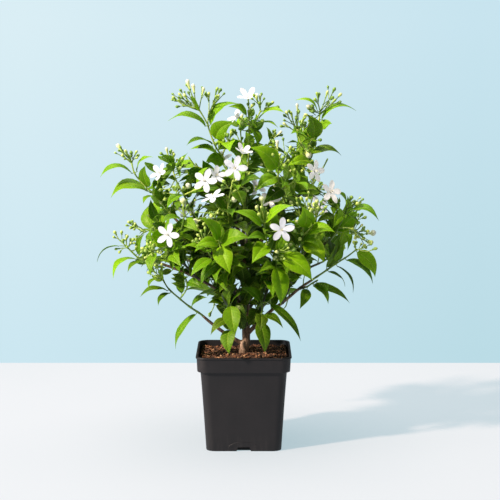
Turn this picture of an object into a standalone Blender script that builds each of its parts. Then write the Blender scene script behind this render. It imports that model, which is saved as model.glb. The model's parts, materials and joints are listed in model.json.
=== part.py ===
"""Potted orange jasmine: a square nursery pot, soil, a forking trunk, leafy stems and white flowers.

Metres, +Z up, and the front faces -Y. The origin is the centre of the pot's underside.

The plant is laid out on a front drawing. A place on it is a column and a row, counted from the
drawing's top left corner, and its depth is how many millimetres it lies in front of the trunk.
"""

import math
import random
from collections import namedtuple

import bpy
import bmesh
from mathutils import Matrix, Vector
from mathutils.bvhtree import BVHTree

MM = 0.001
GAP = 0.3 * MM

# Pot
RIM_WIDTH = 130 * MM
POT_HEIGHT = 132 * MM
BASE_WIDTH = 103 * MM
BODY_TOP_WIDTH = 117.5 * MM
BAND_HEIGHT = 21 * MM
BAND_FOOT_WIDTH = 126 * MM
WALL = 1.6 * MM
FLOOR = 2.4 * MM
LIP = 1.2 * MM
LIP_HEIGHT = 2.2 * MM
LIP_SLOPE = 0.8 * MM
FOOT_CHAMFER = 0.8 * MM
CORNER_SHARE = 0.11
CORNER_STEPS = 3
NOTCH_WIDTH = 20 * MM
NOTCH_HEIGHT = 5.5 * MM
NOTCH_DEPTH = 6 * MM
NOTCH_DRAFT = 1.5 * MM
CUT_PAST = 1 * MM
DRAIN_RADIUS = 4.5 * MM
DRAIN_OFFSET = 27 * MM
DRAIN_SIDES = 8

# Soil
SOIL_LEVEL = 124 * MM
SOIL_BUMP = 1.6 * MM
SOIL_DIP = 2.5 * MM
SOIL_EDGE_DROP = 3 * MM
SOIL_RINGS = (0.84, 0.64, 0.42, 0.2)
HOLE_FLOOR = 84 * MM
HOLE_GAP = 0.4 * MM

# Trunk
TRUNK_RADIUS = 6.0 * MM
TRUNK_SIDES = 8
LIMB_SIDES = 4
TRUNK_BEND_RADIUS = 5.5 * MM
TRUNK_MIDDLE_RADIUS = 5.2 * MM
TRUNK_END_RADIUS = 4.2 * MM
TRUNK_FLARE = 3 * MM
STUB_RADIUS = 2.6 * MM
STUB_SIDES = 6

# Leafy stems
TWIG_END_RADIUS = 0.9 * MM
SIDE_TWIG_RADIUS = 1.1 * MM
SIDE_TWIG_START = 3.2 * MM
STRAIGHT_START = 4 * MM
CORNER_REACH = 1.2
FACE_REACH = CORNER_REACH * math.cos(math.pi / 4)
SLOT = 1.8 * MM
END_MARGIN = 1.2 * MM
END_SLOT = -1
MERGED = 0.05 * MM
END_FACING = 0.75
SIDE_FACING = 0.2
NEAR_SLOTS = (0, 1, -1, 2, -2)
MORE_SLOTS = (3, -3, 4, -4, 5, -5, 6, -6)

# Leaves
BLADE_THICKNESS = 0.8 * MM
BLADE_SECTIONS = ((0.34, 1.0), (0.75, 0.44))
STALK_HALF = 0.5 * MM
SHORT_STALK = 2.6 * MM
LONG_STALK = 5 * MM
STALK_CLEAR = 1.2 * MM
STALK_SPREAD = 0.7
STALK_BEND = 0.4
DRAWN_IN = 0.03
LEAF_FOLD = 0.10
LEAF_LENGTH = 47 * MM
LEAF_WIDTH_SHARE = 0.46
LEAF_ANGLE = math.radians(56)
LEAF_SAG = 0.18
OUTWARD_PULL = 0.35
OUTWARD_FACING = 0.85
DRAWN_REACH = 0.9
DRAWN_ROLL = 0.22
FIRST_PAIR = 8 * MM
NODE_SPACING = 15 * MM
RULED_LEAVES = 3
BACK_RULED_LEAVES = 7

# Ways to fit a leaf of the front drawing: its push in depth in mm, its turn and its share of the length
DRAWN_TRIES = [(0, 0, 1)]
for push in (8, -8, 16, -16, 24, -24):
    DRAWN_TRIES += [(push, 0, 1), (push, 0.35, 1), (push, -0.35, 0.94)]
DRAWN_TRIES += [(0, 0.7, 0.9), (0, -0.7, 0.9), (0, 0.3, 0.8), (0, -0.3, 0.7), (12, 0.5, 0.7), (-12, 0.5, 0.7)]

# Ways to fit any other leaf: its swing round the twig and its share of the length
RULED_TRIES = ((0, 1), (0.4, 1), (-0.4, 0.95), (0.8, 0.9), (-0.8, 0.85), (0.3, 0.7), (-0.3, 0.6))

CLEARANCE = 0.4 * MM
OWN_CLEARANCE = 0.15 * MM

# Buds and flowers
BUD_LENGTH = 8.0 * MM
BUD_RADIUS = 2.1 * MM
BIG_BUD_LENGTH = 14 * MM
BIG_BUD_RADIUS = 2.7 * MM
BUD_WIDEST = 0.52
BUD_RISE = 0.3
BUD_LEANS = (0.7, 0.4, 1.0)
BUD_STALKS = (6 * MM, 11 * MM)
BUD_PUSHES = (9, -9, 15, -15, 22)
BACK_BUDS = 1
GOLDEN_TURN = 2.4
PEDICEL_RADIUS = 0.6 * MM
STALK_LEAVE = 3 * MM
TUBE_LENGTH = 10 * MM
TUBE_RADIUS = 1.0 * MM
THROAT_RADIUS = 2.1 * MM
PETALS = 5
PETAL_LENGTH = 13.0 * MM
PETAL_WIDTH = 6.6 * MM
PETAL_THICKNESS = 0.9 * MM
PETAL_SECTIONS = ((0.42, 0.9), (0.8, 0.8))
PETAL_CUP = (-0.02, 0.28)

# The eye that the front drawing is seen from
EYE = Vector((0.0085, -2.0, 0.538))
EYE_DROP = math.radians(7.63)
EYE_FOCAL = 1469
DRAWING_MIDDLE = 250

Leaf = namedtuple("Leaf", "root tip long wide lift roll side", defaults=(47, 0, 0.13, 0, 1))
Bud = namedtuple("Bud", "at big", defaults=(False,))
Bloom = namedtuple("Bloom", "at depth face size turn", defaults=(1.0, 0))
Stem = namedtuple("Stem", "twigs leaves buds blooms", defaults=((), (), ()))


def seen(place, depth):
    """The point at a depth in millimetres that the front drawing shows at (column, row)."""
    column, row = place
    across = (column - DRAWING_MIDDLE) / EYE_FOCAL
    rise = (DRAWING_MIDDLE - row) / EYE_FOCAL
    ray = Vector((
        across,
        math.cos(EYE_DROP) + rise * math.sin(EYE_DROP),
        rise * math.cos(EYE_DROP) - math.sin(EYE_DROP),
    ))
    return EYE + ray * ((-depth * MM - EYE.y) / ray.y)


# Brown limbs: the points of each, (column, row, depth), with its first and last radius in mm.
# A limb starts inside the one that it grows from. Its end carries the leafy stem of its name.
LIMBS = {
    "trunk_top": (
        [(246, 306, -8), (244, 270, -12), (243, 240, -10), (244, 222, -8), (244, 212, -8)],
        3.8,
        1.8,
    ),
    "low_left": ([(246, 345, 0), (238, 341, 6), (222, 331, 14), (210, 322, 20), (203, 316, 25)], 3.0, 1.7),
    "far_right": (
        [(247, 334, -2), (258, 323, 12), (272, 310, 25), (282, 303, 32), (300, 288, 40), (312, 280, 43)],
        2.8,
        1.6,
    ),
    "low_right": ([(300, 288, 40), (303, 288, 47), (306, 287, 53)], 1.5, 1.3),
    "flower_front": ([(258, 323, 12), (263, 305, 32), (268, 288, 54), (272, 277, 70)], 2.0, 1.5),
    "right_mid": ([(282, 303, 32), (290, 285, 42), (296, 266, 52), (298, 258, 57)], 2.0, 1.5),
    "low_centre": ([(247, 326, -3), (252, 316, 18), (257, 308, 36)], 1.8, 1.4),
    "upper_left": ([(243, 246, -10), (236, 222, -4), (228, 197, 4)], 2.4, 1.6),
    "upper_right": ([(244, 270, -12), (262, 240, -8), (280, 212, -4), (290, 196, -2)], 2.8, 1.6),
    "bright_right": ([(268, 230, -7), (277, 216, 6), (284, 206, 20)], 1.9, 1.5),
    "left_shoot": ([(246, 306, -8), (232, 284, -2), (216, 262, 2), (190, 235, 6), (170, 213, 8)], 2.8, 1.6),
    "left_mid": ([(216, 262, 2), (206, 240, 16), (193, 214, 32)], 2.0, 1.5),
    "far_left": ([(247, 318, -5), (226, 296, 2), (197, 278, 8), (162, 264, 15), (147, 261, 18)], 2.6, 1.5),
    "left_front": ([(197, 278, 8), (186, 266, 28), (176, 255, 47)], 1.9, 1.5),
    "centre_front": ([(247, 322, -4), (240, 304, 20), (232, 288, 45), (227, 277, 61)], 2.2, 1.5),
    "upper_centre": ([(244, 270, -12), (238, 252, 14), (231, 230, 48)], 2.2, 1.5),
    "right": ([(246, 303, -8), (272, 274, -2), (300, 256, 6), (326, 243, 12)], 2.6, 1.6),
    "low_mid": ([(246, 330, -2), (238, 318, 18), (229, 311, 37)], 1.8, 1.4),
    "back_left": ([(246, 310, -6), (232, 286, -38), (217, 264, -68)], 2.4, 1.5),
    "back_right": ([(246, 314, -6), (262, 288, -38), (278, 264, -70)], 2.4, 1.5),
    "back_top": ([(244, 266, -12), (246, 248, -45), (247, 232, -78)], 2.4, 1.5),
    "back_far_left": ([(232, 286, -38), (205, 270, -50), (180, 256, -60)], 2.0, 1.5),
    "back_far_right": ([(262, 288, -38), (292, 275, -48), (320, 263, -58)], 2.0, 1.5),
    "back_low_left": ([(247, 325, -4), (240, 312, -38), (233, 301, -73)], 1.9, 1.4),
    "back_low_right": ([(247, 322, -4), (258, 311, -36), (269, 301, -70)], 1.9, 1.4),
    "back_mid": ([(247, 318, -5), (249, 290, -50), (250, 266, -88)], 2.0, 1.5),
    "back_upper_left": ([(243, 240, -10), (230, 215, -28), (217, 192, -44)], 1.9, 1.5),
    "back_upper_right": ([(262, 240, -8), (274, 212, -30), (284, 187, -48)], 1.9, 1.5),
    "side_left": ([(232, 284, -2), (205, 262, -16), (178, 240, -26)], 1.9, 1.5),
    "side_right": ([(300, 256, 6), (318, 247, -12), (330, 239, -24)], 1.8, 1.4),
    "side_upper_left": ([(236, 222, -4), (222, 205, -16), (211, 190, -24)], 1.8, 1.4),
    "side_upper_right": ([(280, 212, -4), (300, 195, -18), (312, 184, -25)], 1.8, 1.4),
}
TRUNK_BENDS = [(246, 340, 0), (246, 330, -2), (247, 318, -5), (246, 300, -8)]
STUB_BENDS = [(245, 351, 2), (242.5, 346, 5), (242, 341, 6)]


def buds(*places, big=()):
    """Buds at places (column, row) of the front drawing, and big ones at the places in big."""
    return [Bud(place) for place in places] + [Bud(place, True) for place in big]


# Leafy stems: the bends of each green twig, the leaves and buds that show from the front, and flowers.
# Each stem's first twig starts on its limb's end, and a side twig starts on one of its bends.
STEMS = {
    "upper_left": Stem(
        twigs=[
            [(226, 163, 22), (216, 147, 27), (208, 125, 28), (209, 112, 26)],
            [(208, 125, 28), (203, 116, 34), (198, 108, 38)],
            [(222, 156, 24), (226, 146, 36), (229, 140, 42)],
        ],
        leaves=[
            Leaf((207, 127), (168, 120), 56, 0, 0.24),
            Leaf((211, 127), (237, 102), 52, 0, 0.2),
            Leaf((216, 139), (233, 122), 46, 23),
            Leaf((199, 110), (189, 97), 34, 18),
            Leaf((214, 144), (187, 143), 46, 0, 0.16),
            Leaf((219, 157), (190, 149), 46, 0, 0.2),
            Leaf((224, 165), (205, 161), 42),
        ],
        buds=buds(
            (174, 98), (180, 95), (180, 100), (185, 96), (203, 90), (209, 95), (217, 90), (218, 97),
            (226, 135), (231, 134),
            big=[(188, 82), (193, 86)],
        ),
    ),
    "trunk_top": Stem(
        twigs=[
            [(247, 180, -5), (249, 150, 0), (249, 120, 4), (248, 110, 5)],
            [(249, 130, 3), (257, 118, 12), (261, 110, 14)],
        ],
        leaves=[
            Leaf((248, 117), (229, 105), 38, 0, 0.18),
            Leaf((257, 117), (285, 112), 46, 0, 0.18),
            Leaf((254, 127), (278, 126), 42, 0, 0.16),
            Leaf((252, 128), (257, 146), 38, 20),
        ],
        buds=buds((257, 98), (260, 97), (272, 103), (252, 106)),
        blooms=[Bloom((248, 98), 12, (-0.1, 0.9, 0.5)), Bloom((238, 117), -8, (-0.7, 0.5, 0.2))],
    ),
    "upper_right": Stem(
        twigs=[
            [(300, 170, 6), (311, 142, 12), (317, 130, 13), (319, 120, 12), (320, 110, 12)],
            [(308, 152, 10), (301, 143, 18), (297, 129, 20)],
            [(300, 170, 6), (308, 164, 20), (313, 160, 28)],
        ],
        leaves=[
            Leaf((318, 109), (296, 98), 38, 0, 0.2),
            Leaf((321, 120), (356, 109), 52, 0, 0.24),
            Leaf((312, 138), (309, 115), 42, 25),
            Leaf((318, 128), (332, 123), 24),
            Leaf((308, 150), (287, 141), 42, 0, 0.13, 0, -1),
            Leaf((312, 154), (342, 154), 46, 0, 0.2),
            Leaf((313, 160), (288, 166), 44),
        ],
        buds=buds(
            (317, 95), (327, 93), (334, 90), (340, 95), (334, 101), (287, 113), (291, 114), (297, 106),
            (285, 124), (304, 117), (307, 115), (320, 141), (323, 157),
            big=[(309, 107), (304, 147)],
        ),
        blooms=[Bloom((315, 171), 60, (0.5, 0.1, 0.6), 0.95)],
    ),
    "left_shoot": Stem(
        twigs=[
            [(155, 195, 22), (147, 188, 26), (135, 174, 28), (131, 160, 28)],
            [(155, 195, 22), (158, 181, 32), (157, 171, 34)],
        ],
        leaves=[
            Leaf((134, 173), (100, 175), 50, 0, 0.25),
            Leaf((136, 172), (152, 156), 36, 0, 0.2),
            Leaf((148, 188), (144, 166), 36, 20),
            Leaf((146, 190), (110, 196), 52, 0, 0.25),
            Leaf((156, 197), (142, 203), 38),
            Leaf((157, 170), (144, 162), 32),
        ],
        buds=buds((121, 148), (126, 152), (123, 156), (128, 157), (136, 153), big=[(118, 146)]),
        blooms=[Bloom((160, 173), 62, (-0.5, 0.4, 0.6), 0.85)],
    ),
    "left_mid": Stem(
        twigs=[
            [(184, 195, 50), (176, 180, 58), (172, 166, 60)],
            [(184, 195, 50), (195, 190, 74), (201, 188, 84)],
        ],
        leaves=[
            Leaf((173, 165), (160, 156), 40),
            Leaf((180, 177), (187, 153), 40, 23),
            Leaf((182, 196), (166, 208), 42),
        ],
        buds=buds(
            (167, 150), (173, 154), (161, 190), (166, 199), (178, 203), (185, 208), (188, 210),
            big=[(170, 144), (183, 191)],
        ),
        blooms=[Bloom((205, 181), 104, (-0.2, 0.3, 0.9)), Bloom((216, 176), 84, (0.4, 0.5, 0.6), 0.9)],
    ),
    "far_left": Stem(
        twigs=[[(140, 259, 18), (134, 254, 20), (125, 245, 20)]],
        leaves=[
            Leaf((119, 246), (96, 261), 46, 15, 0.18),
            Leaf((138, 257), (112, 278), 52, 0, 0.24),
            Leaf((146, 262), (127, 271), 44),
            Leaf((137, 256), (144, 233), 36, 17),
        ],
        buds=buds(
            (115, 233), (127, 237), (123, 241), (117, 249), (133, 240), (138, 245),
            big=[(134, 231)],
        ),
    ),
    "left_front": Stem(
        twigs=[
            [(172, 245, 66), (169, 239, 80)],
            [(172, 245, 66), (161, 249, 71), (152, 251, 70)],
            [(170, 241, 75), (180, 232, 80), (184, 217, 90)],
        ],
        leaves=[
            Leaf((166, 248), (150, 234), 40, 22),
            Leaf((184, 214), (161, 222), 44),
            Leaf((182, 220), (198, 232), 40),
            Leaf((156, 252), (150, 275), 40),
        ],
        buds=buds(
            (143, 249), (148, 245), (154, 246), (146, 257), (152, 260), (158, 262),
            big=[(183, 203)],
        ),
        blooms=[Bloom((168, 235), 98, (-0.35, 0.1, 0.9))],
    ),
    "low_left": Stem(
        twigs=[
            [(190, 307, 32), (180, 299, 35), (168, 288, 38), (161, 276, 42)],
            [(180, 299, 35), (187, 288, 50), (186, 279, 56)],
        ],
        leaves=[
            Leaf((197, 313), (173, 348), 58, 24, 0.1),
            Leaf((168, 290), (140, 295), 46, 0, 0.16),
            Leaf((172, 291), (157, 305), 38),
            Leaf((165, 275), (148, 286), 38),
            Leaf((190, 307), (206, 297), 36),
            Leaf((185, 280), (178, 293), 34, 18),
            Leaf((186, 279), (203, 288), 36),
        ],
        buds=buds((152, 268), (157, 265), (149, 273)),
    ),
    "centre_front": Stem(
        twigs=[
            [(224, 262, 88), (221, 250, 103), (219, 241, 109)],
            [(224, 262, 88), (211, 256, 98), (206, 246, 104)],
        ],
        leaves=[
            Leaf((217, 243), (202, 216), 50, 0, 0.13),
            Leaf((217, 242), (195, 245), 42),
            Leaf((221, 241), (249, 235), 46, 26),
            Leaf((222, 245), (229, 274), 48, 26, 0.1),
            Leaf((222, 262), (200, 285), 48),
        ],
        buds=buds((201, 232), (205, 229), (212, 222), (197, 240)),
    ),
    "flower_front": Stem(
        twigs=[
            [(277, 262, 98), (279, 250, 112)],
            [(277, 262, 98), (269, 250, 103), (264, 224, 110)],
        ],
        leaves=[
            Leaf((270, 243), (251, 262), 44, 23),
            Leaf((268, 238), (247, 238), 42),
            Leaf((263, 223), (234, 211), 46, 22),
            Leaf((266, 222), (292, 205), 48, 22),
            Leaf((278, 266), (281, 305), 56, 27, 0.1),
            Leaf((282, 255), (313, 280), 56, 24, 0.12),
        ],
        buds=buds((275, 259), (293, 250), (257, 208), big=[(262, 201)]),
        blooms=[Bloom((282, 230), 126, (0.05, 0.15, 1.0), 1.0, 4)],
    ),
    "upper_centre": Stem(
        twigs=[
            [(228, 212, 78), (230, 194, 94), (233, 180, 103)],
            [(228, 212, 78), (221, 210, 94), (219, 208, 100)],
            [(230, 194, 94), (243, 184, 100), (250, 172, 96)],
        ],
        leaves=[
            Leaf((230, 196), (247, 206), 40),
            Leaf((229, 200), (212, 226), 46),
            Leaf((240, 186), (262, 178), 42),
        ],
        buds=buds(
            (247, 190), (223, 186), (240, 219), (212, 215),
            big=[(233, 200), (197, 221)],
        ),
        blooms=[
            Bloom((235, 168), 116, (-0.1, 0.1, 1.0)),
            Bloom((213, 197), 118, (-0.3, 0.85, 0.3)),
            Bloom((243, 153), 100, (0.2, 0.8, 0.4), 0.85),
        ],
    ),
    "bright_right": Stem(
        twigs=[
            [(281, 190, 50), (278, 176, 64), (279, 164, 68)],
            [(281, 190, 50), (290, 184, 60), (297, 180, 64)],
        ],
        leaves=[
            Leaf((278, 170), (252, 146), 54, 24),
            Leaf((276, 176), (256, 190), 44, 22),
            Leaf((295, 181), (309, 190), 38),
        ],
        buds=buds((272, 155), (290, 148), big=[(277, 142)]),
        blooms=[Bloom((270, 200), 70, (0.1, 0.3, 0.9), 0.85)],
    ),
    "right_mid": Stem(
        twigs=[
            [(301, 246, 74), (303, 236, 80), (303, 224, 82)],
            [(303, 236, 80), (312, 226, 86), (316, 216, 86)],
        ],
        leaves=[
            Leaf((303, 228), (303, 206), 38, 21),
            Leaf((305, 236), (335, 232), 46, 0, 0.2),
            Leaf((301, 242), (325, 261), 46, 22),
            Leaf((301, 244), (290, 226), 36),
        ],
        buds=buds((297, 200), (302, 199), (314, 205), (321, 203), (323, 211), (310, 209)),
    ),
    "right": Stem(
        twigs=[
            [(338, 228, 24), (344, 216, 30), (347, 207, 32)],
            [(338, 228, 24), (349, 228, 32), (355, 230, 34)],
            [(345, 213, 31), (337, 207, 42), (331, 204, 48)],
        ],
        leaves=[
            Leaf((345, 208), (338, 191), 36),
            Leaf((346, 214), (379, 218), 52, 0, 0.25),
            Leaf((345, 216), (358, 225), 36),
            Leaf((334, 231), (348, 249), 44, 0, 0.3),
            Leaf((335, 216), (316, 222), 38),
        ],
        buds=buds(
            (351, 198), (356, 203), (362, 200), (361, 226), (358, 236), (368, 242),
            big=[(371, 233)],
        ),
        blooms=[Bloom((331, 192), 62, (0.5, 0.3, 0.7))],
    ),
    "far_right": Stem(
        twigs=[[(324, 272, 45), (337, 263, 48), (348, 256, 50), (357, 249, 50)]],
        leaves=[
            Leaf((358, 251), (376, 277), 46, 20),
            Leaf((346, 259), (374, 283), 52, 20, 0.16),
            Leaf((337, 265), (355, 292), 48, 18),
            Leaf((327, 270), (346, 287), 44, 15, 0.13, 0, -1),
        ],
        buds=buds((375, 249), (354, 243), (364, 246)),
    ),
    "low_right": Stem(
        twigs=[[(311, 284, 58), (318, 280, 60)]],
        leaves=[
            Leaf((319, 281), (329, 291), 34),
            Leaf((314, 285), (330, 303), 44),
            Leaf((312, 284), (351, 303), 58, 18, 0.12, 0, -1),
            Leaf((307, 288), (300, 309), 40),
        ],
    ),
    "low_centre": Stem(
        twigs=[[(262, 303, 52), (267, 302, 62)], [(262, 303, 52), (262, 312, 64), (260, 320, 68)]],
        leaves=[
            Leaf((270, 304), (303, 340), 70, 27, 0.1),
            Leaf((260, 322), (265, 353), 48, 22, 0.1),
            Leaf((264, 315), (284, 326), 42, 14),
            Leaf((260, 300), (241, 288), 42),
        ],
    ),
    "low_mid": Stem(
        twigs=[[(230, 307, 52), (231, 303, 58)], [(230, 307, 52), (229, 318, 62), (229, 328, 64)]],
        leaves=[
            Leaf((233, 304), (235, 336), 48, 24, 0.1),
            Leaf((229, 330), (228, 354), 40, 21, 0.1),
            Leaf((228, 310), (208, 302), 42),
            Leaf((228, 318), (210, 334), 40),
        ],
    ),
    "back_left": Stem(
        twigs=[
            [(200, 240, -95), (185, 215, -110), (176, 195, -112)],
            [(200, 240, -95), (182, 245, -114), (168, 248, -118)],
        ],
        blooms=[Bloom((186, 208), -136, (-0.3, 0.3, -0.9))],
    ),
    "back_right": Stem(
        twigs=[
            [(296, 238, -98), (308, 212, -112), (314, 192, -112)],
            [(296, 238, -98), (316, 246, -114), (330, 248, -116)],
        ],
        blooms=[Bloom((318, 206), -134, (0.3, 0.2, -0.9))],
    ),
    "back_top": Stem(
        twigs=[
            [(246, 195, -95), (244, 165, -98), (241, 138, -88), (240, 125, -80)],
            [(246, 195, -95), (228, 172, -112), (216, 154, -110)],
            [(244, 165, -98), (262, 152, -100), (274, 138, -90)],
        ],
        blooms=[Bloom((256, 186), -126, (0.1, 0.4, -0.9)), Bloom((222, 160), -130, (-0.3, 0.6, -0.7))],
    ),
    "back_far_left": Stem(twigs=[[(160, 238, -70), (146, 222, -72), (136, 210, -70)]]),
    "back_far_right": Stem(twigs=[[(338, 250, -66), (350, 236, -68), (356, 222, -66)]]),
    "back_low_left": Stem(twigs=[[(215, 292, -100), (198, 286, -114)], [(215, 292, -100), (214, 306, -116)]]),
    "back_low_right": Stem(twigs=[[(290, 292, -98), (308, 286, -110)], [(290, 292, -98), (286, 306, -112)]]),
    "back_mid": Stem(
        twigs=[[(251, 246, -118), (252, 226, -132)], [(251, 246, -118), (262, 250, -134)]],
        blooms=[Bloom((240, 236), -150, (-0.2, 0.2, -1.0))],
    ),
    "back_upper_left": Stem(twigs=[[(200, 170, -55), (188, 152, -56), (180, 138, -52)]]),
    "back_upper_right": Stem(twigs=[[(298, 160, -62), (302, 144, -62), (300, 132, -58)]]),
    "side_left": Stem(
        twigs=[
            [(158, 224, -30), (146, 214, -30), (138, 205, -30)],
            [(158, 224, -30), (149, 230, -37), (142, 234, -40)],
        ],
    ),
    "side_right": Stem(
        twigs=[[(343, 226, -30), (351, 213, -30)], [(343, 226, -30), (353, 231, -37), (360, 234, -40)]],
    ),
    "side_upper_left": Stem(twigs=[[(198, 170, -26), (187, 155, -26), (180, 145, -24)]]),
    "side_upper_right": Stem(twigs=[[(324, 166, -28), (331, 152, -28)]]),
}


# Shapes: each is (points, faces), closed, and faces run against the clock from outside


class Skin:
    """A closed skin that grows ring by ring. Each ring is a list of point numbers."""

    def __init__(self):
        self.points = []
        self.faces = []

    def ring(self, points):
        start = len(self.points)
        self.points += points
        return list(range(start, len(self.points)))

    def bridge(self, low, high, skipped=()):
        """Faces from a ring to the next, but for the skipped sides, whose four corners it returns."""
        sides = len(low)
        quads = {}
        for i in range(sides):
            j = (i + 1) % sides
            if i in skipped:
                quads[i] = [low[i], low[j], high[j], high[i]]
            else:
                self.faces.append((low[i], low[j], high[j]))
                self.faces.append((low[i], high[j], high[i]))
        return quads

    def cap(self, ring):
        self.faces.append(tuple(ring))

    def spike(self, ring, tip):
        self.points.append(tip)
        sides = len(ring)
        self.faces += [(ring[i], ring[(i + 1) % sides], len(self.points) - 1) for i in range(sides)]

    def turned(self, ring, points):
        """The same ring started at the corner that lies best with points."""
        turn = best_turn([self.points[i] for i in ring], points)
        return ring[turn:] + ring[:turn]

    def extend(self, ring, rings, tip=None):
        """Grows a ring out through rings of points, to a tip or a flat end."""
        ring = self.turned(ring, rings[0])
        for points in rings:
            new = self.ring(points)
            self.bridge(ring, new)
            ring = new
        if tip is None:
            self.cap(ring)
        else:
            self.spike(ring, tip)

    def shape(self):
        return self.points, self.faces


def best_turn(ring, points):
    """How many corners to turn a ring so that it lies best with as many points."""
    sides = len(ring)

    def spread(turn):
        return sum((ring[(i + turn) % sides] - points[i]).length_squared for i in range(sides))

    return min(range(sides), key=spread)


def rings_to_shape(rings, tip=None):
    """A closed shape through rings, with a flat start, to a tip or a flat end."""
    skin = Skin()
    ring = skin.ring(rings[0])
    skin.cap(list(reversed(ring)))
    for points in rings[1:]:
        new = skin.ring(points)
        skin.bridge(ring, new)
        ring = new
    if tip is None:
        skin.cap(ring)
    else:
        skin.spike(ring, tip)
    return skin.shape()


def frames_along(points):
    """The direction and two square sides of each stretch of a bent line, turned as little as can be."""
    tangents = [(b - a).normalized() for a, b in zip(points, points[1:])]
    helper = Vector((0, 0, 1)) if abs(tangents[0].z) < 0.8 else Vector((1, 0, 0))
    side = tangents[0].cross(helper).normalized()
    frames = []
    for tangent in tangents:
        side = (side - tangent * side.dot(tangent)).normalized()
        frames.append((tangent, side, tangent.cross(side)))
    return frames


def circle(middle, side, other, radius, sides, first=0.0):
    ring = []
    for i in range(sides):
        angle = first + 2 * math.pi * i / sides
        ring.append(middle + side * (radius * math.cos(angle)) + other * (radius * math.sin(angle)))
    return ring


def tube_rings(points, radii, sides):
    """Rings along a bent line, each square to the line there."""
    frames = frames_along(points)
    rings = []
    for k, (point, radius) in enumerate(zip(points, radii)):
        before = frames[max(k - 1, 0)]
        after = frames[min(k, len(frames) - 1)]
        tangent = (before[0] + after[0]).normalized()
        side = (after[1] - tangent * after[1].dot(tangent)).normalized()
        rings.append(circle(point, side, tangent.cross(side), radius, sides))
    return rings


def tube(points, radii, sides):
    """A round bar along points, with flat ends."""
    return rings_to_shape(tube_rings(points, radii, sides))


def tapered(first, last, count):
    return [first + (last - first) * k / (count - 1) for k in range(count)]


Port = namedtuple("Port", "twig slot side middle normal corners")


def port_ring(port, points):
    """A port's corners, drawn in a little so that neighbours stay apart, turned to lie with points."""
    middle = sum(port.corners, Vector()) / len(port.corners)
    ring = [corner.lerp(middle, DRAWN_IN) + port.normal * OWN_CLEARANCE for corner in port.corners]
    turn = best_turn(ring, points)
    return ring[turn:] + ring[:turn]


class Grower:
    """What grows from a port: it has rings and may have a tip."""

    tip = None

    def rings(self, margin=0.0):
        raise NotImplementedError

    def shape(self, margin=0.0, whole=True):
        """The piece grown by a margin, whole or from where its stalk is clear of the twig."""
        rings = self.rings(margin)
        first = port_ring(self.port, rings[0])
        away = (rings[0][0] - first[0]).length
        if whole:
            rings.insert(0, first)
        elif away > LONG_STALK:
            rings.insert(0, [a.lerp(b, STALK_CLEAR / away) for a, b in zip(first, rings[0])])
        return rings_to_shape(rings, self.tip)

    def build(self, skin, corners):
        skin.extend(corners, self.rings(), self.tip)


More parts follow.
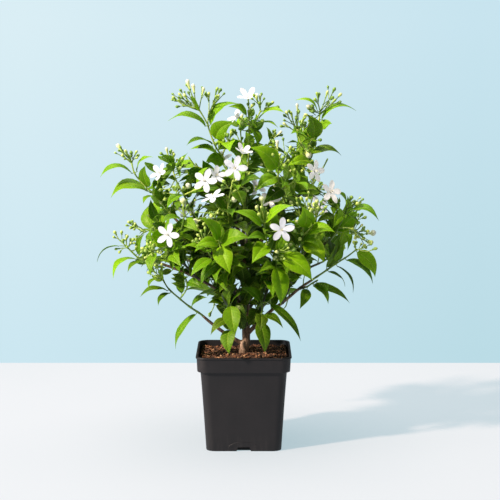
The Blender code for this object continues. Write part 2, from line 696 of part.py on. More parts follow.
class Twig(Grower):
    """A green twig with four sides, and ports in them that leaves, buds and stalks grow from.

    The ports lie in slots along the twig. The port of the flat end has slot END_SLOT.
    """

    def __init__(self, points, first, last, start=0.0, port=None):
        self.port = port
        self.points = points
        self.radii = tapered(first, last, len(points))
        self.frames = frames_along(points)
        self.lengths = [(b - a).length for a, b in zip(points, points[1:])]
        self.length = sum(self.lengths)
        self.start = start
        self.slot_count = int((self.length - start - END_MARGIN) / SLOT)
        self.used = {}

    def stretch(self, distance):
        """Which stretch a distance falls in, and how far along it."""
        for k, length in enumerate(self.lengths):
            if distance <= length or k == len(self.lengths) - 1:
                return k, min(distance, length)
            distance -= length

    def at(self, distance):
        """The point and direction at a distance along the twig."""
        k, rest = self.stretch(distance)
        return self.points[k] + self.frames[k][0] * rest, self.frames[k][0]

    def radius(self, distance):
        k, rest = self.stretch(distance)
        share = rest / self.lengths[k]
        return self.radii[k] * (1 - share) + self.radii[k + 1] * share

    def ring(self, distance):
        """Four corners round the twig, each between two of its sides."""
        k, _ = self.stretch(distance)
        _, side, other = self.frames[k]
        radius = self.radius(distance) * CORNER_REACH
        return circle(self.at(distance)[0], side, other, radius, 4, -math.pi / 4)

    def nearest(self, place):
        """(how far off it shows from a place on the front drawing, the distance) of the nearest spot."""
        samples = max(int(self.length / (2 * MM)), 4)
        steps = [self.length * k / samples for k in range(samples + 1)]
        return min(((shown(self.at(step)[0]) - place).length, step) for step in steps)

    def find_port(self, distance, way):
        """The free port near a distance whose side faces way best, or None."""
        end, tangent = self.at(self.length)
        at_end = distance > self.length - 2 * SLOT and way.dot(tangent) > END_FACING
        if at_end and END_SLOT not in self.used:
            return Port(self, END_SLOT, 0, end, tangent, self.ring(self.length))
        wanted = int((distance - self.start) / SLOT)
        nearby = [wanted + step for step in NEAR_SLOTS + MORE_SLOTS]
        nearby = [slot for slot in nearby if 0 <= slot < self.slot_count]
        shared = [slot for slot in nearby[: len(NEAR_SLOTS)] if slot in self.used]
        for slot in shared + nearby:
            middle = self.start + (slot + 0.5) * SLOT
            k, _ = self.stretch(middle)
            _, side, other = self.frames[k]
            normals = [side, other, -side, -other]
            best = max(range(4), key=lambda i: normals[i].dot(way))
            if normals[best].dot(way) > SIDE_FACING and best not in self.used.get(slot, {}):
                place = self.at(middle)[0] + normals[best] * self.radius(middle) * FACE_REACH
                low = self.ring(middle - SLOT / 2)
                high = self.ring(middle + SLOT / 2)
                after = (best + 1) % 4
                corners = [low[best], low[after], high[after], high[best]]
                return Port(self, slot, best, place, normals[best], corners)
        return None

    def rings(self, margin=0.0):
        rings = []
        for point, radius, frame in zip(self.points, self.radii, self.frames + self.frames[-1:]):
            if (point - self.points[0]).length < self.start:
                point = self.at(self.start)[0]
            _, side, other = frame
            rings.append(circle(point, side, other, radius * CORNER_REACH + margin, 4, -math.pi / 4))
        return rings

    def shape(self, margin=0.0, whole=True):
        """The bare twig, grown by a margin."""
        rings = self.rings(margin)
        if self.port:
            rings.insert(0, port_ring(self.port, rings[0]))
        return rings_to_shape(rings)

    def build(self, skin, ring=None):
        """Adds the twig to a skin, with all that grows from it. ring is the port that it grows from."""
        steps = {self.start: "ring", self.length: "ring"}
        for slot in self.used:
            if slot != END_SLOT:
                steps[self.start + slot * SLOT] = "ring"
                steps[self.start + (slot + 1) * SLOT] = "ring"
        along = 0
        for length in self.lengths[:-1]:
            along += length
            if along > self.start and all(abs(along - step) > SLOT * 0.7 for step in steps):
                steps[along] = "ring"
        steps = sorted(steps)
        steps = [step for step, after in zip(steps, steps[1:]) if after - step > MERGED] + [steps[-1]]
        for k, step in enumerate(steps):
            points = self.ring(step)
            new = skin.ring(points)
            if k:
                slot = round((steps[k - 1] - self.start) / SLOT)
                taken = {}
                if abs(self.start + slot * SLOT - steps[k - 1]) < MERGED:
                    taken = self.used.get(slot, {})
                for side, corners in skin.bridge(ring, new, taken).items():
                    taken[side].build(skin, corners)
            elif ring is None:
                skin.cap(list(reversed(new)))
            else:
                skin.bridge(skin.turned(ring, points), new)
            ring = new
        if END_SLOT in self.used:
            self.used[END_SLOT][0].build(skin, ring)
        else:
            skin.cap(ring)


def take(piece):
    """Grows a piece from its port."""
    piece.port.twig.used.setdefault(piece.port.slot, {})[piece.port.side] = piece


class Blade(Grower):
    """A leaf: its stalk from the twig, its midrib from root to tip, and its upper side."""

    def __init__(self, port, root, tip, up, width, lift):
        self.port = port
        self.base = port.middle
        self.root = root
        self.tip = tip
        self.length = (tip - root).length
        self.width = width
        self.lift = lift
        self.axis = (tip - root).normalized()
        self.across = self.axis.cross(up).normalized()
        self.up = self.across.cross(self.axis)

    def rib(self, t):
        """A point of the arched midrib, at t from 0 at the root to 1 at the tip."""
        arch = 4 * t * (1 - t) * self.lift * self.length
        return self.root.lerp(self.tip, t) + self.up * arch

    def section(self, middle, half, thick, edge):
        """Four points round the blade: left edge, upper side, right edge and lower side."""
        left = middle - self.across * half + self.up * edge
        right = middle + self.across * half + self.up * edge
        return [left, middle + self.up * thick, right, middle - self.up * thick]

    def rings(self, margin=0.0):
        size = STALK_HALF + margin
        rings = []
        if (self.root - self.base).length > LONG_STALK:
            way = (self.root - self.base).normalized()
            rings.append(self.section(self.base + way * SHORT_STALK, size, size, 0))
        rings.append(self.section(self.root, size, size, 0))
        for t, share in BLADE_SECTIONS:
            width = self.width * share
            half = width / 2 + margin
            rings.append(self.section(self.rib(t), half, BLADE_THICKNESS / 2 + margin, width * LEAF_FOLD))
        return rings


class BudPlace(Grower):
    """A bud on its stalk, from its foot to its tip."""

    def __init__(self, port, foot, tip, radius):
        self.port = port
        self.foot = foot
        self.tip = tip
        self.radius = radius

    def rings(self, margin=0.0):
        points = [self.foot, self.foot.lerp(self.tip, BUD_WIDEST), self.tip]
        radii = [PEDICEL_RADIUS + margin, self.radius + margin, 0]
        return tube_rings(points, radii, 4)[:2]


class Stalk(Grower):
    """The bent stalk that carries an open flower, with a flat end."""

    def __init__(self, port, points):
        self.port = port
        self.points = points

    def rings(self, margin=0.0):
        radii = [PEDICEL_RADIUS + margin] * (len(self.points) - 1) + [TUBE_RADIUS + margin]
        return tube_rings(self.points, radii, 4)[1:]


class BloomPlace:
    """An open flower: the middle of its petals, the way it faces, its size and how far petals cup."""

    def __init__(self, middle, face, size, turn, cups):
        self.middle = middle
        self.face = face.normalized()
        self.size = size
        self.turn = turn
        self.cups = cups
        helper = Vector((0, 0, 1)) if abs(self.face.z) < 0.85 else Vector((1, 0, 0))
        self.right = helper.cross(self.face).normalized()
        self.top = self.face.cross(self.right)

    def around(self, angle, radius, height):
        way = self.right * math.cos(angle) + self.top * math.sin(angle)
        return self.middle + way * radius + self.face * height

    def foot(self, back=0.0):
        """The end of the flower's tube, or a point further back on its line."""
        return self.middle - self.face * (TUBE_LENGTH * self.size + back)

    def petal_rings(self, index, throat, margin):
        """The sections of a petal past its root: left edge, keel and right edge, and its tip."""
        angle = self.turn + 2 * math.pi / PETALS * index
        long = PETAL_LENGTH * self.size
        thick = PETAL_THICKNESS + margin
        rings = []
        for reach, share in PETAL_SECTIONS:
            out = throat + long * reach
            rise = self.cups[index] * reach * reach * long
            half = PETAL_WIDTH * self.size * share / 2 + margin
            swing = math.atan2(half, out)
            wide = math.hypot(half, out)
            rings.append([
                self.around(angle - swing, wide, rise + margin),
                self.around(angle, out, rise - thick),
                self.around(angle + swing, wide, rise + margin),
            ])
        tip = self.around(angle, throat + long + margin, self.cups[index] * long - thick / 2)
        return rings, tip

    def shape(self, margin=0.0):
        """Five petals round a tube, in one skin."""
        step = 2 * math.pi / PETALS
        throat = THROAT_RADIUS * self.size + margin
        foot = -TUBE_LENGTH * self.size - margin
        skin = Skin()
        edges = [self.turn + step * (i - 0.5) for i in range(PETALS)]
        keels = [self.turn + step * i for i in range(PETALS)]
        middle = skin.ring([self.around(0, 0, margin)])[0]
        joints = skin.ring([self.around(angle, throat, margin) for angle in edges])
        lows = skin.ring([self.around(angle, throat, -PETAL_THICKNESS - margin) for angle in keels])
        ends = skin.ring([self.around(angle, TUBE_RADIUS + margin, foot) for angle in edges])
        for i in range(PETALS):
            j = (i + 1) % PETALS
            skin.faces.append((middle, joints[i], joints[j]))
            skin.faces.append((joints[i], ends[i], lows[i]))
            skin.faces.append((lows[i], ends[i], ends[j]))
            skin.faces.append((lows[i], ends[j], joints[j]))
            rings, tip = self.petal_rings(i, throat, margin)
            ring = [joints[i], lows[i], joints[j]]
            for points in rings:
                new = skin.ring(points)
                skin.bridge(ring, new)
                ring = new
            skin.spike(ring, tip)
        skin.cap(list(reversed(ends)))
        return skin.shape()


# Growth: where every twig, leaf, bud and flower goes, with nothing crossing anything else


class Crowd:
    """What is placed so far. Pieces of other nodes are kept a clearance away."""

    def __init__(self):
        self.placed = []

    @staticmethod
    def measured(shape):
        points, faces = shape
        low = [min(point[k] for point in points) for k in range(3)]
        high = [max(point[k] for point in points) for k in range(3)]
        return low, high, BVHTree.FromPolygons(points, faces)

    def meets(self, owner, piece):
        """True if a piece meets another node's, or another of its own node past its stalk's foot."""
        low, high, tree = self.measured(piece.shape(CLEARANCE))
        own_whole = self.measured(piece.shape(OWN_CLEARANCE))[2]
        own_outer = self.measured(piece.shape(OWN_CLEARANCE, False))[2]
        for other, other_low, other_high, other_tree, other_own, other_piece in self.placed:
            if any(low[k] > other_high[k] or high[k] < other_low[k] for k in range(3)):
                continue
            if other != owner:
                if tree.overlap(other_tree):
                    return True
            elif (own_outer if other_piece is piece.port.twig else own_whole).overlap(other_own):
                return True
        return False

    def add(self, owner, wide, own, piece=None):
        low, high, tree = self.measured(wide)
        self.placed.append((owner, low, high, tree, self.measured(own)[2], piece))

    def add_piece(self, owner, piece):
        self.add(owner, piece.shape(CLEARANCE), piece.shape(), piece)


def shown(point):
    """Where the front drawing shows a point, as a column and a row."""
    ray = point - EYE
    depth = ray.y * math.cos(EYE_DROP) - ray.z * math.sin(EYE_DROP)
    rise = ray.z * math.cos(EYE_DROP) + ray.y * math.sin(EYE_DROP)
    return Vector((DRAWING_MIDDLE + EYE_FOCAL * ray.x / depth, DRAWING_MIDDLE - EYE_FOCAL * rise / depth))


def depth_of(point):
    return -point.y / MM


CROWN_MIDDLE = seen((243, 235), 0)


def outward(point):
    """The level direction from the crown's middle to a point."""
    away = Vector((point.x - CROWN_MIDDLE.x, point.y - CROWN_MIDDLE.y, 0))
    return away.normalized() if away.length > 1 * MM else Vector((0, -1, 0))


def upper_side(root, axis, roll):
    """The way a leaf's upper side faces: up and outward, square to its midrib, and rolled."""
    wanted = Vector((0, 0, 1)) + outward(root) * OUTWARD_FACING
    up = wanted - axis * wanted.dot(axis)
    if up.length < 0.05:
        up = axis.orthogonal()
    return Matrix.Rotation(roll, 3, axis) @ up.normalized()


def nearest_twig(twigs, place):
    """The twig, and the distance along it, that show nearest to a place on the front drawing."""
    found = [(*twig.nearest(place), k) for k, twig in enumerate(twigs)]
    _, distance, k = min(found)
    return twigs[k], distance


def limb_points(name):
    return [seen(bend[:2], bend[2]) for bend in LIMBS[name][0]]


def limb_shape(name, margin=0.0):
    """A limb, grown by a margin."""
    points = limb_points(name)
    _, first, last = LIMBS[name]
    return tube(points, tapered(first * MM + margin, last * MM + margin, len(points)), LIMB_SIDES)


def trunk_points():
    first = seen(TRUNK_BENDS[0][:2], TRUNK_BENDS[0][2])
    foot = Vector((0, 0, HOLE_FLOOR + GAP))
    level = Vector((0, 0, SOIL_LEVEL + TRUNK_FLARE))
    rest = [seen(bend[:2], bend[2]) for bend in TRUNK_BENDS[1:]]
    return [foot, level, first] + rest


def trunk_radii():
    rest = tapered(TRUNK_MIDDLE_RADIUS, TRUNK_END_RADIUS, len(TRUNK_BENDS) - 1)
    return [TRUNK_RADIUS] * 2 + [TRUNK_BEND_RADIUS] + rest


def grow_twigs(name):
    """The twigs of a stem. The first goes straight on from its limb's end, a gap away."""
    ends = limb_points(name)
    along = (ends[-1] - ends[-2]).normalized()
    start = ends[-1] + along * GAP
    first_radius = LIMBS[name][2] * MM
    twigs = []
    for k, bends in enumerate(STEMS[name].twigs):
        points = [seen(bend[:2], bend[2]) for bend in bends]
        if k == 0:
            points = [start, start + along * STRAIGHT_START] + points
            twigs.append(Twig(points, first_radius, TWIG_END_RADIUS))
            continue
        spots = []
        for index, parent in enumerate(twigs):
            for step in range(int(parent.length / MM)):
                distance = step * MM
                spots.append(((parent.at(distance)[0] - points[0]).length, index, distance))
        _, index, distance = min(spots)
        way = (points[1] - points[0]).normalized()
        port = twigs[index].find_port(distance, way)
        clear = (twigs[index].radius(distance) + SIDE_TWIG_RADIUS) * CORNER_REACH + OWN_CLEARANCE
        start = SIDE_TWIG_START
        for nearby in (distance - STALK_LEAVE, distance + STALK_LEAVE):
            along = twigs[index].at(max(nearby, 0))[1]
            start = max(start, clear / math.sqrt(1 - way.dot(along) ** 2))
        twig = Twig(points, SIDE_TWIG_RADIUS, TWIG_END_RADIUS, start, port)
        take(twig)
        twigs.append(twig)
    return twigs


def drawn_blade(twigs, leaf, push, turn, shrink, roll):
    """The blade of a leaf on the front drawing, pushed in depth, turned and shrunk to fit."""
    twig, distance = nearest_twig(twigs, Vector(leaf.root))
    spot = twig.at(distance)[0]
    ahead = seen(leaf.tip, depth_of(spot)) - spot
    reach = math.sqrt(max((leaf.long * MM) ** 2 - ahead.length_squared, 0)) / MM
    tip = seen(leaf.tip, depth_of(spot) + leaf.side * reach * DRAWN_REACH + push)
    port = twig.find_port(distance, (tip - spot).normalized())
    if port is None:
        return None
    base = port.middle
    root = seen(leaf.root, depth_of(base) + 1.5)
    straight = (root - base).normalized().dot((tip - root).normalized())
    if (root - base).length < LONG_STALK or straight < STALK_BEND:
        root = base + ((tip - base).normalized() + port.normal * STALK_SPREAD).normalized() * SHORT_STALK
    tip = root + (tip - root) * shrink
    width = leaf.wide * MM * shrink if leaf.wide else LEAF_WIDTH_SHARE * (tip - root).length
    up = upper_side(root, (tip - root).normalized(), math.radians(leaf.roll) + roll + turn)
    return Blade(port, root, tip, up, width, leaf.lift)


def first_that_fits(name, crowd, candidates):
    """Places the first piece that meets nothing. It returns the piece, or None."""
    for piece in candidates:
        if piece is None or crowd.meets(name, piece):
            continue
        take(piece)
        crowd.add_piece(name, piece)
        return piece
    return None


def grow_drawn_leaves(name, twigs, crowd, rng):
    """The leaves that the front drawing shows. One that finds no room is left out."""
    blades = []
    for leaf in STEMS[name].leaves:
        roll = rng.uniform(-DRAWN_ROLL, DRAWN_ROLL)
        candidates = (drawn_blade(twigs, leaf, *fit, roll) for fit in DRAWN_TRIES)
        blades.append(first_that_fits(name, crowd, candidates))
    return [blade for blade in blades if blade]


def ruled_blade(twig, distance, turn, length, roll, lift):
    """A leaf that leaves a twig at turn round it, drawn a little outward and down by its weight."""
    spot, along = twig.at(distance)
    helper = Vector((0, 0, 1)) if abs(along.z) < 0.9 else Vector((1, 0, 0))
    radial = Matrix.Rotation(turn, 3, along) @ along.cross(helper).normalized()
    axis = along * math.cos(LEAF_ANGLE) + radial * math.sin(LEAF_ANGLE)
    axis = (axis + outward(spot) * OUTWARD_PULL - Vector((0, 0, LEAF_SAG))).normalized()
    port = twig.find_port(distance, axis)
    if port is None:
        return None
    root = port.middle + (axis + port.normal * STALK_SPREAD).normalized() * SHORT_STALK
    up = upper_side(root, axis, roll)
    return Blade(port, root, root + axis * length, up, length * LEAF_WIDTH_SHARE, lift)


def grow_ruled_leaves(name, twigs, crowd, rng, most):
    """Opposite pairs of leaves along the twigs, each pair a quarter turn from the last."""
    blades = []
    for twig in twigs:
        distance = twig.start + FIRST_PAIR
        turn = rng.uniform(0, math.pi)
        while distance < twig.length and len(blades) < most:
            for half in (0, math.pi)[: most - len(blades)]:
                length = LEAF_LENGTH * rng.uniform(0.78, 1.1)
                heading = turn + half + rng.uniform(-0.3, 0.3)
                roll = rng.uniform(-0.35, 0.35)
                lift = rng.uniform(0.08, 0.2)
                candidates = (
                    ruled_blade(twig, distance, heading + swing, length * shrink, roll, lift)
                    for swing, shrink in RULED_TRIES
                )
                blade = first_that_fits(name, crowd, candidates)
                if blade:
                    blades.append(blade)
            distance += NODE_SPACING * rng.uniform(0.85, 1.15)
            turn += math.pi / 2
    return blades


def bud_candidates(twigs, bud, length, radius, pushes):
    for push in pushes:
        twig, distance = nearest_twig(twigs, Vector(bud.at))
        spot = twig.at(distance)[0]
        middle = seen(bud.at, depth_of(spot) + push)
        way = ((middle - spot).normalized() + Vector((0, 0, BUD_RISE))).normalized()
        half = way * length / 2
        if (middle - spot).length < length / 2 + STALK_LEAVE:
            middle = spot + way * (length / 2 + STALK_LEAVE)
        port = twig.find_port(distance, way)
        yield BudPlace(port, middle - half, middle + half, radius) if port else None


def grow_buds(name, twigs, crowd, rng):
    """The buds that the front drawing shows, on stalks from the nearest twig."""
    places = []
    for bud in STEMS[name].buds:
        length = (BIG_BUD_LENGTH if bud.big else BUD_LENGTH) * rng.uniform(0.88, 1.12)
        radius = BIG_BUD_RADIUS if bud.big else BUD_RADIUS
        pushes = (rng.uniform(-4, 6), *BUD_PUSHES)
        places.append(first_that_fits(name, crowd, bud_candidates(twigs, bud, length, radius, pushes)))
    return [place for place in places if place]


def ruled_bud_candidates(twig, turn, length, radius, stalk):
    for lean in BUD_LEANS:
        _, along = twig.at(twig.length)
        radial = Matrix.Rotation(turn, 3, along) @ along.orthogonal().normalized()
        way = (along + radial * lean + Vector((0, 0, BUD_RISE))).normalized()
        port = twig.find_port(twig.length, way)
        if port is None:
            yield None
            continue
        foot = port.middle + way * stalk
        yield BudPlace(port, foot, foot + way * length, radius)


def grow_ruled_buds(name, twigs, crowd, rng, count):
    """A spray of buds on each twig's end, where the front drawing shows none."""
    places = []
    for twig in twigs:
        for k in range(count):
            turn = GOLDEN_TURN * k + rng.uniform(-0.3, 0.3)
            length = BUD_LENGTH * rng.uniform(0.85, 1.15)
            stalk = rng.uniform(*BUD_STALKS)
            candidates = ruled_bud_candidates(twig, turn, length, BUD_RADIUS, stalk)
            places.append(first_that_fits(name, crowd, candidates))
    return [place for place in places if place]


def bloom_name(stem, index):
    return "bloom_" + stem + ("_" + "abc"[index] if index else "")


def grow_blooms(name, twigs, crowd, rng):
    """The open flowers of a stem, each on its own bent stalk."""
    places = []
    for bloom in STEMS[name].blooms:
        across, rise, front = bloom.face
        face = Vector((across, -front, rise))
        cups = [rng.uniform(*PETAL_CUP) for _ in range(PETALS)]
        place = BloomPlace(seen(bloom.at, bloom.depth), face, bloom.size, bloom.turn, cups)
        near = place.foot(8 * MM)
        twig, distance = nearest_twig(twigs, shown(near))
        way = (near - twig.at(distance)[0]).normalized()
        port = twig.find_port(distance, way)
        leave = port.middle + (port.normal + way).normalized() * STALK_LEAVE
        stalk = Stalk(port, [port.middle, leave, place.foot(4 * MM), place.foot(GAP)])
        take(stalk)
        crowd.add(bloom_name(name, len(places)), place.shape(CLEARANCE), place.shape(OWN_CLEARANCE))
        crowd.add_piece(name, stalk)
        places.append(place)
    return places


Grown = namedtuple("Grown", "twigs blades buds blooms")


def grow():
    """Every stem's twigs, blades, buds and flowers, placed in turn from the most to the least seen."""
    crowd = Crowd()
    trunk = tube(trunk_points(), [radius + CLEARANCE for radius in trunk_radii()], TRUNK_SIDES)
    crowd.add("trunk", trunk, trunk)
    for name in LIMBS:
        limb = limb_shape(name, CLEARANCE)
        crowd.add("trunk", limb, limb)
    twigs = {name: grow_twigs(name) for name in STEMS}
    rngs = {name: random.Random(name) for name in STEMS}
    for name, group in twigs.items():
        for twig in group:
            crowd.add_piece(name, twig)
    blooms = {name: grow_blooms(name, twigs[name], crowd, rngs[name]) for name in STEMS}
    blades = {name: grow_drawn_leaves(name, twigs[name], crowd, rngs[name]) for name in STEMS}
    sprays = {name: grow_buds(name, twigs[name], crowd, rngs[name]) for name in STEMS}
    for name, stem in STEMS.items():
        behind = not stem.leaves
        if behind:
            sprays[name] += grow_ruled_buds(name, twigs[name], crowd, rngs[name], BACK_BUDS)
        most = BACK_RULED_LEAVES if behind else RULED_LEAVES
        blades[name] += grow_ruled_leaves(name, twigs[name], crowd, rngs[name], most)
    return {name: Grown(twigs[name], blades[name], sprays[name], blooms[name]) for name in STEMS}


# Solids


def material(name, colour, roughness):
    made = bpy.data.materials.new(name)
    made.use_nodes = True
    shader = made.node_tree.nodes["Principled BSDF"]
    shader.inputs["Base Color"].default_value = (*colour, 1)
    shader.inputs["Roughness"].default_value = roughness
    shader.inputs["Metallic"].default_value = 0
    made.diffuse_color = (*colour, 1)
    return made


def solid(name, shape, finish, parent=None):
    """An object from a shape, in triangles, with its faces pointing out."""
    points, faces = shape
    mesh = bpy.data.meshes.new(name)
    mesh.from_pydata([tuple(point) for point in points], [], faces)
    work = bmesh.new()
    work.from_mesh(mesh)
    bmesh.ops.triangulate(work, faces=work.faces)
    bmesh.ops.recalc_face_normals(work, faces=work.faces)
    work.to_mesh(mesh)
    work.free()
    made = bpy.data.objects.new(name, mesh)
    made.data.materials.append(finish)
    bpy.context.scene.collection.objects.link(made)
    made.parent = parent
    return made


def combine(target, shapes, operation):
    """Joins shapes to an object, or cuts them from it, and leaves one plain mesh."""
    group = bpy.data.collections.new(target.name + "_pieces")
    bpy.context.scene.collection.children.link(group)
    finish = target.data.materials[0]
    pieces = [solid(target.name + "_piece", shape, finish) for shape in shapes]
    for piece in pieces:
        bpy.context.scene.collection.objects.unlink(piece)
        group.objects.link(piece)
    modifier = target.modifiers.new("combine", "BOOLEAN")
    modifier.operation = operation
    modifier.operand_type = "COLLECTION"
    modifier.collection = group
    modifier.solver = "EXACT"
    graph = bpy.context.evaluated_depsgraph_get()
    mesh = bpy.data.meshes.new_from_object(target.evaluated_get(graph))
    target.modifiers.clear()
    target.data = mesh
    for piece in pieces:
        bpy.data.objects.remove(piece)
    bpy.data.collections.remove(group)


def square_ring(width, height, steps=CORNER_STEPS):
    """The points of a square with rounded corners, at a height, against the clock from above."""
    radius = width * CORNER_SHARE
    inner = width / 2 - radius
    ring = []
    for quarter in range(4):
        corner = Matrix.Rotation(math.pi / 2 * quarter, 3, "Z") @ Vector((inner, inner, height))
        for step in range(steps + 1):
            angle = math.pi / 2 * (quarter + step / steps)
            ring.append(corner + Vector((math.cos(angle), math.sin(angle), 0)) * radius)
    return ring


BAND_FOOT = POT_HEIGHT - BAND_HEIGHT
INNER_LEDGE = BAND_FOOT + WALL
RIM_INNER_WIDTH = RIM_WIDTH - 2 * (WALL + LIP)
BAND_INNER_WIDTH = BAND_FOOT_WIDTH - 2 * WALL
BODY_INNER_TOP = BODY_TOP_WIDTH - 2 * WALL
BASE_INNER = BASE_WIDTH - 2 * WALL + (BODY_TOP_WIDTH - BASE_WIDTH) * FLOOR / BAND_FOOT


def make_pot(finish, parent):
    """A tapered square shell with a deeper rim band, notched at the foot of each side."""
    outline = [
        (BASE_WIDTH - 2 * FOOT_CHAMFER, 0),
        (BASE_WIDTH, FOOT_CHAMFER),
        (BODY_TOP_WIDTH, BAND_FOOT),
        (BAND_FOOT_WIDTH, BAND_FOOT),
        (RIM_WIDTH - 2 * LIP, POT_HEIGHT - LIP_HEIGHT - LIP_SLOPE),
        (RIM_WIDTH, POT_HEIGHT - LIP_HEIGHT),
        (RIM_WIDTH, POT_HEIGHT - LIP / 2),
        (RIM_WIDTH - LIP, POT_HEIGHT),
        (RIM_INNER_WIDTH, POT_HEIGHT),
        (BAND_INNER_WIDTH, INNER_LEDGE),
        (BODY_INNER_TOP, INNER_LEDGE),
        (BASE_INNER, FLOOR),
    ]
    shell = rings_to_shape([square_ring(width, height) for width, height in outline])
    pot = solid("pot", shell, finish, parent)
    cutters = []
    for quarter in range(4):
        turn = Matrix.Rotation(math.pi / 2 * quarter, 3, "Z")
        rings = []
        low = NOTCH_WIDTH / 2
        top = low - NOTCH_DRAFT
        for y in (-BASE_WIDTH / 2 + NOTCH_DEPTH, -BODY_TOP_WIDTH / 2):
            corners = [(-low, -CUT_PAST), (low, -CUT_PAST), (top, NOTCH_HEIGHT), (-top, NOTCH_HEIGHT)]
            rings.append([turn @ Vector((x, y, z)) for x, z in corners])
        cutters.append(rings_to_shape(rings))
        drain = turn @ Vector((DRAIN_OFFSET, DRAIN_OFFSET, 0))
        low_end = drain - Vector((0, 0, CUT_PAST))
        high_end = drain + Vector((0, 0, FLOOR + CUT_PAST))
        cutters.append(tube([low_end, high_end], [DRAIN_RADIUS] * 2, DRAIN_SIDES))
    combine(pot, cutters, "DIFFERENCE")
    return pot


def soil_height(point, rng):
    """The bumpy top of the soil, a little lower at the wall."""
    edge = max(abs(point.x), abs(point.y)) / (RIM_WIDTH / 2)
    return SOIL_LEVEL - SOIL_DIP * edge ** 4 + rng.uniform(-1, 1) * SOIL_BUMP


def make_soil(finish, parent):
    """The soil fills the pot a gap inside its wall, with a bumpy top and a hole for the trunk."""
    rng = random.Random(4)
    level = (SOIL_LEVEL - INNER_LEDGE) / (POT_HEIGHT - INNER_LEDGE)
    top_width = BAND_INNER_WIDTH + (RIM_INNER_WIDTH - BAND_INNER_WIDTH) * level * 0.5 - 2 * GAP
    rings = [
        square_ring(BASE_INNER - 2 * GAP, FLOOR + GAP),
        square_ring(BODY_INNER_TOP - 2 * GAP, INNER_LEDGE + GAP),
        square_ring(BAND_INNER_WIDTH - 2 * GAP, INNER_LEDGE + GAP),
        square_ring(top_width, SOIL_LEVEL - SOIL_EDGE_DROP),
    ]
    rim = square_ring(top_width, 0)
    step = 2 * math.pi / len(rim)
    middle = CORNER_STEPS / 2
    hole = [
        Matrix.Rotation(math.pi / 4 + (i - middle) * step, 3, "Z") @ Vector((TRUNK_RADIUS + HOLE_GAP, 0, 0))
        for i in range(len(rim))
    ]
    for share in SOIL_RINGS:
        ring = []
        for edge, inner in zip(rim, hole):
            point = inner.lerp(edge, share)
            ring.append(Vector((point.x, point.y, soil_height(point, rng))))
        rings.append(ring)
    rings.append([point + Vector((0, 0, SOIL_LEVEL)) for point in hole])
    rings.append([point + Vector((0, 0, HOLE_FLOOR)) for point in hole])
    return solid("soil", rings_to_shape(rings), finish, parent)


def make_trunk(finish, parent):
    """The trunk with its limbs and a cut stub, joined in one solid."""
    trunk = solid("trunk", tube(trunk_points(), trunk_radii(), TRUNK_SIDES), finish, parent)
    shapes = [limb_shape(name) for name in LIMBS]
    stub = [seen(bend[:2], bend[2]) for bend in STUB_BENDS]
    shapes.append(tube(stub, [STUB_RADIUS] * len(stub), STUB_SIDES))
    combine(trunk, shapes, "UNION")
    return trunk


def make_stem(name, grown, finish, parent):
    """A leafy stem: its twigs with their leaves, buds and flower stalks, in one skin."""
    skin = Skin()
    grown.twigs[0].build(skin)
    return solid("stem_" + name, skin.shape(), finish, parent)


def clear_scene():
    for old in list(bpy.data.objects):
        bpy.data.objects.remove(old)


def main():
    clear_scene()
    plant = bpy.data.objects.new("potted_jasmine", None)
    bpy.context.scene.collection.objects.link(plant)
    plastic = material("dark_plastic", (0.032, 0.032, 0.035), 0.5)
    earth = material("soil", (0.12, 0.06, 0.035), 0.95)
    bark = material("bark", (0.10, 0.06, 0.035), 0.8)
    green = material("leaf", (0.09, 0.22, 0.02), 0.4)
    white = material("petal", (0.85, 0.86, 0.82), 0.5)
    make_pot(plastic, plant)
    make_soil(earth, plant)
    make_trunk(bark, plant)
    for name, grown in grow().items():
        make_stem(name, grown, green, plant)
        for index, place in enumerate(grown.blooms):
            solid(bloom_name(name, index), place.shape(), white, plant)


main()
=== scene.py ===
"""The looks of the potted orange jasmine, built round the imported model.

The plant grows here by the same rule as its solids, from the same drawing, so that each fine leaf, bud
and flower lies where its solid is. More leaves and buds then fill the crown.

A place on the front drawing is a column and a row, counted from its top left corner, and its depth is
how many millimetres it lies in front of the trunk.
"""

import json
import math
import random
from collections import namedtuple
from itertools import product

import bpy
import bmesh
from mathutils import Matrix, Vector, noise
from mathutils.bvhtree import BVHTree

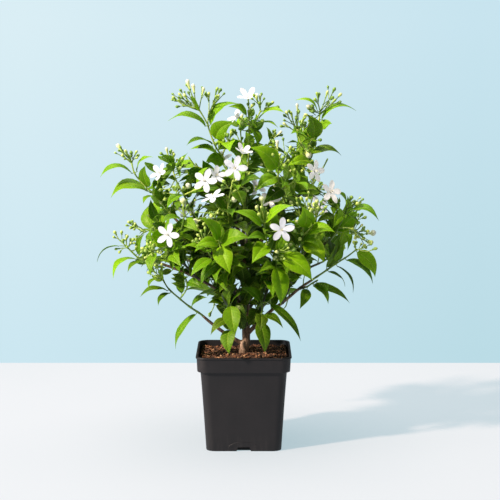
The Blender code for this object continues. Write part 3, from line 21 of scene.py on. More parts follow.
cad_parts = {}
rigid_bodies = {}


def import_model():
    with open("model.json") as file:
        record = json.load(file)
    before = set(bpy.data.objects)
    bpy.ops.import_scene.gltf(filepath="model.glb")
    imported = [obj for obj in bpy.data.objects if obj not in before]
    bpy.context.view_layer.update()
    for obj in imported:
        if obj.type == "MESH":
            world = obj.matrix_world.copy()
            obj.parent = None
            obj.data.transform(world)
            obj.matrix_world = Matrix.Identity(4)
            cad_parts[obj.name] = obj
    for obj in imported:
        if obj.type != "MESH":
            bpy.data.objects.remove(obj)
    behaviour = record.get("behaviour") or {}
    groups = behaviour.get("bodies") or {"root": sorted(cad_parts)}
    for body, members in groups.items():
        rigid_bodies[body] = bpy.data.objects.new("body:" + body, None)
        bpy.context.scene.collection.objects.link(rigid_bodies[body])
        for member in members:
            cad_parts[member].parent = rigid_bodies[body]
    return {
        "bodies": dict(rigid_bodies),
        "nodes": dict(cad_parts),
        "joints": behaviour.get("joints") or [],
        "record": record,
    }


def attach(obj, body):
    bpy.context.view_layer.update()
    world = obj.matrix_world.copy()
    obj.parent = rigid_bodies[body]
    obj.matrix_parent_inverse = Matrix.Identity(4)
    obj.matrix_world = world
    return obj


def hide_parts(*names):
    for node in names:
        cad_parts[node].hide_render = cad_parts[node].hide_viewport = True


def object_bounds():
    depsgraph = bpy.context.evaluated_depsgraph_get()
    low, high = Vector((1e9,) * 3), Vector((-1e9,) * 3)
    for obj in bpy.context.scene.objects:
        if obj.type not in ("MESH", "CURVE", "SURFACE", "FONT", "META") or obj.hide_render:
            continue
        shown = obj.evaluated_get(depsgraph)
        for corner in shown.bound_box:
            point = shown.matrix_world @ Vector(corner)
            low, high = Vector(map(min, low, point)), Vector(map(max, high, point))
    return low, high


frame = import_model()
cad_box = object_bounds()

MM = 0.001
GAP = 0.3 * MM

# The eye that the front drawing is seen from, which is the camera's place
EYE = Vector((0.0085, -2.0, 0.538))
EYE_DROP = math.radians(7.63)
EYE_FOCAL = 1469
DRAWING_SIZE = 500
DRAWING_MIDDLE = DRAWING_SIZE / 2
SENSOR = 36

# Pot
RIM_WIDTH = 130 * MM
POT_HEIGHT = 132 * MM
BASE_WIDTH = 103 * MM
BODY_TOP_WIDTH = 117.5 * MM
BAND_HEIGHT = 21 * MM
BAND_FOOT_WIDTH = 126 * MM
WALL = 1.6 * MM
FLOOR = 2.4 * MM
LIP = 1.2 * MM
LIP_HEIGHT = 2.2 * MM
LIP_SLOPE = 0.8 * MM
FOOT_CHAMFER = 0.8 * MM
CORNER_SHARE = 0.11
CORNER_STEPS = 9
NOTCH_WIDTH = 20 * MM
NOTCH_HEIGHT = 5.5 * MM
NOTCH_DEPTH = 6 * MM
NOTCH_DRAFT = 1.5 * MM
CUT_PAST = 1 * MM
DRAIN_RADIUS = 4.5 * MM
DRAIN_OFFSET = 27 * MM
DRAIN_SIDES = 20

# Soil
SOIL_LEVEL = 124 * MM
SOIL_DIP = 2.5 * MM
HOLE_FLOOR = 84 * MM

# Trunk
TRUNK_RADIUS = 6.0 * MM
TRUNK_SIDES = 8
LIMB_SIDES = 4
TRUNK_BEND_RADIUS = 5.5 * MM
TRUNK_MIDDLE_RADIUS = 5.2 * MM
TRUNK_END_RADIUS = 4.2 * MM
TRUNK_FLARE = 3 * MM
STUB_RADIUS = 2.6 * MM

# Leafy stems
TWIG_END_RADIUS = 0.9 * MM
SIDE_TWIG_RADIUS = 1.1 * MM
SIDE_TWIG_START = 3.2 * MM
STRAIGHT_START = 4 * MM
CORNER_REACH = 1.2
FACE_REACH = CORNER_REACH * math.cos(math.pi / 4)
SLOT = 1.8 * MM
END_MARGIN = 1.2 * MM
END_SLOT = -1
END_FACING = 0.75
SIDE_FACING = 0.2
NEAREST_STEP = 2 * MM
NEAREST_LEAST = 4
NEAR_SLOTS = (0, 1, -1, 2, -2)
MORE_SLOTS = (3, -3, 4, -4, 5, -5, 6, -6)

# Leaves
BLADE_THICKNESS = 0.8 * MM
BLADE_SECTIONS = ((0.34, 1.0), (0.75, 0.44))
STALK_HALF = 0.5 * MM
SHORT_STALK = 2.6 * MM
LONG_STALK = 5 * MM
STALK_CLEAR = 1.2 * MM
STALK_SPREAD = 0.7
STALK_BEND = 0.4
DRAWN_IN = 0.03
LEAF_FOLD = 0.10
LEAF_LENGTH = 47 * MM
LEAF_WIDTH_SHARE = 0.46
LEAF_ANGLE = math.radians(56)
LEAF_SAG = 0.18
OUTWARD_PULL = 0.35
OUTWARD_FACING = 0.85
LEAST_UP = 0.05
DRAWN_REACH = 0.9
DRAWN_ROLL = 0.22
ROOT_AHEAD = 1.5
FIRST_PAIR = 8 * MM
NODE_SPACING = 15 * MM
RULED_LEAVES = 3
BACK_RULED_LEAVES = 7
RULED_LENGTHS = (0.78, 1.1)
RULED_ROLLS = (-0.35, 0.35)
RULED_LIFTS = (0.08, 0.2)
HEADINGS = (-0.3, 0.3)
RULED_SPREAD = (0.85, 1.15)

# How steep a direction may be before a level one serves to find its sides
STEEP_LINE = 0.8
STEEP_FACE = 0.85
STEEP_TWIG = 0.9

# Ways to fit a leaf of the front drawing: its push in depth in mm, its turn and its share of the length
DRAWN_TRIES = [(0, 0, 1)]
for push in (8, -8, 16, -16, 24, -24):
    DRAWN_TRIES += [(push, 0, 1), (push, 0.35, 1), (push, -0.35, 0.94)]
DRAWN_TRIES += [(0, 0.7, 0.9), (0, -0.7, 0.9), (0, 0.3, 0.8), (0, -0.3, 0.7)]
DRAWN_TRIES += [(12, 0.5, 0.7), (-12, 0.5, 0.7)]

# Ways to fit any other leaf: its swing round the twig and its share of the length
RULED_TRIES = ((0, 1), (0.4, 1), (-0.4, 0.95), (0.8, 0.9), (-0.8, 0.85), (0.3, 0.7), (-0.3, 0.6))

CLEARANCE = 0.4 * MM
OWN_CLEARANCE = 0.15 * MM

# Buds and flowers
BUD_LENGTH = 8.0 * MM
BUD_RADIUS = 2.1 * MM
BIG_BUD_LENGTH = 14 * MM
BIG_BUD_RADIUS = 2.7 * MM
BUD_WIDEST = 0.52
BUD_RISE = 0.3
BUD_LEANS = (0.7, 0.4, 1.0)
BUD_STALKS = (6 * MM, 11 * MM)
BUD_FIRST_PUSHES = (-4, 6)
BUD_PUSHES = (9, -9, 15, -15, 22)
BUD_SPREAD = (0.88, 1.12)
BACK_BUDS = 1
GOLDEN_TURN = 2.4
PEDICEL_RADIUS = 0.6 * MM
STALK_LEAVE = 3 * MM
STALK_STRAIGHT = 4 * MM
STALK_AIM = 8 * MM
TUBE_LENGTH = 10 * MM
TUBE_RADIUS = 1.0 * MM
THROAT_RADIUS = 2.1 * MM
PETALS = 5
PETAL_LENGTH = 13.0 * MM
PETAL_WIDTH = 6.6 * MM
PETAL_THICKNESS = 0.9 * MM
PETAL_SECTIONS = ((0.42, 0.9), (0.8, 0.8))
PETAL_CUP = (-0.02, 0.28)


Leaf = namedtuple("Leaf", "root tip long wide lift roll side", defaults=(47, 0, 0.13, 0, 1))
Bud = namedtuple("Bud", "at big", defaults=(False,))
Bloom = namedtuple("Bloom", "at depth face size turn", defaults=(1.0, 0))
Stem = namedtuple("Stem", "twigs leaves buds blooms", defaults=((), (), ()))


def seen(place, depth):
    """The point at a depth in millimetres that the front drawing shows at (column, row)."""
    column, row = place
    across = (column - DRAWING_MIDDLE) / EYE_FOCAL
    rise = (DRAWING_MIDDLE - row) / EYE_FOCAL
    ray = Vector((
        across,
        math.cos(EYE_DROP) + rise * math.sin(EYE_DROP),
        rise * math.cos(EYE_DROP) - math.sin(EYE_DROP),
    ))
    return EYE + ray * ((-depth * MM - EYE.y) / ray.y)


# Brown limbs: the points of each, (column, row, depth), with its first and last radius in mm.
# A limb starts inside the one that it grows from. Its end carries the leafy stem of its name.
LIMBS = {
    "trunk_top": (
        [(246, 306, -8), (244, 270, -12), (243, 240, -10), (244, 222, -8), (244, 212, -8)],
        3.8,
        1.8,
    ),
    "low_left": ([(246, 345, 0), (238, 341, 6), (222, 331, 14), (210, 322, 20), (203, 316, 25)], 3.0, 1.7),
    "far_right": (
        [(247, 334, -2), (258, 323, 12), (272, 310, 25), (282, 303, 32), (300, 288, 40), (312, 280, 43)],
        2.8,
        1.6,
    ),
    "low_right": ([(300, 288, 40), (303, 288, 47), (306, 287, 53)], 1.5, 1.3),
    "flower_front": ([(258, 323, 12), (263, 305, 32), (268, 288, 54), (272, 277, 70)], 2.0, 1.5),
    "right_mid": ([(282, 303, 32), (290, 285, 42), (296, 266, 52), (298, 258, 57)], 2.0, 1.5),
    "low_centre": ([(247, 326, -3), (252, 316, 18), (257, 308, 36)], 1.8, 1.4),
    "upper_left": ([(243, 246, -10), (236, 222, -4), (228, 197, 4)], 2.4, 1.6),
    "upper_right": ([(244, 270, -12), (262, 240, -8), (280, 212, -4), (290, 196, -2)], 2.8, 1.6),
    "bright_right": ([(268, 230, -7), (277, 216, 6), (284, 206, 20)], 1.9, 1.5),
    "left_shoot": ([(246, 306, -8), (232, 284, -2), (216, 262, 2), (190, 235, 6), (170, 213, 8)], 2.8, 1.6),
    "left_mid": ([(216, 262, 2), (206, 240, 16), (193, 214, 32)], 2.0, 1.5),
    "far_left": ([(247, 318, -5), (226, 296, 2), (197, 278, 8), (162, 264, 15), (147, 261, 18)], 2.6, 1.5),
    "left_front": ([(197, 278, 8), (186, 266, 28), (176, 255, 47)], 1.9, 1.5),
    "centre_front": ([(247, 322, -4), (240, 304, 20), (232, 288, 45), (227, 277, 61)], 2.2, 1.5),
    "upper_centre": ([(244, 270, -12), (238, 252, 14), (231, 230, 48)], 2.2, 1.5),
    "right": ([(246, 303, -8), (272, 274, -2), (300, 256, 6), (326, 243, 12)], 2.6, 1.6),
    "low_mid": ([(246, 330, -2), (238, 318, 18), (229, 311, 37)], 1.8, 1.4),
    "back_left": ([(246, 310, -6), (232, 286, -38), (217, 264, -68)], 2.4, 1.5),
    "back_right": ([(246, 314, -6), (262, 288, -38), (278, 264, -70)], 2.4, 1.5),
    "back_top": ([(244, 266, -12), (246, 248, -45), (247, 232, -78)], 2.4, 1.5),
    "back_far_left": ([(232, 286, -38), (205, 270, -50), (180, 256, -60)], 2.0, 1.5),
    "back_far_right": ([(262, 288, -38), (292, 275, -48), (320, 263, -58)], 2.0, 1.5),
    "back_low_left": ([(247, 325, -4), (240, 312, -38), (233, 301, -73)], 1.9, 1.4),
    "back_low_right": ([(247, 322, -4), (258, 311, -36), (269, 301, -70)], 1.9, 1.4),
    "back_mid": ([(247, 318, -5), (249, 290, -50), (250, 266, -88)], 2.0, 1.5),
    "back_upper_left": ([(243, 240, -10), (230, 215, -28), (217, 192, -44)], 1.9, 1.5),
    "back_upper_right": ([(262, 240, -8), (274, 212, -30), (284, 187, -48)], 1.9, 1.5),
    "side_left": ([(232, 284, -2), (205, 262, -16), (178, 240, -26)], 1.9, 1.5),
    "side_right": ([(300, 256, 6), (318, 247, -12), (330, 239, -24)], 1.8, 1.4),
    "side_upper_left": ([(236, 222, -4), (222, 205, -16), (211, 190, -24)], 1.8, 1.4),
    "side_upper_right": ([(280, 212, -4), (300, 195, -18), (312, 184, -25)], 1.8, 1.4),
}
TRUNK_BENDS = [(246, 340, 0), (246, 330, -2), (247, 318, -5), (246, 300, -8)]
STUB_BENDS = [(245, 351, 2), (242.5, 346, 5), (242, 341, 6)]


def buds(*places, big=()):
    """Buds at places (column, row) of the front drawing, and big ones at the places in big."""
    return [Bud(place) for place in places] + [Bud(place, True) for place in big]


# Leafy stems: the bends of each green twig, the leaves and buds that show from the front, and flowers.
# Each stem's first twig starts on its limb's end, and a side twig starts on one of its bends.
STEMS = {
    "upper_left": Stem(
        twigs=[
            [(226, 163, 22), (216, 147, 27), (208, 125, 28), (209, 112, 26)],
            [(208, 125, 28), (203, 116, 34), (198, 108, 38)],
            [(222, 156, 24), (226, 146, 36), (229, 140, 42)],
        ],
        leaves=[
            Leaf((207, 127), (168, 120), 56, 0, 0.24),
            Leaf((211, 127), (237, 102), 52, 0, 0.2),
            Leaf((216, 139), (233, 122), 46, 23),
            Leaf((199, 110), (189, 97), 34, 18),
            Leaf((214, 144), (187, 143), 46, 0, 0.16),
            Leaf((219, 157), (190, 149), 46, 0, 0.2),
            Leaf((224, 165), (205, 161), 42),
        ],
        buds=buds(
            (174, 98), (180, 95), (180, 100), (185, 96), (203, 90), (209, 95), (217, 90), (218, 97),
            (226, 135), (231, 134),
            big=[(188, 82), (193, 86)],
        ),
    ),
    "trunk_top": Stem(
        twigs=[
            [(247, 180, -5), (249, 150, 0), (249, 120, 4), (248, 110, 5)],
            [(249, 130, 3), (257, 118, 12), (261, 110, 14)],
        ],
        leaves=[
            Leaf((248, 117), (229, 105), 38, 0, 0.18),
            Leaf((257, 117), (285, 112), 46, 0, 0.18),
            Leaf((254, 127), (278, 126), 42, 0, 0.16),
            Leaf((252, 128), (257, 146), 38, 20),
        ],
        buds=buds((257, 98), (260, 97), (272, 103), (252, 106)),
        blooms=[Bloom((248, 98), 12, (-0.1, 0.9, 0.5)), Bloom((238, 117), -8, (-0.7, 0.5, 0.2))],
    ),
    "upper_right": Stem(
        twigs=[
            [(300, 170, 6), (311, 142, 12), (317, 130, 13), (319, 120, 12), (320, 110, 12)],
            [(308, 152, 10), (301, 143, 18), (297, 129, 20)],
            [(300, 170, 6), (308, 164, 20), (313, 160, 28)],
        ],
        leaves=[
            Leaf((318, 109), (296, 98), 38, 0, 0.2),
            Leaf((321, 120), (356, 109), 52, 0, 0.24),
            Leaf((312, 138), (309, 115), 42, 25),
            Leaf((318, 128), (332, 123), 24),
            Leaf((308, 150), (287, 141), 42, 0, 0.13, 0, -1),
            Leaf((312, 154), (342, 154), 46, 0, 0.2),
            Leaf((313, 160), (288, 166), 44),
        ],
        buds=buds(
            (317, 95), (327, 93), (334, 90), (340, 95), (334, 101), (287, 113), (291, 114), (297, 106),
            (285, 124), (304, 117), (307, 115), (320, 141), (323, 157),
            big=[(309, 107), (304, 147)],
        ),
        blooms=[Bloom((315, 171), 60, (0.5, 0.1, 0.6), 0.95)],
    ),
    "left_shoot": Stem(
        twigs=[
            [(155, 195, 22), (147, 188, 26), (135, 174, 28), (131, 160, 28)],
            [(155, 195, 22), (158, 181, 32), (157, 171, 34)],
        ],
        leaves=[
            Leaf((134, 173), (100, 175), 50, 0, 0.25),
            Leaf((136, 172), (152, 156), 36, 0, 0.2),
            Leaf((148, 188), (144, 166), 36, 20),
            Leaf((146, 190), (110, 196), 52, 0, 0.25),
            Leaf((156, 197), (142, 203), 38),
            Leaf((157, 170), (144, 162), 32),
        ],
        buds=buds((121, 148), (126, 152), (123, 156), (128, 157), (136, 153), big=[(118, 146)]),
        blooms=[Bloom((160, 173), 62, (-0.5, 0.4, 0.6), 0.85)],
    ),
    "left_mid": Stem(
        twigs=[
            [(184, 195, 50), (176, 180, 58), (172, 166, 60)],
            [(184, 195, 50), (195, 190, 74), (201, 188, 84)],
        ],
        leaves=[
            Leaf((173, 165), (160, 156), 40),
            Leaf((180, 177), (187, 153), 40, 23),
            Leaf((182, 196), (166, 208), 42),
        ],
        buds=buds(
            (167, 150), (173, 154), (161, 190), (166, 199), (178, 203), (185, 208), (188, 210),
            big=[(170, 144), (183, 191)],
        ),
        blooms=[Bloom((205, 181), 104, (-0.2, 0.3, 0.9)), Bloom((216, 176), 84, (0.4, 0.5, 0.6), 0.9)],
    ),
    "far_left": Stem(
        twigs=[[(140, 259, 18), (134, 254, 20), (125, 245, 20)]],
        leaves=[
            Leaf((119, 246), (96, 261), 46, 15, 0.18),
            Leaf((138, 257), (112, 278), 52, 0, 0.24),
            Leaf((146, 262), (127, 271), 44),
            Leaf((137, 256), (144, 233), 36, 17),
        ],
        buds=buds(
            (115, 233), (127, 237), (123, 241), (117, 249), (133, 240), (138, 245),
            big=[(134, 231)],
        ),
    ),
    "left_front": Stem(
        twigs=[
            [(172, 245, 66), (169, 239, 80)],
            [(172, 245, 66), (161, 249, 71), (152, 251, 70)],
            [(170, 241, 75), (180, 232, 80), (184, 217, 90)],
        ],
        leaves=[
            Leaf((166, 248), (150, 234), 40, 22),
            Leaf((184, 214), (161, 222), 44),
            Leaf((182, 220), (198, 232), 40),
            Leaf((156, 252), (150, 275), 40),
        ],
        buds=buds(
            (143, 249), (148, 245), (154, 246), (146, 257), (152, 260), (158, 262),
            big=[(183, 203)],
        ),
        blooms=[Bloom((168, 235), 98, (-0.35, 0.1, 0.9))],
    ),
    "low_left": Stem(
        twigs=[
            [(190, 307, 32), (180, 299, 35), (168, 288, 38), (161, 276, 42)],
            [(180, 299, 35), (187, 288, 50), (186, 279, 56)],
        ],
        leaves=[
            Leaf((197, 313), (173, 348), 58, 24, 0.1),
            Leaf((168, 290), (140, 295), 46, 0, 0.16),
            Leaf((172, 291), (157, 305), 38),
            Leaf((165, 275), (148, 286), 38),
            Leaf((190, 307), (206, 297), 36),
            Leaf((185, 280), (178, 293), 34, 18),
            Leaf((186, 279), (203, 288), 36),
        ],
        buds=buds((152, 268), (157, 265), (149, 273)),
    ),
    "centre_front": Stem(
        twigs=[
            [(224, 262, 88), (221, 250, 103), (219, 241, 109)],
            [(224, 262, 88), (211, 256, 98), (206, 246, 104)],
        ],
        leaves=[
            Leaf((217, 243), (202, 216), 50, 0, 0.13),
            Leaf((217, 242), (195, 245), 42),
            Leaf((221, 241), (249, 235), 46, 26),
            Leaf((222, 245), (229, 274), 48, 26, 0.1),
            Leaf((222, 262), (200, 285), 48),
        ],
        buds=buds((201, 232), (205, 229), (212, 222), (197, 240)),
    ),
    "flower_front": Stem(
        twigs=[
            [(277, 262, 98), (279, 250, 112)],
            [(277, 262, 98), (269, 250, 103), (264, 224, 110)],
        ],
        leaves=[
            Leaf((270, 243), (251, 262), 44, 23),
            Leaf((268, 238), (247, 238), 42),
            Leaf((263, 223), (234, 211), 46, 22),
            Leaf((266, 222), (292, 205), 48, 22),
            Leaf((278, 266), (281, 305), 56, 27, 0.1),
            Leaf((282, 255), (313, 280), 56, 24, 0.12),
        ],
        buds=buds((275, 259), (293, 250), (257, 208), big=[(262, 201)]),
        blooms=[Bloom((282, 230), 126, (0.05, 0.15, 1.0), 1.0, 4)],
    ),
    "upper_centre": Stem(
        twigs=[
            [(228, 212, 78), (230, 194, 94), (233, 180, 103)],
            [(228, 212, 78), (221, 210, 94), (219, 208, 100)],
            [(230, 194, 94), (243, 184, 100), (250, 172, 96)],
        ],
        leaves=[
            Leaf((230, 196), (247, 206), 40),
            Leaf((229, 200), (212, 226), 46),
            Leaf((240, 186), (262, 178), 42),
        ],
        buds=buds(
            (247, 190), (223, 186), (240, 219), (212, 215),
            big=[(233, 200), (197, 221)],
        ),
        blooms=[
            Bloom((235, 168), 116, (-0.1, 0.1, 1.0)),
            Bloom((213, 197), 118, (-0.3, 0.85, 0.3)),
            Bloom((243, 153), 100, (0.2, 0.8, 0.4), 0.85),
        ],
    ),
    "bright_right": Stem(
        twigs=[
            [(281, 190, 50), (278, 176, 64), (279, 164, 68)],
            [(281, 190, 50), (290, 184, 60), (297, 180, 64)],
        ],
        leaves=[
            Leaf((278, 170), (252, 146), 54, 24),
            Leaf((276, 176), (256, 190), 44, 22),
            Leaf((295, 181), (309, 190), 38),
        ],
        buds=buds((272, 155), (290, 148), big=[(277, 142)]),
        blooms=[Bloom((270, 200), 70, (0.1, 0.3, 0.9), 0.85)],
    ),
    "right_mid": Stem(
        twigs=[
            [(301, 246, 74), (303, 236, 80), (303, 224, 82)],
            [(303, 236, 80), (312, 226, 86), (316, 216, 86)],
        ],
        leaves=[
            Leaf((303, 228), (303, 206), 38, 21),
            Leaf((305, 236), (335, 232), 46, 0, 0.2),
            Leaf((301, 242), (325, 261), 46, 22),
            Leaf((301, 244), (290, 226), 36),
        ],
        buds=buds((297, 200), (302, 199), (314, 205), (321, 203), (323, 211), (310, 209)),
    ),
    "right": Stem(
        twigs=[
            [(338, 228, 24), (344, 216, 30), (347, 207, 32)],
            [(338, 228, 24), (349, 228, 32), (355, 230, 34)],
            [(345, 213, 31), (337, 207, 42), (331, 204, 48)],
        ],
        leaves=[
            Leaf((345, 208), (338, 191), 36),
            Leaf((346, 214), (379, 218), 52, 0, 0.25),
            Leaf((345, 216), (358, 225), 36),
            Leaf((334, 231), (348, 249), 44, 0, 0.3),
            Leaf((335, 216), (316, 222), 38),
        ],
        buds=buds(
            (351, 198), (356, 203), (362, 200), (361, 226), (358, 236), (368, 242),
            big=[(371, 233)],
        ),
        blooms=[Bloom((331, 192), 62, (0.5, 0.3, 0.7))],
    ),
    "far_right": Stem(
        twigs=[[(324, 272, 45), (337, 263, 48), (348, 256, 50), (357, 249, 50)]],
        leaves=[
            Leaf((358, 251), (376, 277), 46, 20),
            Leaf((346, 259), (374, 283), 52, 20, 0.16),
            Leaf((337, 265), (355, 292), 48, 18),
            Leaf((327, 270), (346, 287), 44, 15, 0.13, 0, -1),
        ],
        buds=buds((375, 249), (354, 243), (364, 246)),
    ),
    "low_right": Stem(
        twigs=[[(311, 284, 58), (318, 280, 60)]],
        leaves=[
            Leaf((319, 281), (329, 291), 34),
            Leaf((314, 285), (330, 303), 44),
            Leaf((312, 284), (351, 303), 58, 18, 0.12, 0, -1),
            Leaf((307, 288), (300, 309), 40),
        ],
    ),
    "low_centre": Stem(
        twigs=[[(262, 303, 52), (267, 302, 62)], [(262, 303, 52), (262, 312, 64), (260, 320, 68)]],
        leaves=[
            Leaf((270, 304), (303, 340), 70, 27, 0.1),
            Leaf((260, 322), (265, 353), 48, 22, 0.1),
            Leaf((264, 315), (284, 326), 42, 14),
            Leaf((260, 300), (241, 288), 42),
        ],
    ),
    "low_mid": Stem(
        twigs=[[(230, 307, 52), (231, 303, 58)], [(230, 307, 52), (229, 318, 62), (229, 328, 64)]],
        leaves=[
            Leaf((233, 304), (235, 336), 48, 24, 0.1),
            Leaf((229, 330), (228, 354), 40, 21, 0.1),
            Leaf((228, 310), (208, 302), 42),
            Leaf((228, 318), (210, 334), 40),
        ],
    ),
    "back_left": Stem(
        twigs=[
            [(200, 240, -95), (185, 215, -110), (176, 195, -112)],
            [(200, 240, -95), (182, 245, -114), (168, 248, -118)],
        ],
        blooms=[Bloom((186, 208), -136, (-0.3, 0.3, -0.9))],
    ),
    "back_right": Stem(
        twigs=[
            [(296, 238, -98), (308, 212, -112), (314, 192, -112)],
            [(296, 238, -98), (316, 246, -114), (330, 248, -116)],
        ],
        blooms=[Bloom((318, 206), -134, (0.3, 0.2, -0.9))],
    ),
    "back_top": Stem(
        twigs=[
            [(246, 195, -95), (244, 165, -98), (241, 138, -88), (240, 125, -80)],
            [(246, 195, -95), (228, 172, -112), (216, 154, -110)],
            [(244, 165, -98), (262, 152, -100), (274, 138, -90)],
        ],
        blooms=[Bloom((256, 186), -126, (0.1, 0.4, -0.9)), Bloom((222, 160), -130, (-0.3, 0.6, -0.7))],
    ),
    "back_far_left": Stem(twigs=[[(160, 238, -70), (146, 222, -72), (136, 210, -70)]]),
    "back_far_right": Stem(twigs=[[(338, 250, -66), (350, 236, -68), (356, 222, -66)]]),
    "back_low_left": Stem(
        twigs=[[(215, 292, -100), (198, 286, -114)], [(215, 292, -100), (214, 306, -116)]],
    ),
    "back_low_right": Stem(
        twigs=[[(290, 292, -98), (308, 286, -110)], [(290, 292, -98), (286, 306, -112)]],
    ),
    "back_mid": Stem(
        twigs=[[(251, 246, -118), (252, 226, -132)], [(251, 246, -118), (262, 250, -134)]],
        blooms=[Bloom((240, 236), -150, (-0.2, 0.2, -1.0))],
    ),
    "back_upper_left": Stem(twigs=[[(200, 170, -55), (188, 152, -56), (180, 138, -52)]]),
    "back_upper_right": Stem(twigs=[[(298, 160, -62), (302, 144, -62), (300, 132, -58)]]),
    "side_left": Stem(
        twigs=[
            [(158, 224, -30), (146, 214, -30), (138, 205, -30)],
            [(158, 224, -30), (149, 230, -37), (142, 234, -40)],
        ],
    ),
    "side_right": Stem(
        twigs=[[(343, 226, -30), (351, 213, -30)], [(343, 226, -30), (353, 231, -37), (360, 234, -40)]],
    ),
    "side_upper_left": Stem(twigs=[[(198, 170, -26), (187, 155, -26), (180, 145, -24)]]),
    "side_upper_right": Stem(twigs=[[(324, 166, -28), (331, 152, -28)]]),
}


class Skin:
    """A closed skin that grows ring by ring. Each ring is a list of point numbers."""

    def __init__(self):
        self.points = []
        self.faces = []

    def ring(self, points):
        start = len(self.points)
        self.points += points
        return list(range(start, len(self.points)))

    def bridge(self, low, high):
        """Faces from a ring to the next."""
        sides = len(low)
        for i in range(sides):
            j = (i + 1) % sides
            self.faces.append((low[i], low[j], high[j]))
            self.faces.append((low[i], high[j], high[i]))

    def cap(self, ring):
        self.faces.append(tuple(ring))

    def spike(self, ring, tip):
        self.points.append(tip)
        sides = len(ring)
        self.faces += [(ring[i], ring[(i + 1) % sides], len(self.points) - 1) for i in range(sides)]

    def shape(self):
        return self.points, self.faces


def best_turn(ring, points):
    """How many corners to turn a ring so that it lies best with as many points."""
    sides = len(ring)

    def spread(turn):
        return sum((ring[(i + turn) % sides] - points[i]).length_squared for i in range(sides))

    return min(range(sides), key=spread)


def rings_to_shape(rings, tip=None):
    """A closed shape through rings, with a flat start, to a tip or a flat end."""
    skin = Skin()
    ring = skin.ring(rings[0])
    skin.cap(list(reversed(ring)))
    for points in rings[1:]:
        new = skin.ring(points)
        skin.bridge(ring, new)
        ring = new
    if tip is None:
        skin.cap(ring)
    else:
        skin.spike(ring, tip)
    return skin.shape()


def off_line(way, steep):
    """A direction away from a line: upright, or level for a line as steep as this."""
    return Vector((0, 0, 1)) if abs(way.z) < steep else Vector((1, 0, 0))


def frames_along(points):
    """The direction and two square sides of each stretch of a bent line, turned as little as can be."""
    tangents = [(b - a).normalized() for a, b in zip(points, points[1:])]
    side = tangents[0].cross(off_line(tangents[0], STEEP_LINE)).normalized()
    frames = []
    for tangent in tangents:
        side = (side - tangent * side.dot(tangent)).normalized()
        frames.append((tangent, side, tangent.cross(side)))
    return frames


def turned_side(way, turn):
    """A direction square to a way, turned about it."""
    return Matrix.Rotation(turn, 3, way) @ way.orthogonal().normalized()


def circle(middle, side, other, radius, sides, first=0.0):
    ring = []
    for i in range(sides):
        angle = first + 2 * math.pi * i / sides
        ring.append(middle + side * (radius * math.cos(angle)) + other * (radius * math.sin(angle)))
    return ring


def tube_rings(points, radii, sides):
    """Rings along a bent line, each square to the line there."""
    frames = frames_along(points)
    rings = []
    for k, (point, radius) in enumerate(zip(points, radii)):
        before = frames[max(k - 1, 0)]
        after = frames[min(k, len(frames) - 1)]
        tangent = (before[0] + after[0]).normalized()
        side = (after[1] - tangent * after[1].dot(tangent)).normalized()
        rings.append(circle(point, side, tangent.cross(side), radius, sides))
    return rings


def tube(points, radii, sides):
    """A round bar along points, with flat ends."""
    return rings_to_shape(tube_rings(points, radii, sides))


def tapered(first, last, count):
    return [first + (last - first) * k / (count - 1) for k in range(count)]


Port = namedtuple("Port", "twig slot side middle normal corners")


def port_ring(port, points):
    """A port's corners, drawn in a little so that neighbours stay apart, turned to lie with points."""
    middle = sum(port.corners, Vector()) / len(port.corners)
    ring = [corner.lerp(middle, DRAWN_IN) + port.normal * OWN_CLEARANCE for corner in port.corners]
    turn = best_turn(ring, points)
    return ring[turn:] + ring[:turn]


class Grower:
    """What grows from a port: it has rings and may have a tip."""

    tip = None

    def rings(self, margin=0.0):
        raise NotImplementedError

    def shape(self, margin=0.0, whole=True):
        """The piece grown by a margin, whole or from where its stalk is clear of the twig."""
        rings = self.rings(margin)
        first = port_ring(self.port, rings[0])
        away = (rings[0][0] - first[0]).length
        if whole:
            rings.insert(0, first)
        elif away > LONG_STALK:
            rings.insert(0, [a.lerp(b, STALK_CLEAR / away) for a, b in zip(first, rings[0])])
        return rings_to_shape(rings, self.tip)


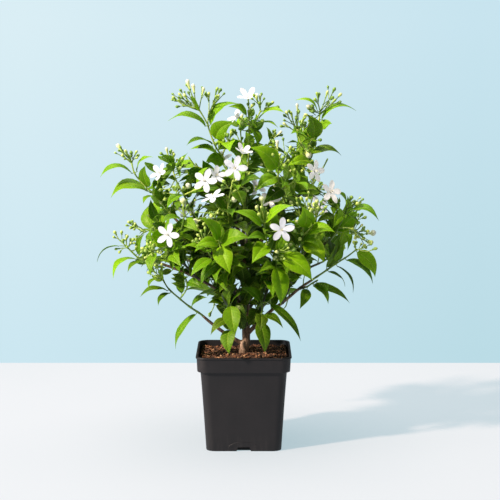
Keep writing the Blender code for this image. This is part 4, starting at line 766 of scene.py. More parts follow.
class Twig(Grower):
    """A green twig with four sides, and ports in them that leaves, buds and stalks grow from.

    The ports lie in slots along the twig. The port of the flat end has slot END_SLOT.
    """

    def __init__(self, points, first, last, start=0.0, port=None):
        self.port = port
        self.points = points
        self.radii = tapered(first, last, len(points))
        self.frames = frames_along(points)
        self.lengths = [(b - a).length for a, b in zip(points, points[1:])]
        self.length = sum(self.lengths)
        self.start = start
        self.slot_count = int((self.length - start - END_MARGIN) / SLOT)
        self.used = {}

    def stretch(self, distance):
        """Which stretch a distance falls in, and how far along it."""
        for k, length in enumerate(self.lengths):
            if distance <= length or k == len(self.lengths) - 1:
                return k, min(distance, length)
            distance -= length

    def at(self, distance):
        """The point and direction at a distance along the twig."""
        k, rest = self.stretch(distance)
        return self.points[k] + self.frames[k][0] * rest, self.frames[k][0]

    def radius(self, distance):
        k, rest = self.stretch(distance)
        share = rest / self.lengths[k]
        return self.radii[k] * (1 - share) + self.radii[k + 1] * share

    def ring(self, distance):
        """Four corners round the twig, each between two of its sides."""
        k, _ = self.stretch(distance)
        _, side, other = self.frames[k]
        radius = self.radius(distance) * CORNER_REACH
        return circle(self.at(distance)[0], side, other, radius, 4, -math.pi / 4)

    def nearest(self, place):
        """(how far off it shows from a place on the front drawing, the distance) of the nearest spot."""
        samples = max(int(self.length / NEAREST_STEP), NEAREST_LEAST)
        steps = [self.length * k / samples for k in range(samples + 1)]
        return min(((shown(self.at(step)[0]) - place).length, step) for step in steps)

    def find_port(self, distance, way):
        """The free port near a distance whose side faces way best, or None."""
        end, tangent = self.at(self.length)
        at_end = distance > self.length - 2 * SLOT and way.dot(tangent) > END_FACING
        if at_end and END_SLOT not in self.used:
            return Port(self, END_SLOT, 0, end, tangent, self.ring(self.length))
        wanted = int((distance - self.start) / SLOT)
        nearby = [wanted + step for step in NEAR_SLOTS + MORE_SLOTS]
        nearby = [slot for slot in nearby if 0 <= slot < self.slot_count]
        shared = [slot for slot in nearby[: len(NEAR_SLOTS)] if slot in self.used]
        for slot in shared + nearby:
            middle = self.start + (slot + 0.5) * SLOT
            k, _ = self.stretch(middle)
            _, side, other = self.frames[k]
            normals = [side, other, -side, -other]
            best = max(range(4), key=lambda i: normals[i].dot(way))
            if normals[best].dot(way) > SIDE_FACING and best not in self.used.get(slot, {}):
                place = self.at(middle)[0] + normals[best] * self.radius(middle) * FACE_REACH
                low = self.ring(middle - SLOT / 2)
                high = self.ring(middle + SLOT / 2)
                after = (best + 1) % 4
                corners = [low[best], low[after], high[after], high[best]]
                return Port(self, slot, best, place, normals[best], corners)
        return None

    def rings(self, margin=0.0):
        rings = []
        for point, radius, frame in zip(self.points, self.radii, self.frames + self.frames[-1:]):
            if (point - self.points[0]).length < self.start:
                point = self.at(self.start)[0]
            _, side, other = frame
            rings.append(circle(point, side, other, radius * CORNER_REACH + margin, 4, -math.pi / 4))
        return rings

    def shape(self, margin=0.0, whole=True):
        """The bare twig, grown by a margin."""
        rings = self.rings(margin)
        if self.port:
            rings.insert(0, port_ring(self.port, rings[0]))
        return rings_to_shape(rings)


def take(piece):
    """Grows a piece from its port."""
    piece.port.twig.used.setdefault(piece.port.slot, {})[piece.port.side] = piece


class Blade(Grower):
    """A leaf: its stalk from the twig, its midrib from root to tip, and its upper side."""

    def __init__(self, port, root, tip, up, width, lift):
        self.port = port
        self.base = port.middle
        self.root = root
        self.tip = tip
        self.length = (tip - root).length
        self.width = width
        self.lift = lift
        self.axis = (tip - root).normalized()
        self.across = self.axis.cross(up).normalized()
        self.up = self.across.cross(self.axis)
        self.leaf = None
        # How far the leaf's tone is darkened as painted shade: 1 leaves it as it is
        self.painted_dimming = 1

    def rib(self, t):
        """A point of the arched midrib, at t from 0 at the root to 1 at the tip."""
        arch = 4 * t * (1 - t) * self.lift * self.length
        return self.root.lerp(self.tip, t) + self.up * arch

    def section(self, middle, half, thick, edge):
        """Four points round the blade: left edge, upper side, right edge and lower side."""
        left = middle - self.across * half + self.up * edge
        right = middle + self.across * half + self.up * edge
        return [left, middle + self.up * thick, right, middle - self.up * thick]

    def rings(self, margin=0.0):
        size = STALK_HALF + margin
        rings = []
        if (self.root - self.base).length > LONG_STALK:
            way = (self.root - self.base).normalized()
            rings.append(self.section(self.base + way * SHORT_STALK, size, size, 0))
        rings.append(self.section(self.root, size, size, 0))
        for t, share in BLADE_SECTIONS:
            width = self.width * share
            half = width / 2 + margin
            rings.append(self.section(self.rib(t), half, BLADE_THICKNESS / 2 + margin, width * LEAF_FOLD))
        return rings


class BudPlace(Grower):
    """A bud on its stalk, from its foot to its tip."""

    def __init__(self, port, foot, tip, radius):
        self.port = port
        self.foot = foot
        self.tip = tip
        self.radius = radius

    def rings(self, margin=0.0):
        points = [self.foot, self.foot.lerp(self.tip, BUD_WIDEST), self.tip]
        radii = [PEDICEL_RADIUS + margin, self.radius + margin, 0]
        return tube_rings(points, radii, 4)[:2]


class Stalk(Grower):
    """The bent stalk that carries an open flower, with a flat end."""

    def __init__(self, port, points):
        self.port = port
        self.points = points

    def rings(self, margin=0.0):
        radii = [PEDICEL_RADIUS + margin] * (len(self.points) - 1) + [TUBE_RADIUS + margin]
        return tube_rings(self.points, radii, 4)[1:]


class BloomPlace:
    """An open flower: the middle of its petals, the way it faces, its size and how far petals cup."""

    def __init__(self, middle, face, size, turn, cups):
        self.middle = middle
        self.face = face.normalized()
        self.size = size
        self.turn = turn
        self.cups = cups
        self.right = off_line(self.face, STEEP_FACE).cross(self.face).normalized()
        self.top = self.face.cross(self.right)

    def around(self, angle, radius, height):
        way = self.right * math.cos(angle) + self.top * math.sin(angle)
        return self.middle + way * radius + self.face * height

    def foot(self, back=0.0):
        """The end of the flower's tube, or a point further back on its line."""
        return self.middle - self.face * (TUBE_LENGTH * self.size + back)

    def petal_rings(self, index, throat, margin):
        """The sections of a petal past its root: left edge, keel and right edge, and its tip."""
        angle = self.turn + 2 * math.pi / PETALS * index
        long = PETAL_LENGTH * self.size
        thick = PETAL_THICKNESS + margin
        rings = []
        for reach, share in PETAL_SECTIONS:
            out = throat + long * reach
            rise = self.cups[index] * reach * reach * long
            half = PETAL_WIDTH * self.size * share / 2 + margin
            swing = math.atan2(half, out)
            wide = math.hypot(half, out)
            rings.append([
                self.around(angle - swing, wide, rise + margin),
                self.around(angle, out, rise - thick),
                self.around(angle + swing, wide, rise + margin),
            ])
        tip = self.around(angle, throat + long + margin, self.cups[index] * long - thick / 2)
        return rings, tip

    def shape(self, margin=0.0):
        """Five petals round a tube, in one skin."""
        step = 2 * math.pi / PETALS
        throat = THROAT_RADIUS * self.size + margin
        foot = -TUBE_LENGTH * self.size - margin
        skin = Skin()
        edges = [self.turn + step * (i - 0.5) for i in range(PETALS)]
        keels = [self.turn + step * i for i in range(PETALS)]
        middle = skin.ring([self.around(0, 0, margin)])[0]
        joints = skin.ring([self.around(angle, throat, margin) for angle in edges])
        lows = skin.ring([self.around(angle, throat, -PETAL_THICKNESS - margin) for angle in keels])
        ends = skin.ring([self.around(angle, TUBE_RADIUS + margin, foot) for angle in edges])
        for i in range(PETALS):
            j = (i + 1) % PETALS
            skin.faces.append((middle, joints[i], joints[j]))
            skin.faces.append((joints[i], ends[i], lows[i]))
            skin.faces.append((lows[i], ends[i], ends[j]))
            skin.faces.append((lows[i], ends[j], joints[j]))
            rings, tip = self.petal_rings(i, throat, margin)
            ring = [joints[i], lows[i], joints[j]]
            for points in rings:
                new = skin.ring(points)
                skin.bridge(ring, new)
                ring = new
            skin.spike(ring, tip)
        skin.cap(list(reversed(ends)))
        return skin.shape()


# Growth: where every twig, leaf, bud and flower goes, with nothing crossing anything else


class Crowd:
    """What is placed so far. Pieces of other nodes are kept a clearance away."""

    def __init__(self):
        self.placed = []

    @staticmethod
    def measured(shape):
        points, faces = shape
        low = [min(point[k] for point in points) for k in range(3)]
        high = [max(point[k] for point in points) for k in range(3)]
        return low, high, BVHTree.FromPolygons(points, faces)

    def meets(self, owner, piece):
        """True if a piece meets another node's, or another of its own node past its stalk's foot."""
        low, high, tree = self.measured(piece.shape(CLEARANCE))
        own_whole = self.measured(piece.shape(OWN_CLEARANCE))[2]
        own_outer = self.measured(piece.shape(OWN_CLEARANCE, False))[2]
        parent = piece.port.twig if piece.port else None
        on_wood = owner == "trunk"
        for other, other_low, other_high, other_tree, other_own, other_piece in self.placed:
            if any(low[k] > other_high[k] or high[k] < other_low[k] for k in range(3)):
                continue
            if other != owner:
                if tree.overlap(other_tree):
                    return True
            elif (own_outer if other_piece is parent or on_wood else own_whole).overlap(other_own):
                return True
        return False

    def add(self, owner, wide, own, piece=None):
        low, high, tree = self.measured(wide)
        self.placed.append((owner, low, high, tree, self.measured(own)[2], piece))

    def add_piece(self, owner, piece):
        self.add(owner, piece.shape(CLEARANCE), piece.shape(), piece)


def shown(point):
    """Where the front drawing shows a point, as a column and a row."""
    ray = point - EYE
    depth = ray.y * math.cos(EYE_DROP) - ray.z * math.sin(EYE_DROP)
    rise = ray.z * math.cos(EYE_DROP) + ray.y * math.sin(EYE_DROP)
    return Vector((DRAWING_MIDDLE + EYE_FOCAL * ray.x / depth, DRAWING_MIDDLE - EYE_FOCAL * rise / depth))


def depth_of(point):
    return -point.y / MM


CROWN_MIDDLE = seen((243, 235), 0)


def outward(point):
    """The level direction from the crown's middle to a point."""
    away = Vector((point.x - CROWN_MIDDLE.x, point.y - CROWN_MIDDLE.y, 0))
    return away.normalized() if away.length > 1 * MM else Vector((0, -1, 0))


def upper_side(root, axis, roll):
    """The way a leaf's upper side faces: up and outward, square to its midrib, and rolled."""
    wanted = Vector((0, 0, 1)) + outward(root) * OUTWARD_FACING
    up = wanted - axis * wanted.dot(axis)
    if up.length < LEAST_UP:
        up = axis.orthogonal()
    return Matrix.Rotation(roll, 3, axis) @ up.normalized()


def nearest_twig(twigs, place):
    """The twig, and the distance along it, that show nearest to a place on the front drawing."""
    found = [(*twig.nearest(place), k) for k, twig in enumerate(twigs)]
    _, distance, k = min(found)
    return twigs[k], distance


def bent_line(bends):
    """The points of bends given as (column, row, depth)."""
    return [seen(bend[:2], bend[2]) for bend in bends]


def limb_points(name):
    return bent_line(LIMBS[name][0])


def limb_shape(name, margin=0.0):
    """A limb, grown by a margin."""
    points = limb_points(name)
    _, first, last = LIMBS[name]
    return tube(points, tapered(first * MM + margin, last * MM + margin, len(points)), LIMB_SIDES)


def trunk_points():
    foot = Vector((0, 0, HOLE_FLOOR + GAP))
    level = Vector((0, 0, SOIL_LEVEL + TRUNK_FLARE))
    return [foot, level] + bent_line(TRUNK_BENDS)


def trunk_radii():
    rest = tapered(TRUNK_MIDDLE_RADIUS, TRUNK_END_RADIUS, len(TRUNK_BENDS) - 1)
    return [TRUNK_RADIUS] * 2 + [TRUNK_BEND_RADIUS] + rest


def grow_twigs(name):
    """The twigs of a stem. The first goes straight on from its limb's end, a gap away."""
    ends = limb_points(name)
    along = (ends[-1] - ends[-2]).normalized()
    start = ends[-1] + along * GAP
    first_radius = LIMBS[name][2] * MM
    twigs = []
    for k, bends in enumerate(STEMS[name].twigs):
        points = bent_line(bends)
        if k == 0:
            points = [start, start + along * STRAIGHT_START] + points
            twigs.append(Twig(points, first_radius, TWIG_END_RADIUS))
            continue
        spots = []
        for index, parent in enumerate(twigs):
            for step in range(int(parent.length / MM)):
                distance = step * MM
                spots.append(((parent.at(distance)[0] - points[0]).length, index, distance))
        _, index, distance = min(spots)
        way = (points[1] - points[0]).normalized()
        port = twigs[index].find_port(distance, way)
        clear = (twigs[index].radius(distance) + SIDE_TWIG_RADIUS) * CORNER_REACH + OWN_CLEARANCE
        start = SIDE_TWIG_START
        for nearby in (distance - STALK_LEAVE, distance + STALK_LEAVE):
            along = twigs[index].at(max(nearby, 0))[1]
            start = max(start, clear / math.sqrt(1 - way.dot(along) ** 2))
        twig = Twig(points, SIDE_TWIG_RADIUS, TWIG_END_RADIUS, start, port)
        take(twig)
        twigs.append(twig)
    return twigs


def drawn_blade(twigs, leaf, push, turn, shrink, roll):
    """The blade of a leaf on the front drawing, pushed in depth, turned and shrunk to fit."""
    twig, distance = nearest_twig(twigs, Vector(leaf.root))
    spot = twig.at(distance)[0]
    ahead = seen(leaf.tip, depth_of(spot)) - spot
    reach = math.sqrt(max((leaf.long * MM) ** 2 - ahead.length_squared, 0)) / MM
    tip = seen(leaf.tip, depth_of(spot) + leaf.side * reach * DRAWN_REACH + push)
    port = twig.find_port(distance, (tip - spot).normalized())
    if port is None:
        return None
    base = port.middle
    root = seen(leaf.root, depth_of(base) + ROOT_AHEAD)
    straight = (root - base).normalized().dot((tip - root).normalized())
    if (root - base).length < LONG_STALK or straight < STALK_BEND:
        root = base + ((tip - base).normalized() + port.normal * STALK_SPREAD).normalized() * SHORT_STALK
    tip = root + (tip - root) * shrink
    width = leaf.wide * MM * shrink if leaf.wide else LEAF_WIDTH_SHARE * (tip - root).length
    up = upper_side(root, (tip - root).normalized(), math.radians(leaf.roll) + roll + turn)
    blade = Blade(port, root, tip, up, width, leaf.lift)
    blade.leaf = leaf
    return blade


def first_that_fits(name, crowd, candidates):
    """Places the first piece that meets nothing. It returns the piece, or None."""
    for piece in candidates:
        if piece is None or crowd.meets(name, piece):
            continue
        take(piece)
        crowd.add_piece(name, piece)
        return piece
    return None


def grow_drawn_leaves(name, twigs, crowd, rng):
    """The leaves that the front drawing shows. One that finds no room is left out."""
    blades = []
    for leaf in STEMS[name].leaves:
        roll = rng.uniform(-DRAWN_ROLL, DRAWN_ROLL)
        candidates = (drawn_blade(twigs, leaf, *fit, roll) for fit in DRAWN_TRIES)
        blades.append(first_that_fits(name, crowd, candidates))
    return [blade for blade in blades if blade]


def ruled_blade(twig, distance, turn, length, roll, lift):
    """A leaf that leaves a twig at turn round it, drawn a little outward and down by its weight."""
    spot, along = twig.at(distance)
    level = along.cross(off_line(along, STEEP_TWIG)).normalized()
    radial = Matrix.Rotation(turn, 3, along) @ level
    axis = along * math.cos(LEAF_ANGLE) + radial * math.sin(LEAF_ANGLE)
    axis = (axis + outward(spot) * OUTWARD_PULL - Vector((0, 0, LEAF_SAG))).normalized()
    port = twig.find_port(distance, axis)
    if port is None:
        return None
    root = port.middle + (axis + port.normal * STALK_SPREAD).normalized() * SHORT_STALK
    up = upper_side(root, axis, roll)
    return Blade(port, root, root + axis * length, up, length * LEAF_WIDTH_SHARE, lift)


def grow_ruled_leaves(name, twigs, crowd, rng, most):
    """Opposite pairs of leaves along the twigs, each pair a quarter turn from the last."""
    blades = []
    for twig in twigs:
        distance = twig.start + FIRST_PAIR
        turn = rng.uniform(0, math.pi)
        while distance < twig.length and len(blades) < most:
            for half in (0, math.pi)[: most - len(blades)]:
                length = LEAF_LENGTH * rng.uniform(*RULED_LENGTHS)
                heading = turn + half + rng.uniform(*HEADINGS)
                roll = rng.uniform(*RULED_ROLLS)
                lift = rng.uniform(*RULED_LIFTS)
                candidates = (
                    ruled_blade(twig, distance, heading + swing, length * shrink, roll, lift)
                    for swing, shrink in RULED_TRIES
                )
                blade = first_that_fits(name, crowd, candidates)
                if blade:
                    blades.append(blade)
            distance += NODE_SPACING * rng.uniform(*RULED_SPREAD)
            turn += math.pi / 2
    return blades


def bud_candidates(twigs, bud, length, radius, pushes):
    for push in pushes:
        twig, distance = nearest_twig(twigs, Vector(bud.at))
        spot = twig.at(distance)[0]
        middle = seen(bud.at, depth_of(spot) + push)
        way = ((middle - spot).normalized() + Vector((0, 0, BUD_RISE))).normalized()
        half = way * length / 2
        if (middle - spot).length < length / 2 + STALK_LEAVE:
            middle = spot + way * (length / 2 + STALK_LEAVE)
        port = twig.find_port(distance, way)
        yield BudPlace(port, middle - half, middle + half, radius) if port else None


def grow_buds(name, twigs, crowd, rng):
    """The buds that the front drawing shows, on stalks from the nearest twig."""
    places = []
    for bud in STEMS[name].buds:
        length = (BIG_BUD_LENGTH if bud.big else BUD_LENGTH) * rng.uniform(*BUD_SPREAD)
        radius = BIG_BUD_RADIUS if bud.big else BUD_RADIUS
        pushes = (rng.uniform(*BUD_FIRST_PUSHES), *BUD_PUSHES)
        places.append(first_that_fits(name, crowd, bud_candidates(twigs, bud, length, radius, pushes)))
    return [place for place in places if place]


def ruled_bud_candidates(twig, turn, length, radius, stalk):
    for lean in BUD_LEANS:
        _, along = twig.at(twig.length)
        radial = turned_side(along, turn)
        way = (along + radial * lean + Vector((0, 0, BUD_RISE))).normalized()
        port = twig.find_port(twig.length, way)
        if port is None:
            yield None
            continue
        foot = port.middle + way * stalk
        yield BudPlace(port, foot, foot + way * length, radius)


def grow_ruled_buds(name, twigs, crowd, rng, count):
    """A spray of buds on each twig's end, where the front drawing shows none."""
    places = []
    for twig in twigs:
        for k in range(count):
            turn = GOLDEN_TURN * k + rng.uniform(*HEADINGS)
            length = BUD_LENGTH * rng.uniform(*RULED_SPREAD)
            stalk = rng.uniform(*BUD_STALKS)
            candidates = ruled_bud_candidates(twig, turn, length, BUD_RADIUS, stalk)
            places.append(first_that_fits(name, crowd, candidates))
    return [place for place in places if place]


def bloom_name(stem, index):
    return "bloom_" + stem + ("_" + "abc"[index] if index else "")


def grow_blooms(name, twigs, crowd, rng):
    """The open flowers of a stem, each on its own bent stalk."""
    places = []
    for bloom in STEMS[name].blooms:
        across, rise, front = bloom.face
        face = Vector((across, -front, rise))
        cups = [rng.uniform(*PETAL_CUP) for _ in range(PETALS)]
        place = BloomPlace(seen(bloom.at, bloom.depth), face, bloom.size, bloom.turn, cups)
        near = place.foot(STALK_AIM)
        twig, distance = nearest_twig(twigs, shown(near))
        way = (near - twig.at(distance)[0]).normalized()
        port = twig.find_port(distance, way)
        leave = port.middle + (port.normal + way).normalized() * STALK_LEAVE
        stalk = Stalk(port, [port.middle, leave, place.foot(STALK_STRAIGHT), place.foot(GAP)])
        take(stalk)
        crowd.add(bloom_name(name, len(places)), place.shape(CLEARANCE), place.shape(OWN_CLEARANCE))
        crowd.add_piece(name, stalk)
        places.append(place)
    return places


Grown = namedtuple("Grown", "twigs blades buds blooms")


def grow():
    """Every stem's twigs, blades, buds and flowers, placed in turn from the most to the least seen."""
    crowd = Crowd()
    trunk = tube(trunk_points(), [radius + CLEARANCE for radius in trunk_radii()], TRUNK_SIDES)
    crowd.add("trunk", trunk, trunk)
    for name in LIMBS:
        limb = limb_shape(name, CLEARANCE)
        crowd.add("trunk", limb, limb)
    twigs = {name: grow_twigs(name) for name in STEMS}
    rngs = {name: random.Random(name) for name in STEMS}
    for name, group in twigs.items():
        for twig in group:
            crowd.add_piece(name, twig)
    blooms = {name: grow_blooms(name, twigs[name], crowd, rngs[name]) for name in STEMS}
    blades = {name: grow_drawn_leaves(name, twigs[name], crowd, rngs[name]) for name in STEMS}
    sprays = {name: grow_buds(name, twigs[name], crowd, rngs[name]) for name in STEMS}
    for name, stem in STEMS.items():
        behind = not stem.leaves
        if behind:
            sprays[name] += grow_ruled_buds(name, twigs[name], crowd, rngs[name], BACK_BUDS)
        most = BACK_RULED_LEAVES if behind else RULED_LEAVES
        blades[name] += grow_ruled_leaves(name, twigs[name], crowd, rngs[name], most)
    return crowd, {name: Grown(twigs[name], blades[name], sprays[name], blooms[name]) for name in STEMS}


# Foliage that fills the crown behind and between what the drawing shows

SHOOT_RADIUS = 0.9 * MM
SHOOT_END_RADIUS = 0.6 * MM
SHOOT_SPACING = 9 * MM
SHOOT_FROM = 0.12
SHOOT_LENGTHS = (8 * MM, 26 * MM)
SHOOT_ALONG = 0.5
SHOOT_OUT = 0.3
SHOOT_RISE = 0.25
SHOOT_LEAVE = 1.2 * MM
SHOOT_END_OUT = 0.2
SHOOT_END_RISE = 0.15
SHOOT_SPREAD = (0.8, 1.2)
SHOOT_TRIES = 14
LIMB_LEAVES = 40
LIMB_LEAF_FROM = 5 * MM
LIMB_SPACING = 7 * MM
FILL_LEAVES = 44
FILL_TRIES = ((0, 1), (0.5, 0.9), (-0.5, 0.9), (1.0, 0.8), (-1.0, 0.8), (0.2, 0.62))
FILL_SPACING = 9 * MM
FILL_LENGTH = 43 * MM
FILL_FIRST = (0.4, 0.9)
FILL_LENGTHS = (0.62, 1.12)
FILL_ROLLS = (-0.5, 0.5)
FILL_LIFTS = (0.08, 0.22)
FILL_PAST = 0.4
BOX_MARGIN = 2 * MM

# The crown's outline on the front drawing, inside which the filling leaves keep
CROWN_OUTLINE = [
    (236, 330), (228, 326), (221, 314), (213, 303), (206, 296), (200, 291), (186, 290), (176, 287),
    (166, 281), (158, 283), (150, 277), (138, 268), (130, 258), (134, 251), (142, 245), (147, 235),
    (150, 226), (152, 216), (149, 206), (146, 198), (143, 188), (148, 180), (154, 174), (160, 168),
    (172, 163), (184, 166), (196, 170), (206, 164), (212, 156), (215, 146), (213, 136), (218, 126),
    (228, 120), (238, 116), (248, 110), (256, 108), (264, 116), (270, 130), (275, 147), (286, 148),
    (288, 138), (294, 124), (302, 118), (314, 116), (320, 124), (318, 140), (314, 156), (310, 172),
    (314, 186), (326, 190), (340, 196), (350, 206), (358, 216), (358, 223), (350, 227), (345, 236),
    (345, 246), (344, 254), (334, 259), (322, 261), (313, 263), (309, 270), (303, 277), (294, 285),
    (286, 296), (278, 301), (270, 308), (266, 320), (262, 330),
]

# Where the wall shows through the crown on the front drawing, as (column, row, radius)
SKY_GAPS = [
    (226, 153, 3), (227, 157, 2), (248, 154, 2), (249, 158, 2), (243, 178, 2), (247, 185, 2),
    (252, 188, 2), (219, 199, 2), (200, 204, 3), (202, 211, 3), (216, 213, 3), (263, 193, 3),
    (261, 200, 2), (274, 190, 3), (267, 190, 2), (277, 174, 2), (277, 161, 2), (276, 204, 2),
    (191, 217, 3), (201, 165, 4), (207, 158, 5), (198, 158, 6), (239, 136, 6), (232, 131, 5),
    (262, 135, 5), (266, 141, 4), (285, 147, 3), (286, 162, 2), (287, 173, 3), (292, 175, 3),
    (305, 186, 6), (298, 189, 4), (311, 184, 5), (283, 197, 3), (306, 202, 3), (288, 211, 3),
    (294, 207, 2), (317, 221, 4), (342, 228, 5), (347, 210, 4), (338, 237, 3), (176, 171, 3),
    (178, 181, 3), (177, 194, 2), (167, 190, 3), (169, 197, 2), (189, 223, 3), (168, 222, 4),
    (174, 220, 3), (210, 254, 2), (215, 257, 2), (201, 238, 2), (197, 254, 2), (209, 281, 3),
    (208, 286, 3), (196, 292, 3), (206, 300, 5), (207, 306, 4), (226, 300, 2), (237, 286, 3),
    (240, 297, 2), (251, 308, 4), (269, 292, 3), (267, 298, 2), (268, 308, 5), (238, 318, 2),
    (250, 326, 2), (259, 319, 2), (239, 334, 4), (248, 335, 2), (254, 333, 5), (192, 277, 3),
    (267, 254, 2), (289, 296, 3), (334, 243, 4), (321, 264, 4), (303, 281, 5), (314, 256, 3),
    (305, 251, 2), (321, 272, 3), (291, 289, 2), (170, 248, 3), (161, 250, 3), (185, 256, 2),
    (188, 264, 3), (166, 266, 3), (174, 270, 3), (189, 277, 3), (168, 279, 4),
]
GAP_DEPTH = -1000

# Small leaves of the solids, by their tips, that would hide what the front drawing shows
LEFT_OUT = [(247, 206), (176, 288), (183, 318), (179, 295), (260, 307), (318, 258), (317, 296)]
NEAR_TIP = 2.5
NEAR_END = 0.55

# Leaves of the front drawing that the solids do without
MORE_LEAVES = {
    "bright_right": [Leaf((281, 190), (264, 204), 36, 22)],
    "low_mid": [Leaf((232, 306), (247, 318), 34, 20), Leaf((236, 312), (244, 330), 34, 20)],
    "low_centre": [Leaf((256, 306), (250, 326), 36, 20), Leaf((262, 312), (260, 331), 34, 18)],
    "right": [Leaf((322, 238), (330, 258), 40, 20)],
    "upper_centre": [Leaf((236, 190), (243, 205), 34, 20)],
}

# How far round a thing of the front drawing its cells are kept clear, in pixels, and how far before a
# leaf another may hang, in mm
BIG_BUD_CLEAR = 5
BUD_CLEAR = 3
BLOOM_CLEAR = 10
BEAD_CLEAR = 2.5
LEAF_CLEAR = 1.2
LEAF_AHEAD = 1

# Where a leaf is looked at: shares of its length, shares of its half width, and how far that is drawn in
CLEAR_SPOTS = ([step / 10 for step in range(2, 10)], (-1, -0.5, 0, 0.5, 1), 0.8)
HIDING_SPOTS = ([step / 10 for step in range(1, 10, 2)], (-1, 0, 1), 0.85)
COVER_SPOTS = ([step / 14 for step in range(1, 14)], (-1, -0.6, -0.2, 0.2, 0.6, 1), 0.9)

# The cells of the front drawing, in pixels, and the leaves that cover its holes
COVER_CELL = 3
CROWN_COLUMNS = (100, 400)
CROWN_ROWS = (80, 360)
HOLE_REACH = 30
HOLE_TURNS = 14
HOLE_LENGTHS = (34 * MM, 26 * MM, 19 * MM)
HOLE_TWIGS = 16
HOLE_SHIFTS = (0, 8 * MM, -8 * MM)
# The share of its tone that a leaf over a hole keeps: darkened as painted shade deep in the crown
HOLE_PAINTED_SHADE = 0.4
HOLE_LIFT = 0.12
HOLE_ROLL = 0.65


def inside_outline(point):
    """True if the front drawing shows a point inside the crown's outline."""
    column, row = shown(point)
    inside = False
    for (left, top), (right, low) in zip(CROWN_OUTLINE, CROWN_OUTLINE[1:] + CROWN_OUTLINE[:1]):
        if (top > row) != (low > row) and column < (right - left) * (row - top) / (low - top) + left:
            inside = not inside
    return inside


def inside_box(point):
    low, high = cad_box
    return all(low[k] + BOX_MARGIN < point[k] < high[k] - BOX_MARGIN for k in range(3))


def spots_on(blade, stops, sides, share):
    """Points of a leaf, at stops along it and at shares of its half width there."""
    for t in stops:
        half = blade.width / 2 * leaf_profile(t) * share
        for u in sides:
            yield blade.rib(t) + blade.across * (half * u)


class Seen:
    """What the front drawing shows, by its cells: nothing that fills the crown hangs before it."""

    def __init__(self):
        self.depths = {}

    def keep_clear(self, place, reach, depth):
        """Nothing nearer than depth may show within reach of a place."""
        for column in range(int(place[0] - reach), int(place[0] + reach) + 1):
            for row in range(int(place[1] - reach), int(place[1] + reach) + 1):
                if math.hypot(column - place[0], row - place[1]) <= reach:
                    cell = (column, row)
                    self.depths[cell] = min(self.depths.get(cell, depth), depth)

    def keep_leaf_clear(self, blade):
        for point in spots_on(blade, *CLEAR_SPOTS):
            self.keep_clear(shown(point), LEAF_CLEAR, depth_of(point) + LEAF_AHEAD)

    def hides(self, point):
        place = shown(point)
        return depth_of(point) > self.depths.get((round(place.x), round(place.y)), math.inf)

    def hidden_by(self, blade):
        """True if a leaf would hang before something that the drawing shows, or across a gap."""
        return any(self.hides(point) for point in spots_on(blade, *HIDING_SPOTS))


def left_out(blade):
    """True for a small leaf that the front drawing leaves out: one out before the wall, or one listed."""
    tip = shown(blade.tip)
    if any((tip - Vector(place)).length < NEAR_TIP for place in LEFT_OUT):
        return True
    return blade.leaf is None and not inside_outline(blade.tip) and not inside_outline(blade.rib(NEAR_END))


def what_shows(grown):
    """The drawing's buds, flowers, leaves and gaps, which stay in view."""
    view = Seen()
    for column, row, reach in SKY_GAPS:
        view.keep_clear((column, row), reach, GAP_DEPTH)
    for one in grown.values():
        for place in one.buds:
            reach = BIG_BUD_CLEAR if place.radius > BUD_RADIUS else BUD_CLEAR
            view.keep_clear(shown(place.tip), reach, depth_of(place.tip))
            view.keep_clear(shown(place.foot), reach, depth_of(place.foot))
        for place in one.blooms:
            view.keep_clear(shown(place.middle), BLOOM_CLEAR * place.size, depth_of(place.middle))
        for blade in one.blades:
            if blade.leaf:
                view.keep_leaf_clear(blade)
    return view


def in_crown(blade):
    """True if a leaf's tip and middle keep to the crown."""
    ends = (blade.tip, blade.rib(0.5))
    return all(inside_box(point) and inside_outline(point) for point in ends)


def limb_twig(name):
    """A limb with slots in it, for the leaves and shoots that grow from it."""
    return Twig(limb_points(name), LIMBS[name][1] * MM, LIMBS[name][2] * MM, LIMB_LEAF_FROM)


def grow_shoots(name, limb, crowd, rng):
    """Short green shoots along a limb, each with its own slots for leaves."""
    shoots = []
    distance = limb.length * SHOOT_FROM + rng.uniform(0, SHOOT_SPACING)
    turn = rng.uniform(0, 2 * math.pi)
    while distance < limb.length:
        spot, along = limb.at(distance)
        for _ in range(SHOOT_TRIES):
            radial = turned_side(along, turn)
            way = radial + along * SHOOT_ALONG + outward(spot) * SHOOT_OUT + Vector((0, 0, SHOOT_RISE))
            way = way.normalized()
            length = rng.uniform(*SHOOT_LENGTHS)
            first = spot + way * (limb.radius(distance) + SHOOT_LEAVE)
            bend = first + way * length * 0.5
            ahead = way + outward(spot) * SHOOT_END_OUT + Vector((0, 0, SHOOT_END_RISE))
            tip = bend + ahead.normalized() * length * 0.5
            shoot = Twig([first, bend, tip], SHOOT_RADIUS, SHOOT_END_RADIUS)
            turn += GOLDEN_TURN
            if inside_box(tip) and inside_outline(tip) and not crowd.meets("fill_" + name, shoot):
                crowd.add_piece("fill_" + name, shoot)
                shoots.append((spot, shoot))
                break
        distance += SHOOT_SPACING * rng.uniform(*SHOOT_SPREAD)
    return shoots


